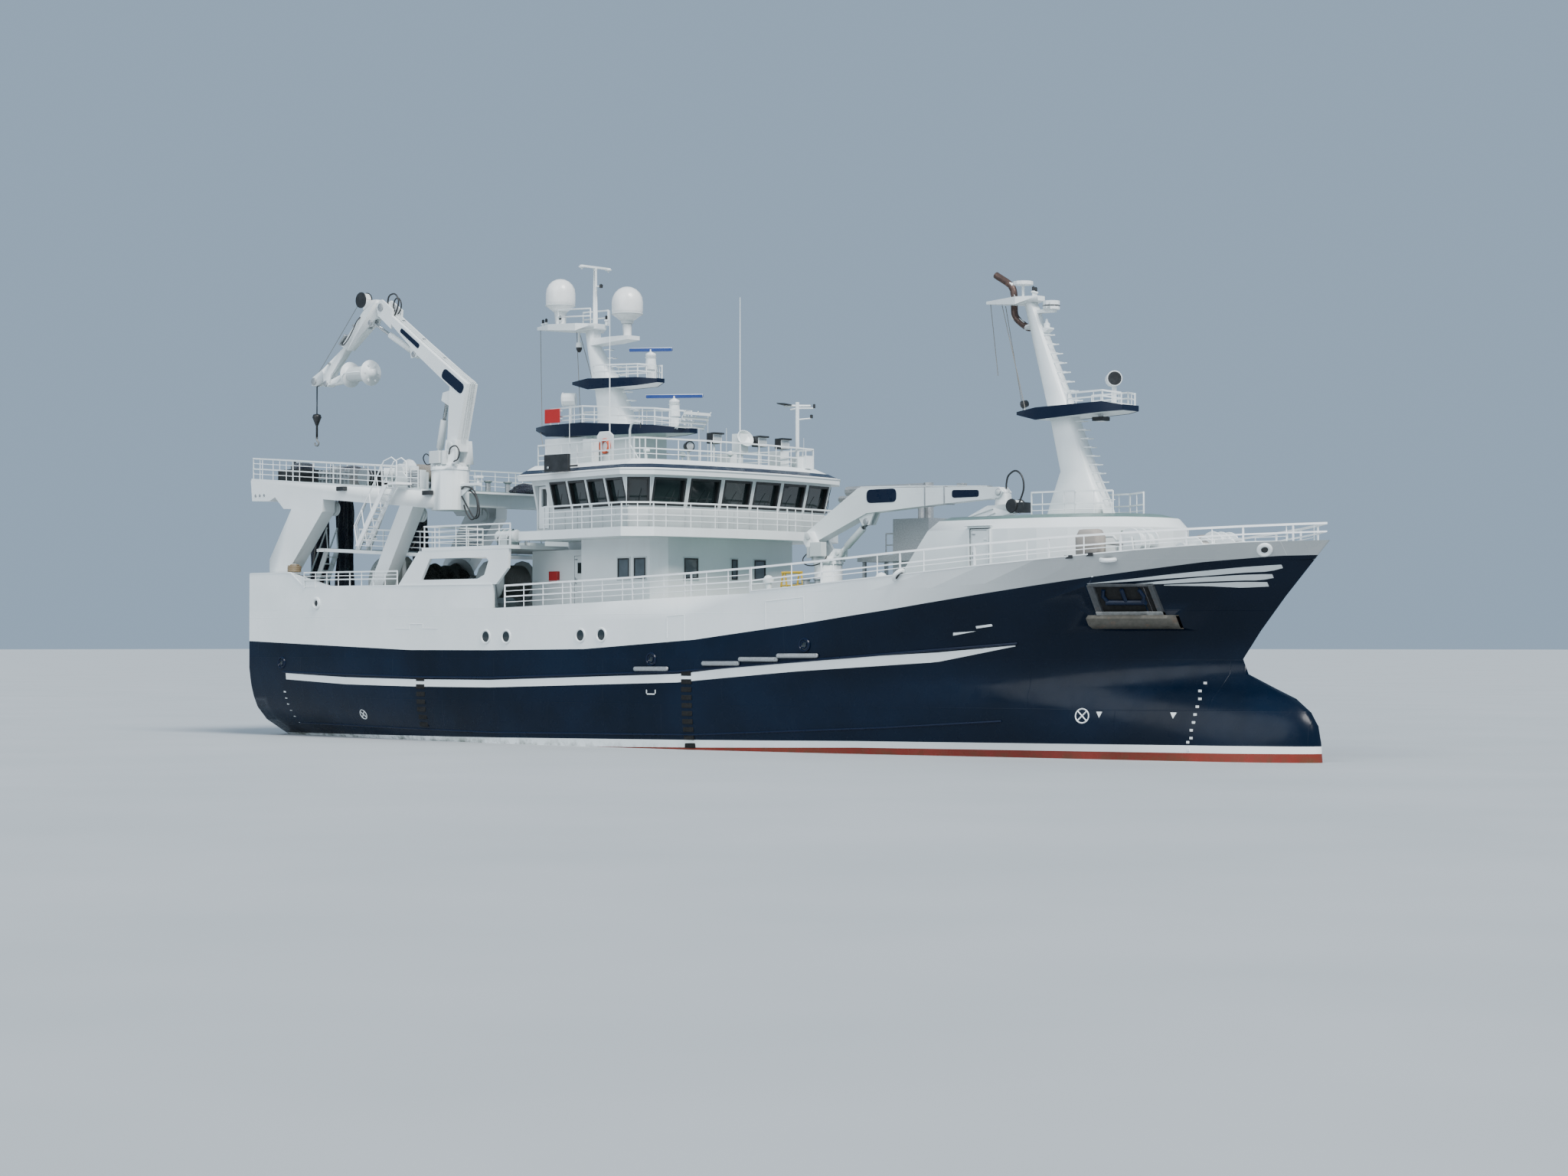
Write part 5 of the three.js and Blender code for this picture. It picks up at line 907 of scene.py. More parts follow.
def makeAnchors():
    aft, fore, low, high = anchorSpec["pocket"]
    shape = bmesh.new()
    # the pocket is a near-black plate on the side: painted shade of the recess
    addHullStrip(shape, steps(aft, fore, 0.2), lambda x: low, lambda x: high, 0.03, 0.05, 5)
    finishPiece(shape, "anchor_pockets", "recessShade", bothSides=True)
    shape = bmesh.new()
    sillAft, sillFore, sillLow, sillHigh = anchorSpec["sill"]
    addHullStrip(shape, steps(sillAft, sillFore, 0.2), lambda x: sillLow, lambda x: sillHigh, 0.2, 0.03, 5)
    width = anchorSpec["frame"]
    finishPiece(shape, "anchor_sills", "wornSteel", bevel=0.025, bothSides=True)
    shape = bmesh.new()
    addHullStrip(shape, steps(aft - width, fore + width, 0.2), lambda x: low - 0.14, lambda x: low, 0.17,
                 0.03, 3)
    finishPiece(shape, "anchor_lips", "dullGrey", bevel=0.025, bothSides=True)
    shape = bmesh.new()
    for x in (aft - width, fore):
        addHullStrip(shape, steps(x, x + width, 0.08), lambda x: low - 0.14, lambda x: high + 0.06, 0.15,
                     0.03, 6)
    addHullStrip(shape, steps(aft - width, fore + width, 0.2), lambda x: high, lambda x: high + 0.1, 0.1,
                 0.03, 3)
    finishPiece(shape, "anchor_frames", "frameSteel", bevel=0.025, bothSides=True)
    shape = bmesh.new()
    middle = (aft + fore) / 2
    level = low + 0.3

    def at(x, z, out):
        return (x, hullSide(x, z) - out, z)
    addTube(shape, [at(middle, z, 0.1) for z in steps(level, high - 0.08, 0.12)], 0.07, 8)
    addTube(shape, [at(x, level, 0.09) for x in steps(aft + 0.2, fore - 0.2, 0.15)], 0.09, 8)
    for end, reach in ((aft + 0.28, -1), (fore - 0.28, 1)):
        addTube(shape, [at(end, level, 0.09), at(end + 0.1 * reach, level + 0.2, 0.1),
                        at(end + 0.02 * reach, level + 0.42, 0.09)],
                0.065, 6)
    finishPiece(shape, "anchors", "navy", bothSides=True)


makeAnchors()


# Caps along the bulwarks and outlines of shell doors

bulwarkSpec = {
    "sheer": [(4.6, 5.82), (6.9, 5.96), (11.9, 6.34), (16.8, 6.76), (20.7, 7.08), (23.3, 7.26),
              (24.1, 7.28)],
    "aftCap": ((-25.45, 6.94), (-22.45, 6.94), (-21.5, 6.32), (-15.0, 6.285), (-9.45, 6.26)),
    "doorSeams": [[(0.35, 4.15), (0.35, 4.95), (1.25, 5.0), (1.25, 4.05)], [(5.35, 4.52), (5.35, 5.45),
                                                                            (7.2, 5.58), (7.2, 4.72)],
                                                                            [(-15.32, 4.54),
                                                                             (-14.46, 4.53),
                                                                             (-14.46, 4.73),
                                                                             (-13.62, 4.72),
                                                                             (-13.62, 4.55),
                                                                             (-12.68, 4.53)]],
}


def makeBulwarkTrim():
    spec = bulwarkSpec
    shape = bmesh.new()
    rows = []
    for x in steps(4.6, 24.1, 0.4):
        top = along(spec["sheer"], x)
        y = hullSide(x, top - 0.05)
        rows.append([(x, y - 0.03, top - 0.01), (x, y + 0.2, top - 0.01), (x, y + 0.2, top + 0.03),
                     (x, y - 0.03, top + 0.03)])
    addLoft(shape, rows)
    rows = []
    for x, top in spec["aftCap"]:
        rows.append([(x, -5.42 if x < -25 else hullSide(x, 6.0) - 0.03, top - 0.01),
                     (x, hullSide(x, 6.0) + 0.2, top - 0.01),
                     (x, hullSide(x, 6.0) + 0.2, top + 0.03), (x, -5.42 if x < -25 else hullSide(x, 6.0)
                                                               - 0.03, top + 0.03)])
    addLoft(shape, rows)
    finishPiece(shape, "bulwark_caps", "white", bothSides=True)
    shape = bmesh.new()
    for line in spec["doorSeams"]:
        for (x0, z0), (x1, z1) in zip(line, line[1:]):
            path = [(lerp(x0, x1, t), hullSide(lerp(x0, x1, t), lerp(z0, z1, t)), lerp(z0, z1, t))
                    for t in (0, 0.5, 1)]
            addTube(shape, path, 0.018, 6)
    finishPiece(shape, "shell_door_seams", "white", bothSides=True)


makeBulwarkTrim()


# Windows, doors and fittings of the deckhouse

houseSpec = {"half": 4.0, "front": -1.8, "sideWindows": (-3.72, -2.82),
             "frontWindows": ((-2.27, 0.72), (0.15, 0.3), (1.6, 0.6)), "sill": 6.44, "head": 7.2,
             "width": 0.6}


def addWindow(frames, panes, gaskets, centre, outward, width, height):
    # a framed window on a flat wall; outward is a unit vector along x or y
    across = Vector((-outward[1], outward[0], 0))
    out = Vector(outward)
    centre = Vector(centre)

    def quad(halfWidth, halfHeight, depth):
        return [centre + across * a * halfWidth + Vector((0, 0, b * halfHeight)) + out * depth
                for a, b in ((-1, -1), (1, -1), (1, 1), (-1, 1))]
    for bars, size, thick, depth in ((frames, 0.055, 0.02, 0.03), (gaskets, 0.05, -0.035, 0.038)):
        w, h = width / 2 + size + thick, height / 2 + size + thick
        outer, inner = quad(w, h, depth), quad(w - size, h - size, depth)
        backOuter, backInner = quad(w, h, -0.01), quad(w - size, h - size, -0.01)
        rows = [[a, b, c, d] for a, b, c, d in zip(outer, inner, backInner, backOuter)]
        addLoft(bars, rows, looped=True)
    addLoft(panes, [quad(width / 2 - 0.01, height / 2 - 0.01, d) for d in (-0.01, 0.02)])


def makeHouseWindows():
    spec = houseSpec
    frames, panes, gaskets = newShapes(3)
    middle = (spec["sill"] + spec["head"]) / 2
    height = spec["head"] - spec["sill"]
    for x in spec["sideWindows"]:
        for side in (-1, 1):
            addWindow(frames, panes, gaskets, (x, side * spec["half"], middle), (0, side, 0),
                      spec["width"], height)
    for y, width in spec["frontWindows"]:
        addWindow(frames, panes, gaskets, (spec["front"], y, middle), (1, 0, 0), width, height)
    for y in (-1.7, 1.7):
        addWindow(frames, panes, gaskets, (-9.7, y, middle), (-1, 0, 0), 0.5, height * 0.8)
    finishPiece(frames, "house_window_frames", "panel", bevel=0.012)
    finishPiece(gaskets, "house_window_gaskets", "rubber")
    finishPiece(panes, "house_window_panes", "houseGlass")


def makeDoorDetail(name, body, door, y, port, window):
    # window pane, hinges, handle and dogs on a leaf whose outer face is at y
    fore, aft, low, high = door
    sign = 1 if port else -1
    plate, dark, pane = newShapes(3)
    face = sign * y

    def box(target, x0, x1, z0, z1, proud):
        outer = face + sign * proud
        addBox(target, (x0, min(face, outer), z0), (x1, max(face, outer), z1))
    middle = (fore + aft) / 2
    if window:
        box(plate, middle - 0.17, middle + 0.17, high - 0.72, high - 0.2, 0.02)
        box(pane, middle - 0.12, middle + 0.12, high - 0.67, high - 0.25, 0.032)
    for z in (low + 0.3, high - 0.3):
        box(plate, fore - 0.17, fore, z - 0.035, z + 0.035, 0.03)
    for z in (low + 0.45, (low + high) / 2, high - 0.12):
        box(dark, aft + 0.01, aft + 0.14, z - 0.02, z + 0.02, 0.045)
    addTube(dark, [(aft + 0.09, face, (low + high) / 2 - 0.16), (aft + 0.09, face + sign * 0.07,
                                                                 (low + high) / 2 - 0.14),
                   (aft + 0.09, face + sign * 0.07, (low + high) / 2 + 0.1)], 0.016, 6)
    finishPiece(plate, name + "_trim", "white", body=body, bevel=0.008)
    finishPiece(dark, name + "_dogs", "galvanised", body=body)
    if window:
        finishPiece(pane, name + "_pane", "glass", body=body)


makeHouseWindows()
for side, port in (("starboard", False), ("port", True)):
    makeDoorDetail("house_door_" + side, "deckhouse_door_" + side, (-6.62, -7.22, 5.53, 7.37), 3.29, port,
                   True)
makeDoorDetail("fore_door", "fore_casing_door", (13.73, 13.03, 6.18, 7.85), 3.34, False, False)


def makeForeDoorFrame():
    aft, fore, low, high = 12.97, 13.79, 6.12, 7.91
    frame, gap = newShapes(2)
    for target, out, inner, deep in ((frame, 0.1, 0.03, 0.07), (gap, 0.03, 0.0, 0.012)):
        bars = (((aft - out, low), (aft - inner, high)), ((fore + inner, low), (fore + out, high)),
                ((aft - out, high + inner), (fore + out, high + out)),
                ((aft - out, low - out), (fore + out, low - inner)))
        for (x0, z0), (x1, z1) in bars:
            addBox(target, (x0, -3.34 - deep, z0), (x1, -3.30, z1))
    addBox(frame, (aft - 0.14, -3.34 - 0.2, high + 0.1), (fore + 0.14, -3.30, high + 0.13))
    finishPiece(frame, "fore_door_frame", "white", bevel=0.012)
    finishPiece(gap, "fore_door_gap", "rubber")


makeForeDoorFrame()
print("house made")


# Wheelhouse: window frames, panels, the stripe round the brim and the fittings above

wheelSpec = {"doorEnd": -7.05, "sideEnd": -1.85, "aftHalf": 4.85, "cornerHalf": 5.68, "frontX": -0.7,
             "frontRadius": 23.0, "frontHalf": 5.0, "facets": 6, "aft": -7.9, "sill": 9.22, "head": 10.16,
             "wallTop": 10.3,
             "lean": 0.14, "leanFrom": 9.14}


def wheelPlan(grow, aft=None):
    # the plan of the wheelhouse grown outwards, from starboard aft round the front to port aft
    w = wheelSpec
    aft = w["aft"] if aft is None else aft

    def sideAt(x):
        return along([(w["doorEnd"], -w["aftHalf"]), (w["sideEnd"], -w["cornerHalf"])], x)
    stepX = max(w["doorEnd"], aft + 0.02)
    points = [(aft, sideAt(aft)), (stepX, sideAt(stepX)), (w["sideEnd"], -w["cornerHalf"])]
    for i in range(w["facets"] + 1):
        y = lerp(-w["frontHalf"], w["frontHalf"], i / w["facets"])
        points.append((w["frontX"] - w["frontRadius"] + math.sqrt(w["frontRadius"] ** 2 - y ** 2), y))
    points += [(x, -y) for x, y in reversed(points[:3])]
    normals = []
    for (ax, ay), (bx, by) in zip(points, points[1:]):
        length = math.hypot(bx - ax, by - ay)
        normals.append(((by - ay) / length, -(bx - ax) / length))
    grown = []
    for i, (x, y) in enumerate(points):
        (ax, ay), (bx, by) = normals[max(i - 1, 0)], normals[min(i, len(normals) - 1)]
        reach = grow * 2 / ((ax + bx) ** 2 + (ay + by) ** 2)
        edge = i in (0, len(points) - 1)
        grown.append((x, y + grow * math.copysign(1, y)) if edge else (x + (ax + bx) * reach,
                                                                       y + (ay + by) * reach))
    return grown


def leanAt(z):
    w = wheelSpec
    return -w["lean"] if z < w["leanFrom"] else lerp(-w["lean"], w["lean"],
                                                     (z - w["leanFrom"]) / (w["wallTop"] - w["leanFrom"]))


def wheelWindows():
    # the two ends of each window's span in the plan and the share of it that is glass
    plan = wheelPlan(0)
    spans = [(plan[i], plan[i + 1], 0.82) for i in range(2, len(plan) - 3)]
    first, last = wheelPlan(0, -6.9)[0], plan[2]
    for i in range(4):
        a = [lerp(first[k], last[k], i / 4) for k in (0, 1)]
        b = [lerp(first[k], last[k], (i + 1) / 4) for k in (0, 1)]
        spans += [(a, b, 0.8), ((b[0], -b[1]), (a[0], -a[1]), 0.8)]
    return spans


def makeWheelhouseTrim():
    w = wheelSpec
    frames, gaskets, wipers = newShapes(3)
    for (ax, ay), (bx, by), share in wheelWindows():
        a, b = Vector((ax, ay, 0)), Vector((bx, by, 0))
        ahead = (b - a).normalized()
        out = Vector((ahead.y, -ahead.x, 0))
        centre = (a + b) / 2
        half = (b - a).length * share / 2

        def corners(grow, depth):
            made = []
            for s, z in ((-1, w["sill"] - grow), (1, w["sill"] - grow), (1, w["head"] + grow),
                         (-1, w["head"] + grow)):
                made.append(centre + ahead * s * (half + grow) + out * (leanAt(z) + depth)
                            + Vector((0, 0, z)))
            return made
        for target, outer, inner, depth in ((frames, 0.085, 0.055, 0.022), (gaskets, 0.06, -0.03, 0.03)):
            rows = [list(four) for four in zip(corners(outer, depth), corners(inner, depth),
                                               corners(inner, -0.1 if inner < 0 else -0.02),
                                               corners(outer, -0.02))]
            addLoft(target, rows, looped=True)
        foot = centre + out * (leanAt(w["sill"]) + 0.06) + Vector((0, 0, w["sill"] - 0.05))
        tip = centre + ahead * half * 0.35 + out * (leanAt(9.75) + 0.03) + Vector((0, 0, 9.75))
        addTube(wipers, [foot, lerp(foot, tip, 0.5) + out * 0.03, tip], 0.012, 5)
    finishPiece(frames, "wheelhouse_window_frames", "white", bevel=0.01)
    finishPiece(gaskets, "wheelhouse_gaskets", "rubber")
    finishPiece(wipers, "wipers", "black")

    shape = bmesh.new()
    rows = []
    for (lx, ly), (tx, ty) in zip(wheelPlan(0.5, -8.34), wheelPlan(-0.5, -8.34)):
        lip, top = Vector((lx, ly, 10.5)), Vector((tx, ty, 10.95))
        slope = (top - lip).normalized()
        out = (Vector((lx, ly, 0)) - Vector((tx, ty, 0))).normalized() * 0.4 + Vector((0, 0, 0.9))
        out.normalize()
        low, high = lip + slope * 0.17, lip + slope * 0.54
        rows.append([low - out * 0.05, low + out * 0.02, high + out * 0.02, high - out * 0.05])
    addLoft(shape, rows)
    finishPiece(shape, "brim_stripe", "navy")

    shape = bmesh.new()
    addTube(shape, [(x, y, 10.50) for x, y in wheelPlan(0.5, -8.34)], 0.03, 6)
    plan = wheelPlan(leanAt(9.0) + 0.012, -7.0)
    for i in range(1, len(plan) - 2):
        a, b = Vector((*plan[i], 0)), Vector((*plan[i + 1], 0))
        count = max(1, round((b - a).length / 0.9))
        for k in range(count):
            p = lerp(a, b, k / count)
            addBox(shape, (p.x - 0.02, p.y - 0.02, 8.36), (p.x + 0.02, p.y + 0.02, 9.08))
    finishPiece(shape, "wheelhouse_panel_strips", "panel")


makeWheelhouseTrim()

roofSpec = {
    "top": 10.95,
    "lamps": [(-1.75, -1.05, 11.75), (-1.75, 1.5, 11.75), (-2.0, 3.1, 11.75)],
    "lifebuoy": (-5.66, -3.17, 11.68),
    "searchlightAt": (-1.71, -2.5, 11.52),
    "whips": [(-4.2, 2.2, 12.6, 0.02), (-6.9, 3.9, 13.4, 0.02), (-3.0, -0.6, 12.4, 0.02),
              (-1.9, 4.3, 12.2, 0.015), (-6.9, -3.9, 12.9, 0.02)],
    "lockers": ((-2.2, 2.6, 0.6, 0.5, 0.62), (-6.35, -3.7, 0.5, 0.4, 1.0), (-5.9, 3.4, 0.8, 0.5, 0.7),
                (-1.9, 3.9, 0.5, 0.4, 0.5)),
    "searchlight": [(0, -0.16), (0.15, -0.14), (0.2, 0.02), (0.21, 0.14), (0.18, 0.15)],
    "aerialDome": [(0.03, 0), (0.03, 0.45), (0.13, 0.5), (0.14, 0.56), (0.08, 0.66), (0, 0.68)],
    "bracket": [(-1.95, 3.55, 13.3), (-1.75, 3.75, 13.35), (-1.2, 4.15, 13.35)],
    "windPlate": [(0.0, 0.0), (0.30, 0.05), (0.32, 0.09), (0, 0.12)],
    "dish": [(0.06, -0.05), (0.30, 0.02), (0.36, 0.16), (0.34, 0.17), (0.26, 0.06), (0, 0.0)],
}


def makeRoofFittings():
    spec = roofSpec
    top = spec["top"]
    lens, hoods, white, dark = newShapes(4)
    for x, y, z in spec["lamps"]:
        addBox(lens, (x + 0.19, y - 0.2, z), (x + 0.215, y + 0.2, z + 0.26))
        addBox(hoods, (x - 0.14, y - 0.26, z - 0.06), (x + 0.19, y + 0.26, z + 0.36))
        addBox(hoods, (x + 0.1, y - 0.27, z + 0.3), (x + 0.32, y + 0.27, z + 0.37))
        for k in range(5):
            addBox(hoods, (x - 0.2, y - 0.2 + k * 0.09, z), (x - 0.12, y - 0.17 + k * 0.09, z + 0.28))
    addBox(hoods, (-6.2, -5.9, 10.56), (-4.85, -5.76, 11.22))
    for x in (-6.0, -5.05):
        addRod(hoods, (x, -5.75, 10.75), (x, -5.2, 10.8), 0.04, 6)
    addTurned(lens, [(0.05, 0), (0.045, 0.02), (0, 0.03)], (-5.95, -5.92, 10.72), (0, -1, 0), 12)
    # lifebuoy holder, davit, lockers and the searchlight
    addPrism(white, [(-6.15, top), (-5.28, top), (-5.28, 12.1), (-5.5, 12.26), (-6.0, 12.26),
                     (-6.15, 12.1)], "y", -3.12, -3.04)
    for x in (-6.12, -5.31):
        addRod(white, (x, -3.08, top - 0.02), (x - 0.1, -2.6, top), 0.03, 6)
    addTube(white, [(-3.39, -4.0, top - 0.02), (-3.39, -4.0, 12.15), (-3.3, -4.0, 12.38),
                    (-3.0, -4.05, 12.46), (-2.7, -4.1, 12.4)], 0.045, 8)
    addRod(white, (-3.39, -4.0, 11.6), (-2.95, -3.9, top), 0.03, 6)
    addRod(dark, (-2.7, -4.1, 12.4), (-2.7, -4.1, 12.2), 0.02, 6)
    for x, y, wide, deep, high in spec["lockers"]:
        addBox(white, (x, y, top - 0.02), (x + wide, y + deep, top + high))
    beam, ahead = Vector(spec["searchlightAt"]), Vector((1, -0.3, 0))
    addRod(white, (-1.71, -2.5, top - 0.02), (-1.71, -2.5, 11.35), 0.05, 8)
    addTurned(dark, spec["searchlight"], beam, ahead, 16)
    addTurned(lens, [(0.175, 0), (0.15, 0.03), (0, 0.05)], beam + ahead.normalized() * 0.13, ahead, 16)
    # small antennas on the roof and the instrument mast's arms
    for x, y, tip, radius in spec["whips"]:
        addRod(white, (x, y, top - 0.02), (x, y, tip), radius, 6, radius * 0.4)
    for x, y in ((-5.0, 0.5), (-4.3, -2.2), (-3.4, 1.6)):
        addTurned(white, spec["aerialDome"], (x, y, top - 0.01), (0, 0, 1), 12)
    addTube(white, spec["bracket"], 0.03, 6)
    addRod(white, (-1.75, 3.75, 12.9), (-1.3, 4.1, 12.95), 0.03, 6)
    addTurned(dark, spec["windPlate"], (-2.1, 3.35, 13.45), (0.15, 0, 1), 14)
    addTurned(dark, [(0.05, 0), (0.05, 0.16), (0, 0.18)], (-1.2, 4.15, 13.35), (0, 0, 1), 8)
    addTurned(dark, [(0.06, 0), (0.06, 0.14), (0, 0.16)], (-1.3, 4.1, 12.95), (0, 0, 1), 8)
    # dish on the dome post
    addTurned(white, spec["dish"], (-2.0, 0.9, 11.95), (1, -0.3, 0.5), 18)
    finishPiece(lens, "roof_lamp_lenses", "lens")
    finishPiece(hoods, "roof_lamp_housings", "black", bevel=0.012)
    finishPiece(white, "roof_fittings", "white", bevel=0.012)
    finishPiece(dark, "roof_dark_fittings", "black")
    ring, stripes = newShapes(2)
    buoy = Vector(spec["lifebuoy"])
    addRing(ring, buoy, (0, 1, 0), 0.24, 0.07, 28, 10)
    for turn in range(4):
        a = turn * math.pi / 2 + math.pi / 4
        at = buoy + Vector((0.24 * math.cos(a), 0, 0.24 * math.sin(a)))
        addRing(stripes, at, (-math.sin(a), 0, math.cos(a)), 0.072, 0.012, 14, 4)
    finishPiece(ring, "lifebuoy", "orange")
    finishPiece(stripes, "lifebuoy_bands", "white")


makeRoofFittings()
print("wheelhouse made")


# Masts: steps, lamps, panels, navy skirts, wires and the exhaust

def makeSteps(name, path, count, size, reach):
    # peg steps that stand off the fore edge of a mast
    pegs = bmesh.new()
    for i in range(count):
        t = i / (count - 1)
        p = lerp(Vector(path[0]), Vector(path[1]), t)
        addTube(pegs, [p + Vector((-0.1, -size, 0)), p + Vector((reach, -size, 0)),
                       p + Vector((reach, size, 0)),
                       p + Vector((-0.1, size, 0))], 0.022, 6)
    finishPiece(pegs, name, "white")


def addSkirt(shape, sections):
    # a band of navy on the two slanted sides of a platform: x, half width, underside, top
    thick = 0.012
    rows = []
    for x, half, low, high in sections:
        rows.append([(x, -half - thick, low - thick), (x, -half - thick, high), (x, -half + 0.02, high),
                     (x, -half + 0.02, low - thick)])
    addLoft(shape, rows)


mastSpec = {
    "steps": [
        ("fore_mast_steps_upper", ((13.75, 0, 14.9), (14.98, 0, 12.5)), 8, 0.16, 0.22),
        ("fore_mast_steps_lower", ((15.2, 0, 11.75), (16.35, 0, 8.95)), 10, 0.16, 0.24),
        ("main_mast_steps", ((-7.25, 0, 13.4), (-8.75, 0, 15.9)), 8, 0.14, 0.18),
    ],
    "lowSkirt": [(-13.0, 0.1, 12.8, 12.93), (-11.4, 1.0, 12.44, 12.9), (-8.6, 1.7, 12.3, 12.84),
                 (-5.2, 0.95, 12.3, 12.62), (-3.9, 0.2, 12.28, 12.45)],
    "highSkirt": [(-10.8, 0.1, 14.6, 14.7), (-9.2, 0.75, 14.28, 14.72), (-6.5, 0.6, 14.3, 14.62),
                  (-5.75, 0.2, 14.4, 14.55)],
    "foreSkirt": [(12.5, 0.15, 12.12, 12.22), (13.8, 0.75, 11.85, 12.28), (16.75, 0.8, 11.98, 12.34),
                  (17.4, 0.45, 12.02, 12.2)],
    "platformEnds": ((17.39, 0.46, 12.01, 12.21), (-3.91, 0.21, 12.27, 12.46), (-5.76, 0.21, 14.39, 14.56)),
    "camera": [(0.13, 0), (0.12, -0.1), (0.06, -0.2), (0, -0.22)],
    "lampPlaces": ((-12.5, 0.0, 17.1), (-12.75, 0.05, 17.08), (-11.0, -0.6, 17.05), (-9.2, 0.3, 17.0),
                   (13.1, 0.2, 16.32), (13.3, -0.2, 16.3)),
    "lampFoot": [(0.05, -0.05), (0.05, 0.12), (0.09, 0.14), (0.09, 0.18), (0.05, 0.2)],
    "lampGlass": [(0.045, 0.19), (0.055, 0.24), (0.055, 0.34), (0, 0.38)],
    "aerialCap": [(0.03, 0), (0.05, 0.06), (0.14, 0.08), (0.14, 0.12), (0, 0.15)],
    "smallCap": [(0.05, 0), (0.08, 0.06), (0.09, 0.16), (0, 0.2)],
    "floodlight": [(0, -0.14), (0.12, -0.1), (0.15, 0.1), (0.13, 0.12)],
    "lampShelf": [(13.35, 14.9), (13.8, 15.0), (13.95, 15.1), (13.95, 15.16), (13.25, 15.16)],
    "lampPost": [(0.11, 0), (0.11, 0.16), (0.06, 0.2), (0.04, 0.32), (0, 0.34)],
    "searchlight": [(0, -0.02), (0.24, -0.01), (0.24, 0.05), (0.2, 0.06), (0.1, 0.04), (0, 0.05)],
    "wires": (((11.15, 0.05, 16.2), (11.45, 0.1, 13.6)), ((11.8, 0.1, 16.1), (12.6, 0.1, 12.25)),
              ((11.8, -0.1, 16.1), (13.0, -0.3, 12.3)), ((-12.85, 0, 17.0), (-12.75, 0, 12.95)),
              ((-10.65, 0, 16.8), (-10.4, 0, 12.9)), ((-10.8, 0.3, 16.8), (-10.1, 1.1, 12.9)),
              ((-12.75, -0.1, 12.8), (-8.3, -4.0, 11.7)), ((-12.75, 0.1, 12.8), (-8.3, 4.0, 11.7))),
    "exhaust": [(12.95, 0.25, 15.28), (12.6, 0.35, 15.29), (12.08, 0.35, 15.68), (12.0, 0.35, 16.1),
                (12.0, 0.35, 16.45), (11.85, 0.35, 16.85), (11.16, 0.35, 17.29)],
    "domes": ((-11.63, 17.66, 0.62), (-7.66, 17.02, 0.64)),
    "domeFoot": [(0.24, -0.12), (0.26, -0.02), (0.3, 0.01)],
    "scanners": (("radar_low", -4.96, 13.5, 2.3), ("radar_high", -6.3, 15.45, 1.75)),
    "scannerSection": ((-1, -1), (1, -1), (1, 0.4), (0.5, 1), (-0.5, 1), (-1, 0.4)),
}


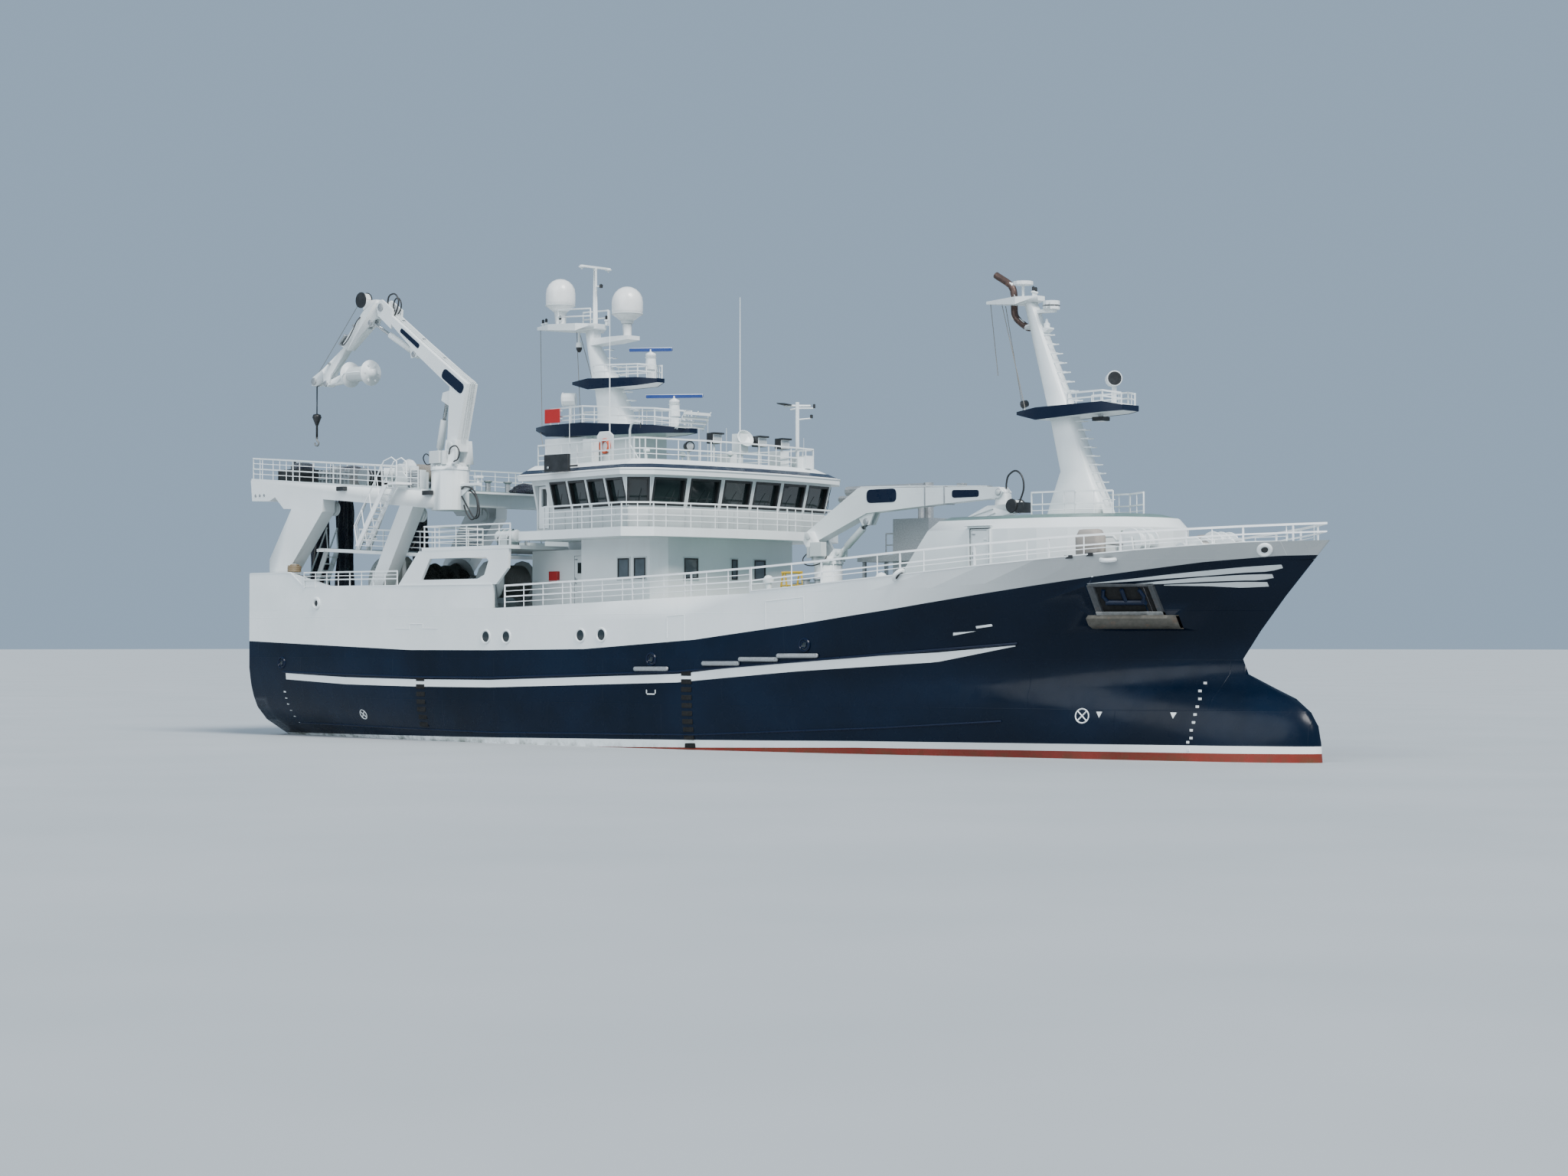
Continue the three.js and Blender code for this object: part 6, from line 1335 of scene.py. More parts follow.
def makeMastDetail():
    spec = mastSpec
    for name, path, count, size, reach in spec["steps"]:
        makeSteps(name, path, count, size, reach)
    skirts = bmesh.new()
    for label in ("lowSkirt", "highSkirt", "foreSkirt"):
        addSkirt(skirts, spec[label])
    finishPiece(skirts, "platform_skirts", "navy", bothSides=True)
    ends = bmesh.new()
    for x, half, low, high in spec["platformEnds"]:
        addBox(ends, (x, -half, low), (x + 0.03, half, high))
    finishPiece(ends, "platform_ends", "navy")
    white, dark, lens, wire = newShapes(4)
    # slatted panel at the fore end of the low platform
    for k in range(4):
        z = 12.45 + k * 0.17
        addBox(white, (-4.05 + 0.12 * k, -0.75, z), (-4.02 + 0.12 * k, 0.75, z + 0.12))
    for y in (-0.72, 0.72, 0):
        addRod(white, (-4.1, y, 12.4), (-3.62, y, 13.12), 0.025, 6)
    for side in (-1, 1):
        addRod(white, (-4.6, side * 0.4, 12.45), (-4.05, side * 0.7, 12.5), 0.03, 6)
    # radar pedestals
    for x, z in ((-4.96, 13.5), (-6.3, 15.45)):
        addTurned(white, [(0.24, -0.5), (0.2, -0.05), (0.24, 0.0)], (x, 0, z - 0.02), (0, 0, 1), 14)
    lampWay, floodWay, searchWay = (-0.45, -0.3, 0), (-1, 0, -0.2), (0.4, -0.4, 0)
    # searchlight on the low platform, camera under the top one, lamps
    addTurned(dark, [(0.2, 0), (0.17, 0.03), (0, 0.05)], (-11.26, -0.21, 14.0), lampWay, 16)
    addRing(white, (-11.25, -0.2, 14.0), lampWay, 0.27, 0.03, 18, 5)
    addRod(white, (-10.5, 0, 16.9), (-10.5, 0, 16.3), 0.05, 8)
    addTurned(white, [(0.12, 0.2), (0.14, 0.05), (0.14, 0)], (-10.5, 0, 16.12), (0, 0, 1), 14)
    addTurned(dark, spec["camera"], (-10.5, 0, 16.13), (0, 0, 1), 14)
    for x, y, z in spec["lampPlaces"]:
        addTurned(white, spec["lampFoot"], (x, y, z), (0, 0, 1), 10)
        addTurned(dark, spec["lampGlass"], (x, y, z), (0, 0, 1), 10)
    addRod(white, (-9.55, 0, 18.55), (-9.25, 0, 18.55), 0.03, 6)
    addTurned(dark, [(0.07, -0.08), (0.08, 0.05), (0, 0.1)], (-9.2, 0, 18.55), (0, 0, 1), 10)
    for y in (-0.75, 0.75):
        addTurned(white, spec["aerialCap"], (-9.55, y, 19.2), (0, 0, 1), 12)
    addTurned(white, spec["smallCap"], (-9.55, 0, 19.15), (0, 0, 1), 10)
    # fore mast: platform lamps, bracket lamp, dish rim
    for x, y in ((12.75, 0.0), (13.7, 0.35)):
        addRod(white, (x, y, 12.2), (x, y, 12.42), 0.03, 6)
        addTurned(dark, spec["floodlight"], (x, y, 12.5), floodWay, 12)
        addTurned(lens, [(0.125, 0), (0.1, 0.02), (0, 0.03)], Vector((x, y, 12.5))
                  + Vector(floodWay).normalized() * 0.1, floodWay, 12)
    addBox(dark, (15.9, -0.22, 11.72), (16.35, 0.22, 11.86))
    addBox(lens, (15.95, -0.17, 11.705), (16.3, 0.17, 11.722))
    addBox(white, (16.05, -0.05, 11.84), (16.2, 0.05, 12.02))
    addPrism(white, spec["lampShelf"], "y", -0.16, 0.16)
    addTurned(white, spec["lampPost"], (13.75, 0, 15.15), (0, 0, 1), 12)
    addRing(dark, (13.95, 0, 15.93), (0, 0, 1), 0.3, 0.02, 20, 4)
    addTurned(dark, spec["searchlight"], (16.9, -0.25, 13.15), searchWay, 18)
    addRing(white, (16.92, -0.27, 13.15), searchWay, 0.25, 0.025, 20, 5)
    # wires and halyards
    for a, b in spec["wires"]:
        addRod(wire, a, b, 0.014, 5)
    finishPiece(white, "mast_fittings", "white", bevel=0.008)
    finishPiece(dark, "mast_lamps", "black")
    finishPiece(lens, "mast_lenses", "lens")
    finishPiece(wire, "mast_wires", "greyRope")
    board = bmesh.new()
    addBox(board, (-11.05, -1.42, 12.93), (-10.15, -1.38, 13.5))
    finishPiece(board, "red_board", "red", bevel=0.01)
    edge = bmesh.new()
    for x in (-11.0, -10.2):
        for z in (13.1, 13.42):
            addRod(edge, (x, -1.38, z), (x, -1.02 if x < -10.5 else -1.2, z), 0.02, 6)
    finishPiece(edge, "red_board_frame", "white")
    # exhaust beside the fore mast, over the CAD pipe
    pipe = bmesh.new()
    addTube(pipe, smoothPath(spec["exhaust"], 30), 0.128, 14)
    finishPiece(pipe, "exhaust_pipe", "exhaust")
    # seams and bases of the domes, bars of the scanners
    domes = bmesh.new()
    for x, z, r in spec["domes"]:
        addRing(domes, (x, 0, z + 0.26), (0, 0, 1), r * 0.985, 0.02, 32, 5)
        addTurned(domes, spec["domeFoot"], (x, 0, z), (0, 0, 1), 16)
    finishPiece(domes, "dome_seams", "panel")
    for name, x, z, length in spec["scanners"]:
        bar = bmesh.new()
        ahead = Vector((math.cos(math.radians(35)), math.sin(math.radians(35)), 0))
        across = Vector((-ahead.y, ahead.x, 0))
        rows = []
        for s in (-1, -0.97, 0.97, 1):
            fat = 0.6 if abs(s) == 1 else 1.0
            centre = Vector((x, 0, z + 0.3)) + ahead * s * (length / 2 + 0.01)
            rows.append([centre + across * c * 0.072 * fat + Vector((0, 0, d * 0.08 * fat)) for c, d in
                         spec["scannerSection"]])
        addLoft(bar, rows)
        finishPiece(bar, name + "_bar", "radarBlue", body=name)


makeMastDetail()
print("masts made")


# Hoses: rubber tubes along smooth paths; one with an end body is left on no body

def makeHose(name, body, base, points, diameter, endBody=None):
    # each point is x, the reach past y = base, and z
    path = [p * modelScale for p in smoothPath([(x, base + out, z) for x, out, z in points], 28)]
    shape = bmesh.new()
    addTube(shape, [p / modelScale for p in path], diameter / 2, 10)
    piece = finishPiece(shape, name, "rubber", body=None if endBody else body)
    if endBody:
        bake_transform(piece)


# Aft crane: plates, pins, winch, wires and the net block

def addPlaque(shape, corners, y0, y1, roundness):
    # a plate with rounded corners between two lines of [x, z] points
    ring = [Vector((x, 0, z)) for x, z in corners]
    outline = []
    for i, corner in enumerate(ring):
        before, after = ring[i - 1], ring[(i + 1) % 4]
        size = min((before - corner).length, (after - corner).length) * roundness
        first = corner + (before - corner).normalized() * size
        last = corner + (after - corner).normalized() * size
        for t in (0, 0.25, 0.5, 0.75, 1):
            p = lerp(lerp(first, corner, t), lerp(corner, last, t), t)
            outline.append((p.x, p.z))
    addPrism(shape, outline, "y", y0, y1)


def makeBoomPlates(name, body, y, half, plates, roundness):
    shape = bmesh.new()
    for side in (-1, 1):
        face = y + side * half
        inner, outer = sorted((face - side * 0.01, face + side * 0.02))
        for corners in plates:
            addPlaque(shape, corners, inner, outer, roundness)
    finishPiece(shape, name, "navy", body=body, bevel=0.008)


def addBolts(shape, x, y, z, ring, count, radius):
    # a ring of bolt heads round a column's foot
    for a in anglesOf(count):
        at = (x + ring * math.cos(a), y + ring * math.sin(a), z)
        addTurned(shape, [(radius, -0.01), (radius, 0.05), (0, 0.06)], at, (0, 0, 1), 6)


def addHeads(shape, x, y, z, half, radius):
    # the two heads of a pin that lies along y
    for side in (-1, 1):
        addTurned(shape, [(radius, -0.01), (radius, 0.03), (radius * 0.75, 0.045), (0, 0.045)],
                  (x, y + side * half, z), (0, side, 0), 14)


aftCraneSpec = {
    "y": -4.4,
    "winchAt": (-19.01, 18.36),
    "sheaveAt": (-22.15, 15.12),
    "blockLevel": 15.28,
    "heelPlate": [(-16.2, 16.98), (-15.02, 16.2), (-15.13, 16.03), (-16.3, 16.82)],
    "footPlate": [(-13.47, 15.16), (-12.22, 14.35), (-12.45, 13.98), (-13.71, 14.8)],
    "outerHose": [(-17.15, -0.12, 17.72), (-17.3, -0.12, 18.1), (-17.2, -0.12, 18.4),
                  (-16.85, -0.12, 18.45), (-16.62, -0.12, 18.2), (-16.66, -0.12, 17.9),
                  (-16.85, -0.12, 17.55)],
    "innerHose": [(-17.1, 0.1, 17.7), (-17.2, 0.1, 18.0), (-17.08, 0.1, 18.26), (-16.85, 0.1, 18.28),
                  (-16.7, 0.1, 18.05), (-16.75, 0.1, 17.8), (-16.95, 0.1, 17.6)],
    "winch": [(0, -0.19), (0.33, -0.19), (0.34, -0.15), (0.27, -0.14), (0.27, 0.14), (0.34, 0.15),
              (0.33, 0.19), (0, 0.19)],
    "sheave": [(0.2, -0.07), (0.22, -0.06), (0.17, -0.02), (0.17, 0.02), (0.22, 0.06), (0.2, 0.07)],
    "bracket": [(-19.9, 16.9), (-20.3, 16.55), (-20.36, 16.62), (-19.95, 16.98)],
    "jibHose": [(-19.0, -0.2, 17.65), (-19.1, -0.32, 17.45), (-19.3, -0.36, 17.1), (-19.6, -0.36, 16.75),
                (-19.95, -0.3, 16.55), (-20.2, -0.2, 16.55)],
    "blockCore": [(0.31, 0), (0.34, 0.08), (0.31, 0.5), (0.34, 1.1), (0.31, 1.2)],
    "foreFootHose": [(-13.0, -0.47, 11.6), (-12.75, -0.6, 11.84), (-12.35, -0.66, 11.9),
                     (-12.15, -0.66, 11.66), (-12.3, -0.6, 11.38), (-12.7, -0.47, 11.3)],
    "aftFootHose": [(-13.9, -0.53, 11.26), (-13.98, -0.62, 11.52), (-14.25, -0.62, 11.66),
                    (-14.5, -0.55, 11.5), (-14.5, -0.38, 11.25), (-14.3, -0.22, 11.3)],
}


def makeAftCrane():
    spec = aftCraneSpec
    y, boom, jibBody = spec["y"], "aft_crane_boom", "aft_crane_jib"
    winchX, winchZ = spec["winchAt"]
    sheaveX, sheaveZ = spec["sheaveAt"]
    blockZ = spec["blockLevel"]
    makeBoomPlates("aft_boom_plates", boom, y, 0.3, (spec["heelPlate"], spec["footPlate"]), 0.45)
    heads = bmesh.new()
    addHeads(heads, -17.55, y, 17.93, 0.3, 0.17)
    addHeads(heads, -15.55, y, 15.85, 0.19, 0.12)
    for t in (0.15, 0.5, 0.85):
        x, z = lerp(-13.3, -17.0, t), lerp(15.2, 17.65, t)
        addBox(heads, (x - 0.06, y - 0.06, z - 0.02), (x + 0.06, y + 0.06, z + 0.06))
    finishPiece(heads, "aft_boom_pins", "galvanised", body=boom)
    pipes = bmesh.new()
    for off in (-0.1, 0.0, 0.1):
        addTube(pipes, [(-12.0, y + off, 14.47), (-13.6, y + off, 15.44), (-15.0, y + off, 16.36),
                        (-17.1, y + off, 17.75)], 0.022, 6)
        addTube(pipes, [(-12.55, y + off, 12.2), (-12.05, y + off, 14.4), (-12.02, y + off, 14.47)], 0.022,
                6)
    finishPiece(pipes, "aft_boom_pipes", "panel", body=boom)
    makeHose("aft_knuckle_hose_outer", boom, y, spec["outerHose"], 0.07)
    makeHose("aft_knuckle_hose_inner", boom, y, spec["innerHose"], 0.06)
    winch = bmesh.new()
    addTurned(winch, spec["winch"], (winchX, y, winchZ), (0, 1, 0), 22)
    finishPiece(winch, "aft_jib_winch", "black", body=jibBody)
    wire = bmesh.new()
    for k in range(9):
        addRing(wire, (winchX, y - 0.12 + k * 0.03, winchZ), (0, 1, 0), 0.282, 0.016, 24, 5)
    addRod(wire, (-19.29, y, 18.3), (-22.28, y, 15.25), 0.014, 6)
    finishPiece(wire, "aft_jib_wire", "wire", body=jibBody)
    jib = bmesh.new()
    addHeads(jib, -18.36, y, 17.36, 0.19, 0.12)
    addHeads(jib, -21.3, y, 14.98, 0.2, 0.13)
    addHeads(jib, sheaveX, y, sheaveZ, 0.17, 0.16)
    addTurned(jib, spec["sheave"], (sheaveX, y, sheaveZ), (0, 1, 0), 18)
    addPrism(jib, spec["bracket"], "y", y - 0.3, y + 0.3)
    for t in (0.2, 0.5, 0.8):
        x, z = lerp(-18.9, -21.6, t), lerp(17.95, 15.45, t)
        addBox(jib, (x - 0.08, y - 0.24, z - 0.16), (x + 0.04, y + 0.24, z - 0.08))
    finishPiece(jib, "aft_jib_fittings", "galvanised", body=jibBody, bevel=0.008)
    makeHose("aft_jib_hose", jibBody, y, spec["jibHose"], 0.05)
    block = bmesh.new()
    for x in (-19.95, -18.62):
        addRing(block, (x + 0.06, y, blockZ), (1, 0, 0), 0.5, 0.045, 30, 8)
    for a in anglesOf(6):
        addTurned(block, [(0.05, 0), (0.05, 0.03), (0, 0.04)], (-18.5, y + 0.36 * math.cos(a),
                                                                blockZ + 0.36 * math.sin(a)), (1, 0, 0), 8)
    addTube(block, [(-21.2, y - 0.13, 14.92), (-20.4, y - 0.3, 14.98), (-19.6, y - 0.56, blockZ),
                    (-18.9, y - 0.58, 15.3), (-18.5, y - 0.4, 15.3)], 0.035, 6)
    finishPiece(block, "net_block_rims", "white", body="aft_crane_net_block")
    core = bmesh.new()
    addTurned(core, spec["blockCore"], (-19.83, y, blockZ), (1, 0, 0), 20)
    finishPiece(core, "net_block_rubber", "panel", body="aft_crane_net_block")
    hook = bmesh.new()
    addTube(hook, smoothPath([(-22.15, y, 12.78), (-22.15, y, 12.62), (-22.02, y, 12.5), (-22.1, y, 12.38),
                              (-22.26, y, 12.42), (-22.28, y, 12.52)], 14), 0.035, 8)
    for k in range(4):
        addRing(hook, (-22.15, y, 12.72), (1, 0, 0) if k % 2 else (0, 1, 0), 0.05, 0.015, 12, 5)
    finishPiece(hook, "crane_hook", "wire", body="aft_crane_hook")
    column = bmesh.new()
    addBolts(column, -13.45, y, 11.11, 0.73, 20, 0.035)
    addHeads(column, -12.95, y, 11.95, 0.47, 0.16)
    addHeads(column, -14.2, y, 11.5, 0.22, 0.1)
    addBox(column, (-13.9, y - 0.75, 11.25), (-13.3, y - 0.5, 11.75))
    addRod(column, (-13.2, y - 0.55, 11.2), (-13.2, y - 0.55, 11.75), 0.12, 12)
    addRod(column, (-13.6, y + 0.6, 11.2), (-13.6, y + 0.6, 11.8), 0.14, 12)
    finishPiece(column, "aft_column_fittings", "panel", body="aft_crane_column", bevel=0.008)
    makeHose("aft_foot_hose_fore", "aft_crane_column", y, spec["foreFootHose"], 0.06)
    makeHose("aft_foot_hose_aft", "aft_crane_column", y, spec["aftFootHose"], 0.05)


makeAftCrane()


# Fore crane: plates, the hose arch, the winch and the pipes on the boom

foreCraneSpec = {
    "y": 2.0,
    "heelPlate": [(3.72, 9.82), (5.22, 9.82), (5.22, 9.3), (3.72, 9.3)],
    "endPlate": [(7.95, 9.66), (9.24, 9.62), (9.24, 9.36), (7.95, 9.36)],
    "boxes": ((5.6, 9.84, 0.12), (8.2, 9.77, 0.16), (9.1, 9.73, 0.08), (9.5, 9.71, 0.07)),
    "archHose": [(10.31, 0, 9.63), (10.32, 0, 9.85), (10.42, 0, 10.12), (10.75, 0, 10.28),
                 (11.05, 0, 10.05), (11.12, 0, 9.6), (10.93, 0, 9.12)],
    "winch": [(0, -0.29), (0.25, -0.29), (0.27, -0.24), (0.2, -0.22), (0.2, 0.22), (0.27, 0.24),
              (0.25, 0.29), (0, 0.29)],
    "struts": (((10.0, 8.85), (7.6, 8.0)), ((9.9, 9.0), (8.6, 8.58))),
    "footHose": [(1.2, -0.41, 7.5), (0.95, -0.55, 7.45), (0.78, -0.68, 7.22), (0.95, -0.74, 7.0),
                 (1.4, -0.74, 6.95), (1.8, -0.64, 7.1), (1.8, -0.44, 7.3)],
}


def makeForeCrane():
    spec = foreCraneSpec
    y, boom, jibBody = spec["y"], "fore_crane_boom", "fore_crane_jib"
    makeBoomPlates("fore_boom_plates", boom, y, 0.28, (spec["heelPlate"], spec["endPlate"]), 0.4)
    trim = bmesh.new()
    for x, low, high in ((7.55, 9.17, 9.8), (6.6, 9.13, 9.82)):
        addBox(trim, (x, y - 0.3, low - 0.04), (x + 0.06, y + 0.3, high + 0.02))
    for x, z, size in spec["boxes"]:
        addBox(trim, (x - size, y - 0.12, z - 0.03), (x + size, y + 0.12, z + size * 0.9))
    addHeads(trim, 10.15, y, 9.5, 0.28, 0.13)
    addHeads(trim, 3.6, y, 8.6, 0.19, 0.13)
    finishPiece(trim, "fore_boom_trim", "galvanised", body=boom, bevel=0.01)
    pipes = bmesh.new()
    for off in (-0.12, 0.0, 0.12):
        addTube(pipes, [(0.75, y + off, 8.4), (3.3, y + off, 9.94), (6.0, y + off, 9.88),
                        (9.5, y + off, 9.75)], 0.022, 6)
    finishPiece(pipes, "fore_boom_pipes", "panel", body=boom)
    makeHose("fore_arch_hose", boom, y, spec["archHose"], 0.07, jibBody)
    winch = bmesh.new()
    addTurned(winch, spec["winch"], (10.75, y, 8.98), (0, 1, 0), 18)
    addBox(winch, (10.9, y - 0.24, 8.72), (11.3, y + 0.24, 9.1))
    finishPiece(winch, "fore_jib_winch", "black", body=jibBody, bevel=0.012)
    arm = bmesh.new()
    for (x0, z0), (x1, z1) in spec["struts"]:
        for side in (-0.25, 0.25):
            addRod(arm, (x0, y + side, z0 - 0.1), (x1, y + side, z1), 0.03, 6)
    addHeads(arm, 10.15, y, 9.5, 0.3, 0.1)
    finishPiece(arm, "fore_jib_fittings", "panel", body=jibBody)
    column = bmesh.new()
    addBolts(column, 1.5, y, 7.12, 0.55, 16, 0.03)
    addHeads(column, 0.79, y, 8.1, 0.41, 0.14)
    addHeads(column, 2.15, y, 7.42, 0.22, 0.1)
    addBox(column, (1.2, y - 0.75, 7.3), (1.8, y - 0.45, 7.85))
    addRod(column, (1.0, y - 0.55, 7.25), (1.0, y - 0.55, 7.7), 0.11, 12)
    finishPiece(column, "fore_column_fittings", "panel", body="fore_crane_column", bevel=0.01)
    makeHose("fore_foot_hose", "fore_crane_column", y, spec["footHose"], 0.05)


makeForeCrane()
print("cranes made")


# Working gear on the gantry deck

def gantryTop(x):
    return 11.0 + (x + 25.7) * -0.0742


def addBumps(shape, centre, size, seed):
    # a lumpy heap of net or rope
    made = bmesh.ops.create_icosphere(shape, subdivisions=3, radius=1.0)
    for vertex in made["verts"]:
        p = vertex.co.copy()
        coarse = 0.28 * noise.noise(p * 1.7 + Vector((seed, 0, 0)))
        fine = 0.10 * noise.noise(p * 5 + Vector((0, seed, 0)))
        swell = 1 + coarse + fine
        vertex.co = Vector((p.x * size[0] * swell, p.y * size[1] * swell,
                            max(p.z, -0.55) * size[2] * swell)) + Vector(centre)


gantrySpec = {
    "heaps": [(-24.6, 1.2, 0.25, (0.8, 1.3, 0.5), 5.0), (-21.8, 2.8, 0.22, (1.0, 0.9, 0.42), 9.3),
              (-16.2, 2.6, 0.18, (0.7, 1.1, 0.35), 2.2)],
    "motorCap": [(0.3, 0), (0.34, 0.05), (0.34, 0.3), (0.28, 0.34), (0, 0.36)],
    "bollard": [(0.12, 0), (0.12, 0.4), (0.2, 0.45), (0.2, 0.5), (0, 0.52)],
    "stud": [(0.07, 0), (0.07, 0.015), (0.05, 0.02), (0, 0.02)],
    "blockPlaces": ((-21.2, -4.2), (-21.2, 4.2), (-15.4, -4.3), (-15.4, 4.3)),
    "block": [(0, -0.1), (0.3, -0.1), (0.32, -0.06), (0.22, -0.03), (0.22, 0.03), (0.32, 0.06), (0.3, 0.1),
              (0, 0.1)],
}


def makeGantryGear():
    spec = gantrySpec
    black, grey, white, net, lens = newShapes(5)

    def over(target, x0, x1, y0, y1, height):
        # a box that stands a little proud of a CAD box, from the deck to its top
        grow = 0.02
        top = gantryTop(x1) + height + grow
        addBox(target, (x0 - grow, y0 - grow, gantryTop(x1) + 0.06), (x1 + grow, y1 + grow, top))
        return top
    top = over(black, -25.0, -23.7, -4.2, -2.9, 0.6)
    for x in steps(-25.0, -23.7, 0.43):
        addBox(black, (x - 0.03, -4.26, gantryTop(x) + 0.06), (x + 0.03, -4.2, top))
    addRing(black, (-24.7, -3.6, top + 0.18), (0.3, 1, 0), 0.16, 0.05, 16, 6)
    addBumps(net, (-24.3, -3.5, top + 0.02), (0.6, 0.5, 0.28), 3.1)
    top = over(grey, -22.9, -20.9, -3.6, -2.3, 0.72)
    for x in steps(-22.9, -20.9, 0.25):
        addBox(grey, (x - 0.035, -3.68, gantryTop(x) + 0.06), (x + 0.035, -3.6, top + 0.02))
    level = gantryTop(-21.9)
    for z in (0.25, 0.5):
        addBox(grey, (-22.95, -3.7, level + z), (-20.85, -3.6, level + z + 0.06))
    addRod(grey, (-22.5, -3.0, top), (-22.5, -3.0, top + 0.2), 0.3, 16)
    addBumps(net, (-21.5, -3.0, top + 0.02), (0.5, 0.45, 0.16), 8.4)
    drumLevel = gantryTop(-19.9) + 0.42
    over(black, -20.4, -19.5, -3.4, -2.5, 0.66)
    addRod(black, (-19.95, -3.62, drumLevel), (-19.95, -2.3, drumLevel), 0.32, 18)
    for y in (-3.64, -3.48):
        addRod(grey, (-19.95, y, drumLevel), (-19.95, y + 0.04, drumLevel), 0.40, 20)
    # white motor beside the top drum
    addRod(white, (-18.9, -3.4, 11.1), (-18.5, -2.98, 11.1), 0.26, 16)
    addBox(white, (-19.1, -3.3, gantryTop(-18.8) + 0.06), (-18.6, -2.95, 11.0))
    addTurned(white, spec["motorCap"], (-17.9, -3.42, 11.15), (0, 1, 0), 18)
    # bracket with its rubber pads
    over(white, -16.6, -15.9, -4.5, -3.5, 0.75)
    addBox(black, (-16.4, -4.56, gantryTop(-16) + 0.45), (-16.1, -4.5, gantryTop(-16) + 0.7))
    addPrism(white, [(-16.9, gantryTop(-16.9) + 0.05), (-15.7, gantryTop(-15.7) + 0.05),
                     (-15.7, gantryTop(-15.7) + 0.3), (-16.2, gantryTop(-16) + 0.75),
                     (-16.5, gantryTop(-16) + 0.75)], "y", -4.62, -4.54)
    # grille between the posts and a locker
    for z in steps(0.15, 0.75, 0.1):
        addBox(grey, (-15.3, -5.12, gantryTop(-15) + z), (-14.6, -5.06, gantryTop(-15) + z + 0.05))
    addBox(white, (-15.35, -5.06, gantryTop(-15) + 0.05), (-14.55, -4.75, gantryTop(-15) + 0.82))
    # coils and net heaps on the deck
    for x, y, rise, size, seed in spec["heaps"]:
        addBumps(net, (x, y, gantryTop(x) + rise), size, seed)
    for x in (-18.9, -20.2):
        addTurned(grey, spec["bollard"], (x, 3.6, gantryTop(x) + 0.05), (0, 0, 1), 12)
    # floodlights under the beam
    for x in (-19.33, -13.8):
        z = gantryTop(x) - 0.02 if x > -14 else 10.46
        addBox(black, (x - 0.24, -5.42, z - 0.14), (x + 0.24, -5.2, z + 0.04))
        addBox(lens, (x - 0.2, -5.4, z - 0.155), (x + 0.2, -5.22, z - 0.14))
    for x in (-25.35, -25.05, -24.75):
        addTurned(grey, spec["stud"], (x, -5.2, 10.32), (0, -1, 0), 12)
    # blocks and sheaves under the deck
    for x, y in spec["blockPlaces"]:
        addTurned(white, spec["block"], (x, y, gantryTop(x) - 1.0), (0, 1, 0), 18)
        for near, far in ((-0.14, -0.1), (0.1, 0.14)):
            addBox(white, (x - 0.06, y + near, gantryTop(x) - 1.0), (x + 0.06, y + far, gantryTop(x) + 0.02))
    finishPiece(black, "gantry_black_gear", "black", bevel=0.015)
    finishPiece(grey, "gantry_grey_gear", "galvanised", bevel=0.012)
    finishPiece(white, "gantry_white_gear", "white", bevel=0.015)
    finishPiece(net, "gantry_net_heaps", "net", smoothAngle=80)
    finishPiece(lens, "gantry_lamp_lenses", "lens")


makeGantryGear()


def makeOutboardLadder():
    # from the mid deck's edge to the gantry deck, outside the starboard beam
    shape = bmesh.new()
    low, high = Vector((-17.5, 0, 7.95)), Vector((-15.6, 0, 10.55))
    for y in (-5.98, -5.46):
        addLoft(shape, [[(p.x - 0.1, y, p.z), (p.x + 0.14, y, p.z), (p.x + 0.14, y + 0.045, p.z),
                         (p.x - 0.1, y + 0.045, p.z)] for p in (low, high)])
        addTube(shape, [low + Vector((0, y + 0.02, 0.1)), low + Vector((-0.18, y + 0.02, 0.85)),
                        high + Vector((-0.18, y + 0.02, 0.85)),
                        high + Vector((0.3, y + 0.02, 0.98)), high + Vector((0.62, y + 0.02, 0.8)),
                        high + Vector((0.62, y + 0.02, 0.2))], 0.024, 8)
        for t in (0.25, 0.5, 0.75):
            foot = lerp(low, high, t) + Vector((0, y + 0.02, 0))
            addRod(shape, foot, foot + Vector((-0.18, 0, 0.85)), 0.02, 6)
    for k in range(1, 10):
        step = lerp(low, high, k / 10)
        addBox(shape, (step.x - 0.08, -5.95, step.z - 0.02), (step.x + 0.12, -5.45, step.z + 0.02))
    for at in (0.12, 0.97):
        hold = lerp(low, high, at)
        addRod(shape, (hold.x, -5.46, hold.z), (hold.x, -5.1, hold.z), 0.035, 8)
    addBox(shape, (-15.75, -5.98, 10.42), (-15.0, -5.1, 10.5))
    finishPiece(shape, "outboard_ladder", "railWhiteHighlit")


makeOutboardLadder()


def makeGantryHoses():
    x, y = -12.68, -4.4
    bracket = bmesh.new()
    addBox(bracket, (x - 0.05, y - 0.12, 10.3), (-11.65, y + 0.12, 10.42))
    addPrism(bracket, [(x - 0.03, 10.3), (x - 0.03, 9.9), (-12.1, 10.3)], "y", y - 0.04, y + 0.04)
    addRod(bracket, (-11.75, y, 10.36), (-11.75, y, 10.66), 0.05, 8)
    addBox(bracket, (-11.85, y - 0.16, 10.6), (-11.6, y + 0.16, 10.7))
    finishPiece(bracket, "hose_bracket", "white", bevel=0.01)
    makeHose("gantry_hose_long", "ship", y, [(x, -0.06, 10.2), (-12.35, -0.16, 10.28),
                                             (-11.8, -0.18, 10.1), (-11.5, -0.18, 9.5),
                                             (-11.5, -0.18, 9.08), (-11.8, -0.18, 9.0),
                                             (-12.25, -0.16, 9.5), (x, -0.06, 9.9)], 0.07)
    makeHose("gantry_hose_short", "ship", y, [(x, 0.06, 10.1), (-12.35, 0.14, 10.1), (-12.02, 0.16, 9.75),
                                              (-12.0, 0.16, 9.15), (-12.3, 0.14, 8.95), (-12.55, 0.1, 9.2),
                                              (x, 0.06, 9.55)], 0.06)


makeGantryHoses()


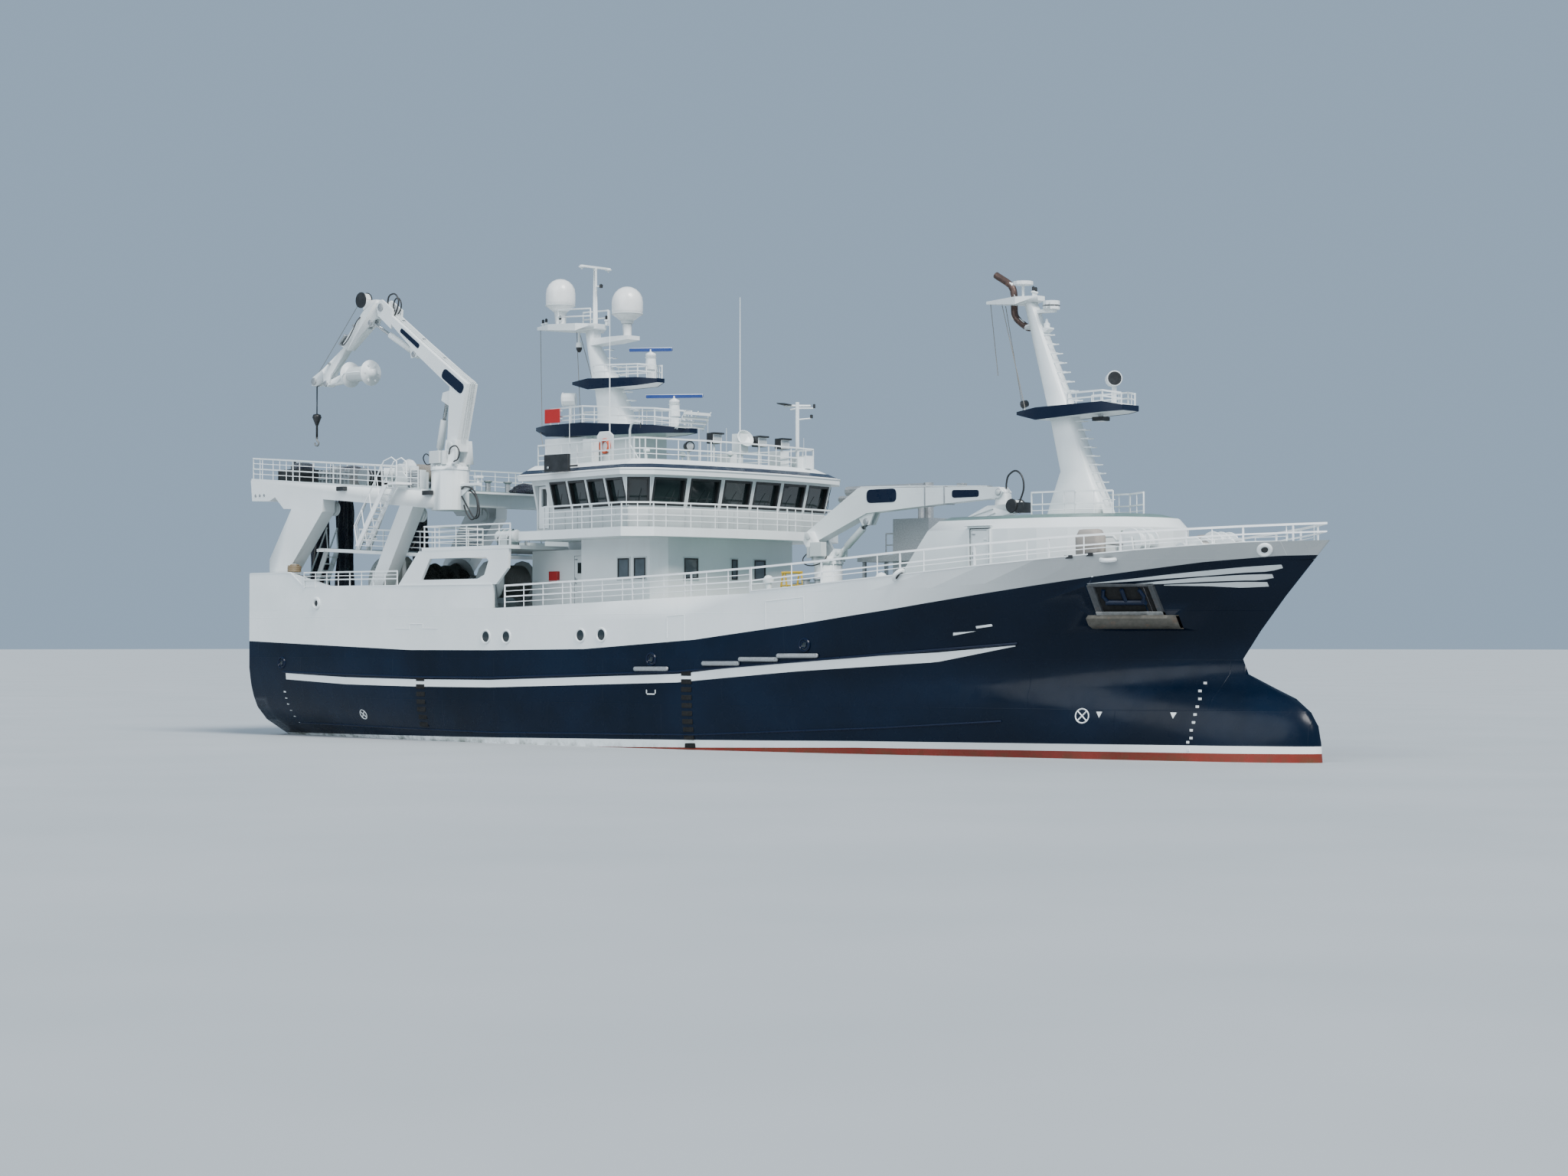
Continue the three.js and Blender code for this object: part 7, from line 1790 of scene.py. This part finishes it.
# Nets: the hanging net aft, bundles under the gantry and the drums' windings

def makeHangingNet(name, at, low, high, radii, seed, stands, look):
    shape = bmesh.new()
    rows, count = [], 40
    levels = 34
    for i in range(levels):
        t = i / (levels - 1)
        radius = along(radii, t)
        row = []
        for a in anglesOf(count):
            fold = 0.80 + 0.14 * math.sin(a * 7 + seed + t * 3.0) + 0.06 * math.sin(a * 13 - t * 8)
            wobble = 0.06 * noise.noise(Vector((math.cos(a) * 2, math.sin(a) * 2, t * 7 + seed)))
            r = radius * (fold + wobble)
            row.append((at[0] + r * math.cos(a), at[1] + r * math.sin(a), lerp(low, high, t)))
        rows.append(row)
    addLoft(shape, rows)
    finishPiece(shape, name, look, smoothAngle=60, stands=stands)


# each net's place, foot, top, radii by share of its height and seed
hangingNets = {
    "hanging_net": ((-24.05, -2.72), 5.34, 10.84, [(0, 0.5), (0.16, 0.5), (0.4, 0.42), (0.62, 0.47),
                                                   (0.85, 0.36), (1, 0.26)], 1.0),
    "net_bundle_aft": ((-22.45, -2.6), 5.36, 10.66, [(0, 0.42), (0.2, 0.46), (0.5, 0.38), (0.8, 0.42),
                                                     (1, 0.25)], 3.3),
    "net_bundle_mid": ((-18.0, -2.4), 7.84, 9.75, [(0, 0.5), (0.3, 0.62), (0.8, 0.5), (1, 0.3)], 4.0),
    "deck_tarpaulin": ((-18.2, -3.0), 5.36, 7.6, [(0, 0.72), (0.6, 0.62), (0.9, 0.5), (1, 0.3)], 7.0),
    "net_bundle_fore": ((-16.4, -4.0), 8.2, 9.75, [(0, 0.3), (0.3, 0.46), (0.8, 0.4), (1, 0.22)], 5.5),
    "net_bundle_port": ((-23.9, 2.9), 5.36, 9.0, [(0, 0.6), (0.4, 0.45), (0.8, 0.4), (1, 0.2)], 2.5),
}


def makeNets():
    for name, (at, low, high, radii, seed) in hangingNets.items():
        stands = ("stern_net",) if name == "hanging_net" else ()
        makeHangingNet(name, at, low, high, radii, seed, stands,
                       "tarp" if name == "deck_tarpaulin" else "net")
    cords = bmesh.new()
    for at, low, high, reach in (((-24.05, -2.72), 5.4, 10.7, 0.42), ((-18.0, -2.4), 7.9, 9.7, 0.5)):
        for start in range(5):
            path = []
            for i in range(26):
                t = i / 25
                a = start * 1.3 + t * 2.2
                path.append((at[0] + reach * (0.95 - 0.25 * t) * math.cos(a),
                             at[1] + reach * (0.95 - 0.25 * t) * math.sin(a), lerp(low, high, t)))
            addTube(cords, path, 0.025, 6)
    finishPiece(cords, "net_lacing", "greyRope")


def addWinding(shape, centre, width, radius, strand, seed, turns):
    # rope laid round a drum whose axis is along y, turn beside turn
    count = turns * 22
    path = []
    for i in range(count + 1):
        a = i * math.tau / 22
        across = lerp(-width / 2, width / 2, i / count)
        r = radius + strand * 0.35 * noise.noise(Vector((a * 0.4, 0, seed)))
        path.append((centre[0] + r * math.cos(a), centre[1] + across, centre[2] + r * math.sin(a)))
    addTube(shape, path, strand, 6)


drumSpec = {
    "flanges": [(0, -2.27), (0.12, -2.27), (0.12, -2.15), (0.18, -2.145), (0.18, -2.1), (1.1, -2.1),
                (1.1, -2.03), (0.3, -2.02), (0.3, 2.02), (1.1, 2.03), (1.1, 2.1), (0.18, 2.1),
                (0.18, 2.145), (0.12, 2.15), (0.12, 2.27), (0, 2.27)],
    "trawlDrums": (("trawl_drum_starboard", -1), ("trawl_drum_port", 1)),
}


def makeWindings():
    spec = drumSpec
    # the net drum: flanges and shaft in steel, netting between them
    flanges = bmesh.new()
    x, z = -20.4, 6.55
    addTurned(flanges, spec["flanges"], (x, 0, z), (0, 1, 0), 36)
    for side in (-2.12, 2.12):
        for a in anglesOf(8):
            addRod(flanges, (x + 0.2 * math.cos(a), side * 0.997, z + 0.2 * math.sin(a)),
                   (x + 1.0 * math.cos(a), side * 0.997, z + 1.0 * math.sin(a)), 0.02, 4)
    finishPiece(flanges, "net_drum_flanges", "white", body="net_drum", stands=("net_drum",))
    roll = bmesh.new()
    rows = []
    for i in range(49):
        t = i / 48
        y = lerp(-2.02, 2.02, t)
        row = []
        for a in anglesOf(40):
            ripple = 0.05 * math.sin(t * 40 + math.sin(a * 2))
            r = 0.8 + ripple + 0.12 * noise.noise(Vector((math.cos(a) * 1.5, math.sin(a) * 1.5, t * 9)))
            row.append((x + r * math.cos(a), y, z + r * math.sin(a)))
        rows.append(row)
    addLoft(roll, rows)
    finishPiece(roll, "net_roll", "greyNet", body="net_drum", smoothAngle=80)
    top = bmesh.new()
    addWinding(top, (-17.9, -2.0, 11.15), 1.56, 0.33, 0.035, 1.0, 22)
    finishPiece(top, "top_drum_rope", "greyRope", body="net_drum_top")
    for name, sign in spec["trawlDrums"]:
        wire = bmesh.new()
        addWinding(wire, (-11.6, sign * 3.0, 6.45), 1.56, 0.64, 0.03, sign * 2.0, 26)
        finishPiece(wire, name + "_wire", "wire", body=name)


makeNets()
makeWindings()
print("gantry gear, nets and windings made")


# Thinner bars and posts between those of the CAD rails

deckHeights = [(-25.5, 5.33), (-9, 5.33), (-1.6, 5.56), (4, 5.74), (12, 5.8), (17, 6.1), (21, 6.45),
               (25.6, 6.75)]


def addRailFill(shape, path, height, pitch, levels=(0.25, 0.75), bar=0.016, post=0.018):
    for share in levels:
        addTube(shape, [(x, y, z + height * share) for x, y, z in path], bar, 6)
    for a, b in zip(path, path[1:]):
        a, b = Vector(a), Vector(b)
        count = max(1, round((b - a).length / pitch))
        for k in range(count):
            p = lerp(a, b, (k + 0.5) / count)
            addRod(shape, p - Vector((0, 0, 0.02)), p + Vector((0, 0, height)), post, 6)


railSpec = {
    "sheer": [(4.6, 5.82), (6.9, 5.96), (11.9, 6.34), (16.8, 6.76), (20.7, 7.08), (23.3, 7.26),
              (25.6, 7.34)],
    "top": [(-9, 6.2), (-1.6, 6.42), (3.3, 6.6), (7.6, 6.83), (12.2, 7.15), (17.5, 7.5), (22.2, 7.74),
            (25.6, 7.9)],
    "runs": [
        ([(-21.4, -5.64, 6.3), (-15.3, -5.64, 6.27)], 0.62, 1.5, (0.75,)),
        ([(-8.45, -5.62, 7.8), (-13.62, -5.62, 7.8), (-13.62, -2.5, 7.8)], 0.85, 1.3),
        ([(-19.2, -4.45, 7.83), (-14.5, -4.45, 7.6)], 0.9, 1.5),
        ([(-11.2, -0.95, 12.86), (-8.6, -1.6, 12.83), (-5.2, -0.87, 12.6), (-4.2, -0.2, 12.48)], 0.68, 1.2,
         (0.25,), 0.014, 0.016),
        ([(-8.9, -0.7, 14.69), (-6.5, -0.55, 14.6), (-5.85, -0.18, 14.53)], 0.55, 1.2, (), 0.014, 0.016),
        ([(15.2, -0.72, 12.3), (16.75, -0.75, 12.32), (17.3, -0.4, 12.22)], 0.4, 0.8, (), 0.014, 0.016),
        ([(17.3, -0.9, 8.36), (16.2, -1.6, 8.36), (14.3, -1.6, 8.36)], 0.85, 1.0, (0.25,), 0.014, 0.016),
    ],
}


def makeRailFill():
    spec = railSpec
    top = spec["top"]
    shape = bmesh.new()
    for first, last, floor, inset, bars, pitch in ((-8.8, 4.5, deckHeights, 0.12, (0.25, 0.75), 1.1),
                                                   (4.6, 24.3, spec["sheer"], 0.07, (0.3,), 1.9)):
        xs = steps(first, last, pitch)
        feet = [Vector((x, hullSide(x, min(along(floor, x), 7.25) - 0.03) + inset, along(floor, x)))
                for x in xs]
        for share in bars:
            addTube(shape, [(p.x, p.y, lerp(p.z, along(top, p.x), share)) for p in feet], 0.016, 6)
        for p in feet:
            addRod(shape, p, (p.x, p.y, along(top, p.x)), 0.02, 6)
    for run in spec["runs"]:
        addRailFill(shape, *run)
    finishPiece(shape, "side_rail_bars", "railWhiteHighlit", bothSides=True)
    shape = bmesh.new()
    edge = 5.14
    addRailFill(shape, [(x, y, gantryTop(x) + 0.065) for x, y in ((-14.6, -edge), (-25.58, -edge),
                                                                  (-25.58, edge), (-14.6, edge))], 0.9, 0.95)
    plan = [(x, y, 8.33) for x, y in wheelPlan(0.36, -8.35)]
    side = along([(plan[1][0], plan[1][1]), (plan[2][0], plan[2][1])], -6.9)
    ring = [(-6.9, side, 8.33)] + [plan[i] for i in (2, 3, 5, 7, 9, 10)] + [(-6.9, -side, 8.33)]
    addRailFill(shape, ring, 0.92, 1.2)
    plan = [(x, y, 10.95) for x, y in wheelPlan(-0.58, -8.3)]
    addRailFill(shape, [plan[i] for i in (0, 2, 3, 5, 7, 9, 10, len(plan) - 1)], 0.8, 1.1, (0.25,))
    finishPiece(shape, "round_rail_bars", "railWhiteHighlit")


makeRailFill()


# Gear on the working deck and the boat deck

def makeRopeCoil(name, centre, radius, turns, diameter):
    # the turns rise from the bulwark, and the end goes down inside them to the shelf
    x, y, z = centre
    pitch = diameter * 1.05
    route = [(k / 18, radius, z + pitch * k / 18) for k in range(turns * 18 + 1)]
    top = z + pitch * turns
    route += [(turns + t, lerp(radius, 0.16, t), top + pitch * math.sin(t * math.pi / 2))
              for t in steps(0.05, 1, 0.05)]
    route += [(turns + 1 + t, 0.16, lerp(top + pitch, z - 0.02, t * t * (3 - 2 * t)))
              for t in steps(0.05, 1, 0.05)]
    points = [Vector((x - r * math.sin(t * math.tau), y - r * math.cos(t * math.tau), h)) for t, r,
              h in route]
    shape = bmesh.new()
    addTube(shape, points, diameter / 2, 8)
    piece = finishPiece(shape, name, "rope")


deckSpec = {
    "raftStrap": [(5.3, 7.82), (5.3, 8.1), (5.02, 8.46), (4.72, 8.1), (4.72, 7.82)],
    "heaps": [((-13.4, -3.5, 5.85), (0.55, 0.5, 0.55), 4.4), ((-18.2, 0.6, 5.6), (1.2, 1.5, 0.8), 6.1),
              ((-14.8, 3.2, 5.5), (0.9, 0.9, 0.6), 2.9)],
    "coilAt": (-22.55, -5.27),
    "raftCap": [(0.27, -0.01), (0.24, 0.06), (0.14, 0.11), (0, 0.12)],
    "bollardPlaces": ((-23.2, 4.4), (-8.9, 5.0), (-8.9, -5.0), (17.6, 4.35), (17.6, -4.35), (22.4, 1.5),
                      (22.4, -1.5), (7.0, -5.0), (7.0, 5.0)),
    "bollard": [(0.13, -0.05), (0.13, 0.42), (0.17, 0.44), (0.17, 0.5), (0.1, 0.53), (0, 0.53)],
    "vents": ((8.9, -3.4, 5.78, 0.22), (4.2, -4.3, 5.74, 0.2), (17.9, -1.9, 6.15, 0.18),
              (18.9, 2.4, 6.25, 0.18), (-9.3, 2.9, 7.8, 0.22), (-12.9, 3.6, 7.8, 0.25), (-12.9, 1.9, 7.8,
                                                                                         0.2)),
    "hatches": ((4.6, 6.2, -2.6, -1.0, 5.72), (-16.5, -14.6, -1.2, 1.2, 5.33), (-13.6, -12.4, -1.0, 1.0,
                                                                                7.8)),
    "tank": [(0, 0), (0.42, 0.0), (0.45, 0.1), (0.45, 1.5), (0.3, 1.7), (0, 1.75)],
    "coilPost": [(0.13, 0), (0.1, 0.06), (0.1, 1.57), (0.33, 1.58), (0.33, 1.61), (0.1, 1.62), (0.1, 1.98),
                 (0, 2.0)],
}


def makeDeckGear():
    spec = deckSpec
    white, grey, dark, net = newShapes(4)
    # life raft bands and end caps
    for sign in (-1, 1):
        for x in (-9.42, -9.08):
            addRing(white, (x, sign * 5.0, 8.16), (1, 0, 0), 0.272, 0.016, 24, 6)
        for x, way in ((-9.75, -1), (-8.75, 1)):
            addTurned(white, spec["raftCap"], (x, sign * 5.0, 8.16), (way, 0, 0), 20)
        for x in (-9.55, -8.95):
            addTube(dark, [(x, sign * y, z) for y, z in spec["raftStrap"]], 0.02, 6)
    # bollards and chocks
    for x, y in spec["bollardPlaces"]:
        base = along(deckHeights, x)
        y = inboard(x + 0.5, y, base + 0.05, 0.5)
        for off in (-0.28, 0.28):
            addTurned(grey, spec["bollard"], (x + off, y, base), (0, 0, 1), 14)
        addBox(grey, (x - 0.5, y - 0.2, base - 0.03), (x + 0.5, y + 0.2, base + 0.05))
    # mushroom vents and hatches
    for x, y, z, r in spec["vents"]:
        addTurned(white, [(r * 0.6, -0.05), (r * 0.6, 0.42), (r, 0.44), (r, 0.55), (r * 0.6, 0.66),
                          (0, 0.7)], (x, y, z), (0, 0, 1), 16)
    for x0, x1, y0, y1, z in spec["hatches"]:
        addBox(white, (x0, y0, z - 0.05), (x1, y1, z + 0.3))
        for x in (x0 + 0.2, x1 - 0.2):
            for near, far in ((y0 - 0.06, y0 + 0.05), (y1 - 0.05, y1 + 0.06)):
                addBox(grey, (x - 0.05, near, z + 0.1), (x + 0.05, far, z + 0.36))
    # red box and rail on the house side
    for sign in (-1, 1):
        addTube(white, [(-9.5, sign * 3.3, 6.4), (-9.5, sign * 3.42, 6.42), (-7.6, sign * 3.42, 6.42),
                        (-7.6, sign * 3.3, 6.4)], 0.025, 6)
    # net heap and gear seen through the side screens
    for at, size, seed in spec["heaps"]:
        addBumps(net, at, size, seed)
    for k in range(6):
        addRing(grey, (-13.1 + 0.09 * k, -3.5, 6.35 + 0.05 * (k % 2)), (1, 0.2, 0.1), 0.3, 0.028, 18, 5)
    # pipes and a tank on the well deck
    addTurned(grey, spec["tank"], (9.2, 4.3, 5.78), (0, 0, 1), 20)
    for y in (3.1, 3.5):
        addTube(grey, [(2.4, y, 6.2), (5.5, y, 6.25), (8.4, y, 6.2), (8.6, y, 5.8)], 0.09, 10)
    # post with a shelf level with the bulwark, for the coiled rope
    addTurned(white, spec["coilPost"], (*spec["coilAt"], 5.33), (0, 0, 1), 28)
    finishPiece(white, "deck_white_gear", "white", bevel=0.012)
    finishPiece(grey, "deck_grey_gear", "galvanised", bevel=0.01)
    finishPiece(dark, "deck_dark_gear", "black")
    finishPiece(net, "deck_net_heaps", "greyNet", smoothAngle=80)
    makeRopeCoil("aft_rope_coil", (*spec["coilAt"], 6.965), 0.275, 5, 0.05)
    box = bmesh.new()
    for sign in (-1, 1):
        addBox(box, (-8.6, sign * 3.3 - 0.14, 6.36), (-8.1, sign * 3.3 + 0.14, 6.8))
    finishPiece(box, "fire_boxes", "red", bevel=0.02)
    trestle = bmesh.new()
    for x in (4.7, 5.5):
        addTube(trestle, [(x - 0.2, -4.0, 5.74), (x - 0.05, -4.0, 6.5), (x + 0.05, -4.0, 6.5),
                          (x + 0.2, -4.0, 5.74)], 0.035, 8)
    addRod(trestle, (4.6, -4.0, 6.52), (5.6, -4.0, 6.52), 0.045, 8)
    addRod(trestle, (4.55, -4.0, 6.05), (5.65, -4.0, 6.05), 0.03, 8)
    finishPiece(trestle, "deck_trestle", "yellow")


makeDeckGear()


# Forecastle gear round the windlass and the anchor chain

foredeckSpec = {
    "drumAt": (20.95, 7.05),
    "winchAt": (19.5, 7.35),
    "drumFlange": [(0.12, -0.02), (0.45, -0.02), (0.46, 0.02), (0.12, 0.03)],
    "hoodRows": ((-0.3, 0.8), (-0.24, 1.0), (0.0, 1.06), (0.24, 1.0), (0.3, 0.8)),
    "hoodSection": [(0.44, -0.5), (0.46, 0.2), (0.3, 0.45), (-0.3, 0.45), (-0.46, 0.2), (-0.44, -0.5),
                    (0, -0.53)],
    "winchDisc": [(0, -0.03), (0.46, -0.03), (0.47, 0.0), (0.46, 0.03), (0, 0.03)],
    "winchFrame": [(19.15, 6.3), (19.85, 6.3), (19.65, 7.5), (19.35, 7.5)],
    "motorCap": [(0.18, 0), (0.2, 0.05), (0.2, 0.22), (0, 0.26)],
    "vent": [(0.14, 0), (0.14, 0.55), (0.22, 0.6), (0.22, 0.68), (0, 0.7)],
    "chock": [(21.2, 6.4), (22.3, 6.5), (22.6, 7.2), (22.4, 7.25), (21.8, 6.9)],
    "capstan": [(0.3, 0), (0.3, 0.5), (0.36, 0.55), (0.36, 0.66), (0.2, 0.74), (0, 0.76)],
    "chain": [(20.7, 1.02, 7.36), (20.0, 1.9, 6.95), (19.4, 2.8, 6.55)],
}


def makeForedeckGear():
    spec = foredeckSpec
    grey, white, dark = newShapes(3)
    drumX, drumZ = spec["drumAt"]
    winchX, winchZ = spec["winchAt"]
    for y in (-1.02, 1.02):
        for k in range(7):
            addRing(dark, (drumX, y - 0.24 + 0.08 * k, drumZ), (0, 1, 0), 0.34, 0.03, 22, 5)
        for side in (-0.33, 0.33):
            addTurned(white, spec["drumFlange"], (drumX, y + side, drumZ), (0, 1, 0), 24)
    canvas, green = newShapes(2)
    for sign in (-1, 1):
        hood = []
        for across, fat in spec["hoodRows"]:
            ring = spec["hoodSection"]
            hood.append([(18.25 + fat * a, sign * 3.45 + across, 7.3 + fat * b) for a, b in ring])
        addLoft(canvas, hood)
        addBox(white, (18.0, sign * 3.45 - 0.22, 6.15), (18.5, sign * 3.45 + 0.22, 7.2))
        addRod(dark, (18.5, sign * 3.3, 7.3), (19.6, sign * 2.8, 7.2), 0.035, 8)
        addRod(white, (winchX, sign * 2.9, winchZ), (winchX, sign * 1.9, winchZ), 0.3, 20)
        for y in (2.9, 2.4, 1.9):
            addTurned(white, spec["winchDisc"], (winchX, sign * y, winchZ), (0, 1, 0), 24)
        for y in (3.02, 1.8):
            addPrism(white, spec["winchFrame"], "y", sign * y - 0.04, sign * y + 0.04)
        addRod(green, (19.05, sign * 2.5, 6.4), (19.05, sign * 2.5, 7.55), 0.16, 14)
        addTurned(green, spec["motorCap"], (19.05, sign * 2.5, 7.5), (0, 0, 1), 14)
        addTurned(white, spec["vent"], (20.1, inboard(20.1, sign * 3.1, 6.4), 6.35), (0, 0, 1), 14)
        side = inboard(22.6, sign * 2.0, 6.6, 0.3)
        addPrism(white, spec["chock"], "y", side - 0.07, side + 0.07)
    finishPiece(canvas, "canvas_covers", "canvas", smoothAngle=70)
    finishPiece(green, "winch_motors", "green")
    addTurned(grey, spec["capstan"], (19.6, 0, 6.3), (0, 0, 1), 18)
    for y in (-2.5, 2.5):
        addTube(white, [(18.0, y, 6.2), (18.0, y, 7.4), (18.15, y, 7.55), (18.5, y, 7.55), (18.65, y, 7.4),
                        (18.65, y, 6.2)], 0.05, 8)
    for x in (21.9, 22.2):
        for y in (-0.9, 0.9):
            addRod(white, (x, y, 6.5), (x, y, 7.1), 0.09, 12)
    finishPiece(grey, "foredeck_grey_gear", "galvanised", bevel=0.015)
    finishPiece(white, "foredeck_white_gear", "white", bevel=0.01)
    finishPiece(dark, "windlass_wire", "wire")
    link = bmesh.new()
    rows = []
    for a in anglesOf(12):
        centre = Vector((0.10 * math.cos(a), 0, 0.06 * math.sin(a)))
        out = Vector((math.cos(a), 0, math.sin(a)))
        rows.append([centre + (out * math.cos(b) + Vector((0, 1, 0)) * math.sin(b)) * 0.022
                     for b in anglesOf(5)])
    addLoft(link, rows, looped=True)
    for sign, name in ((-1, "anchor_chain_starboard"), (1, "anchor_chain_port")):
        unit = link.copy() if sign < 0 else link
        placeAlong(name, [(x, sign * y, z) for x, y, z in spec["chain"]], unit, 16, "wornSteel")


makeForedeckGear()
print("deck gear made")


# Camera at the photograph's angle, pale floor at the waterline, soft light

cameraSpec = {"place": (77.95, -83.1, 3.91), "heading": 42.8, "pitch": 1.09, "lens": 67.6}


def makeStage():
    spec = cameraSpec
    camera = bpy.data.objects.new("camera", bpy.data.cameras.new("camera"))
    camera.data.lens = spec["lens"]
    camera.data.clip_end = 2000
    camera.location = Vector(spec["place"]) * modelScale
    heading, pitch = math.radians(spec["heading"]), math.radians(spec["pitch"])
    forward = Vector((-math.sin(heading) * math.cos(pitch), math.cos(heading) * math.cos(pitch),
                      math.sin(pitch)))
    camera.rotation_euler = forward.to_track_quat("-Z", "Y").to_euler()
    toScene(camera)
    bpy.context.scene.camera = camera

    shape = bmesh.new()
    reach = 900
    corners = [shape.verts.new((x, y, 0)) for x, y in ((-reach, -reach), (reach, -reach), (reach, reach),
                                                       (-reach, reach))]
    shape.faces.new(corners)
    mesh = bpy.data.meshes.new("floor")
    shape.to_mesh(mesh)
    shape.free()
    floor = bpy.data.objects.new("floor", mesh)
    toScene(floor)
    material, tree, shader, place = newMaterial("pale floor")
    tone = band(tree, noiseOf(tree, place, 0.2, 3), 0.3, 0.7)
    setColour(tree, shader, blendColour(tree, tone, (0.40, 0.43, 0.45), (0.44, 0.47, 0.49)))
    shader.inputs["Roughness"].default_value = 0.55
    mesh.materials.append(material)

    world = bpy.data.worlds.new("soft sky")
    bpy.context.scene.world = world
    world.use_nodes = True
    background = world.node_tree.nodes["Background"]
    background.inputs["Color"].default_value = (0.34, 0.47, 0.62, 1)
    background.inputs["Strength"].default_value = 0.95
    for name, heading, height, energy, spread, colour in (("key", 78, 50, 4.6, 25, (1.0, 0.98, 0.95)),
                                                          ("fill", 5, 30, 1.9, 50, (0.93, 0.97, 1.0))):
        lamp = bpy.data.lights.new(name, "SUN")
        lamp.energy = energy
        lamp.angle = math.radians(spread)
        lamp.color = colour
        light = bpy.data.objects.new(name, lamp)
        a, e = math.radians(heading), math.radians(height)
        source = Vector((math.sin(a) * math.cos(e), -math.cos(a) * math.cos(e), math.sin(e)))
        light.rotation_euler = (-source).to_track_quat("-Z", "Y").to_euler()
        bpy.context.scene.collection.objects.link(light)


makeStage()
print("stage made")
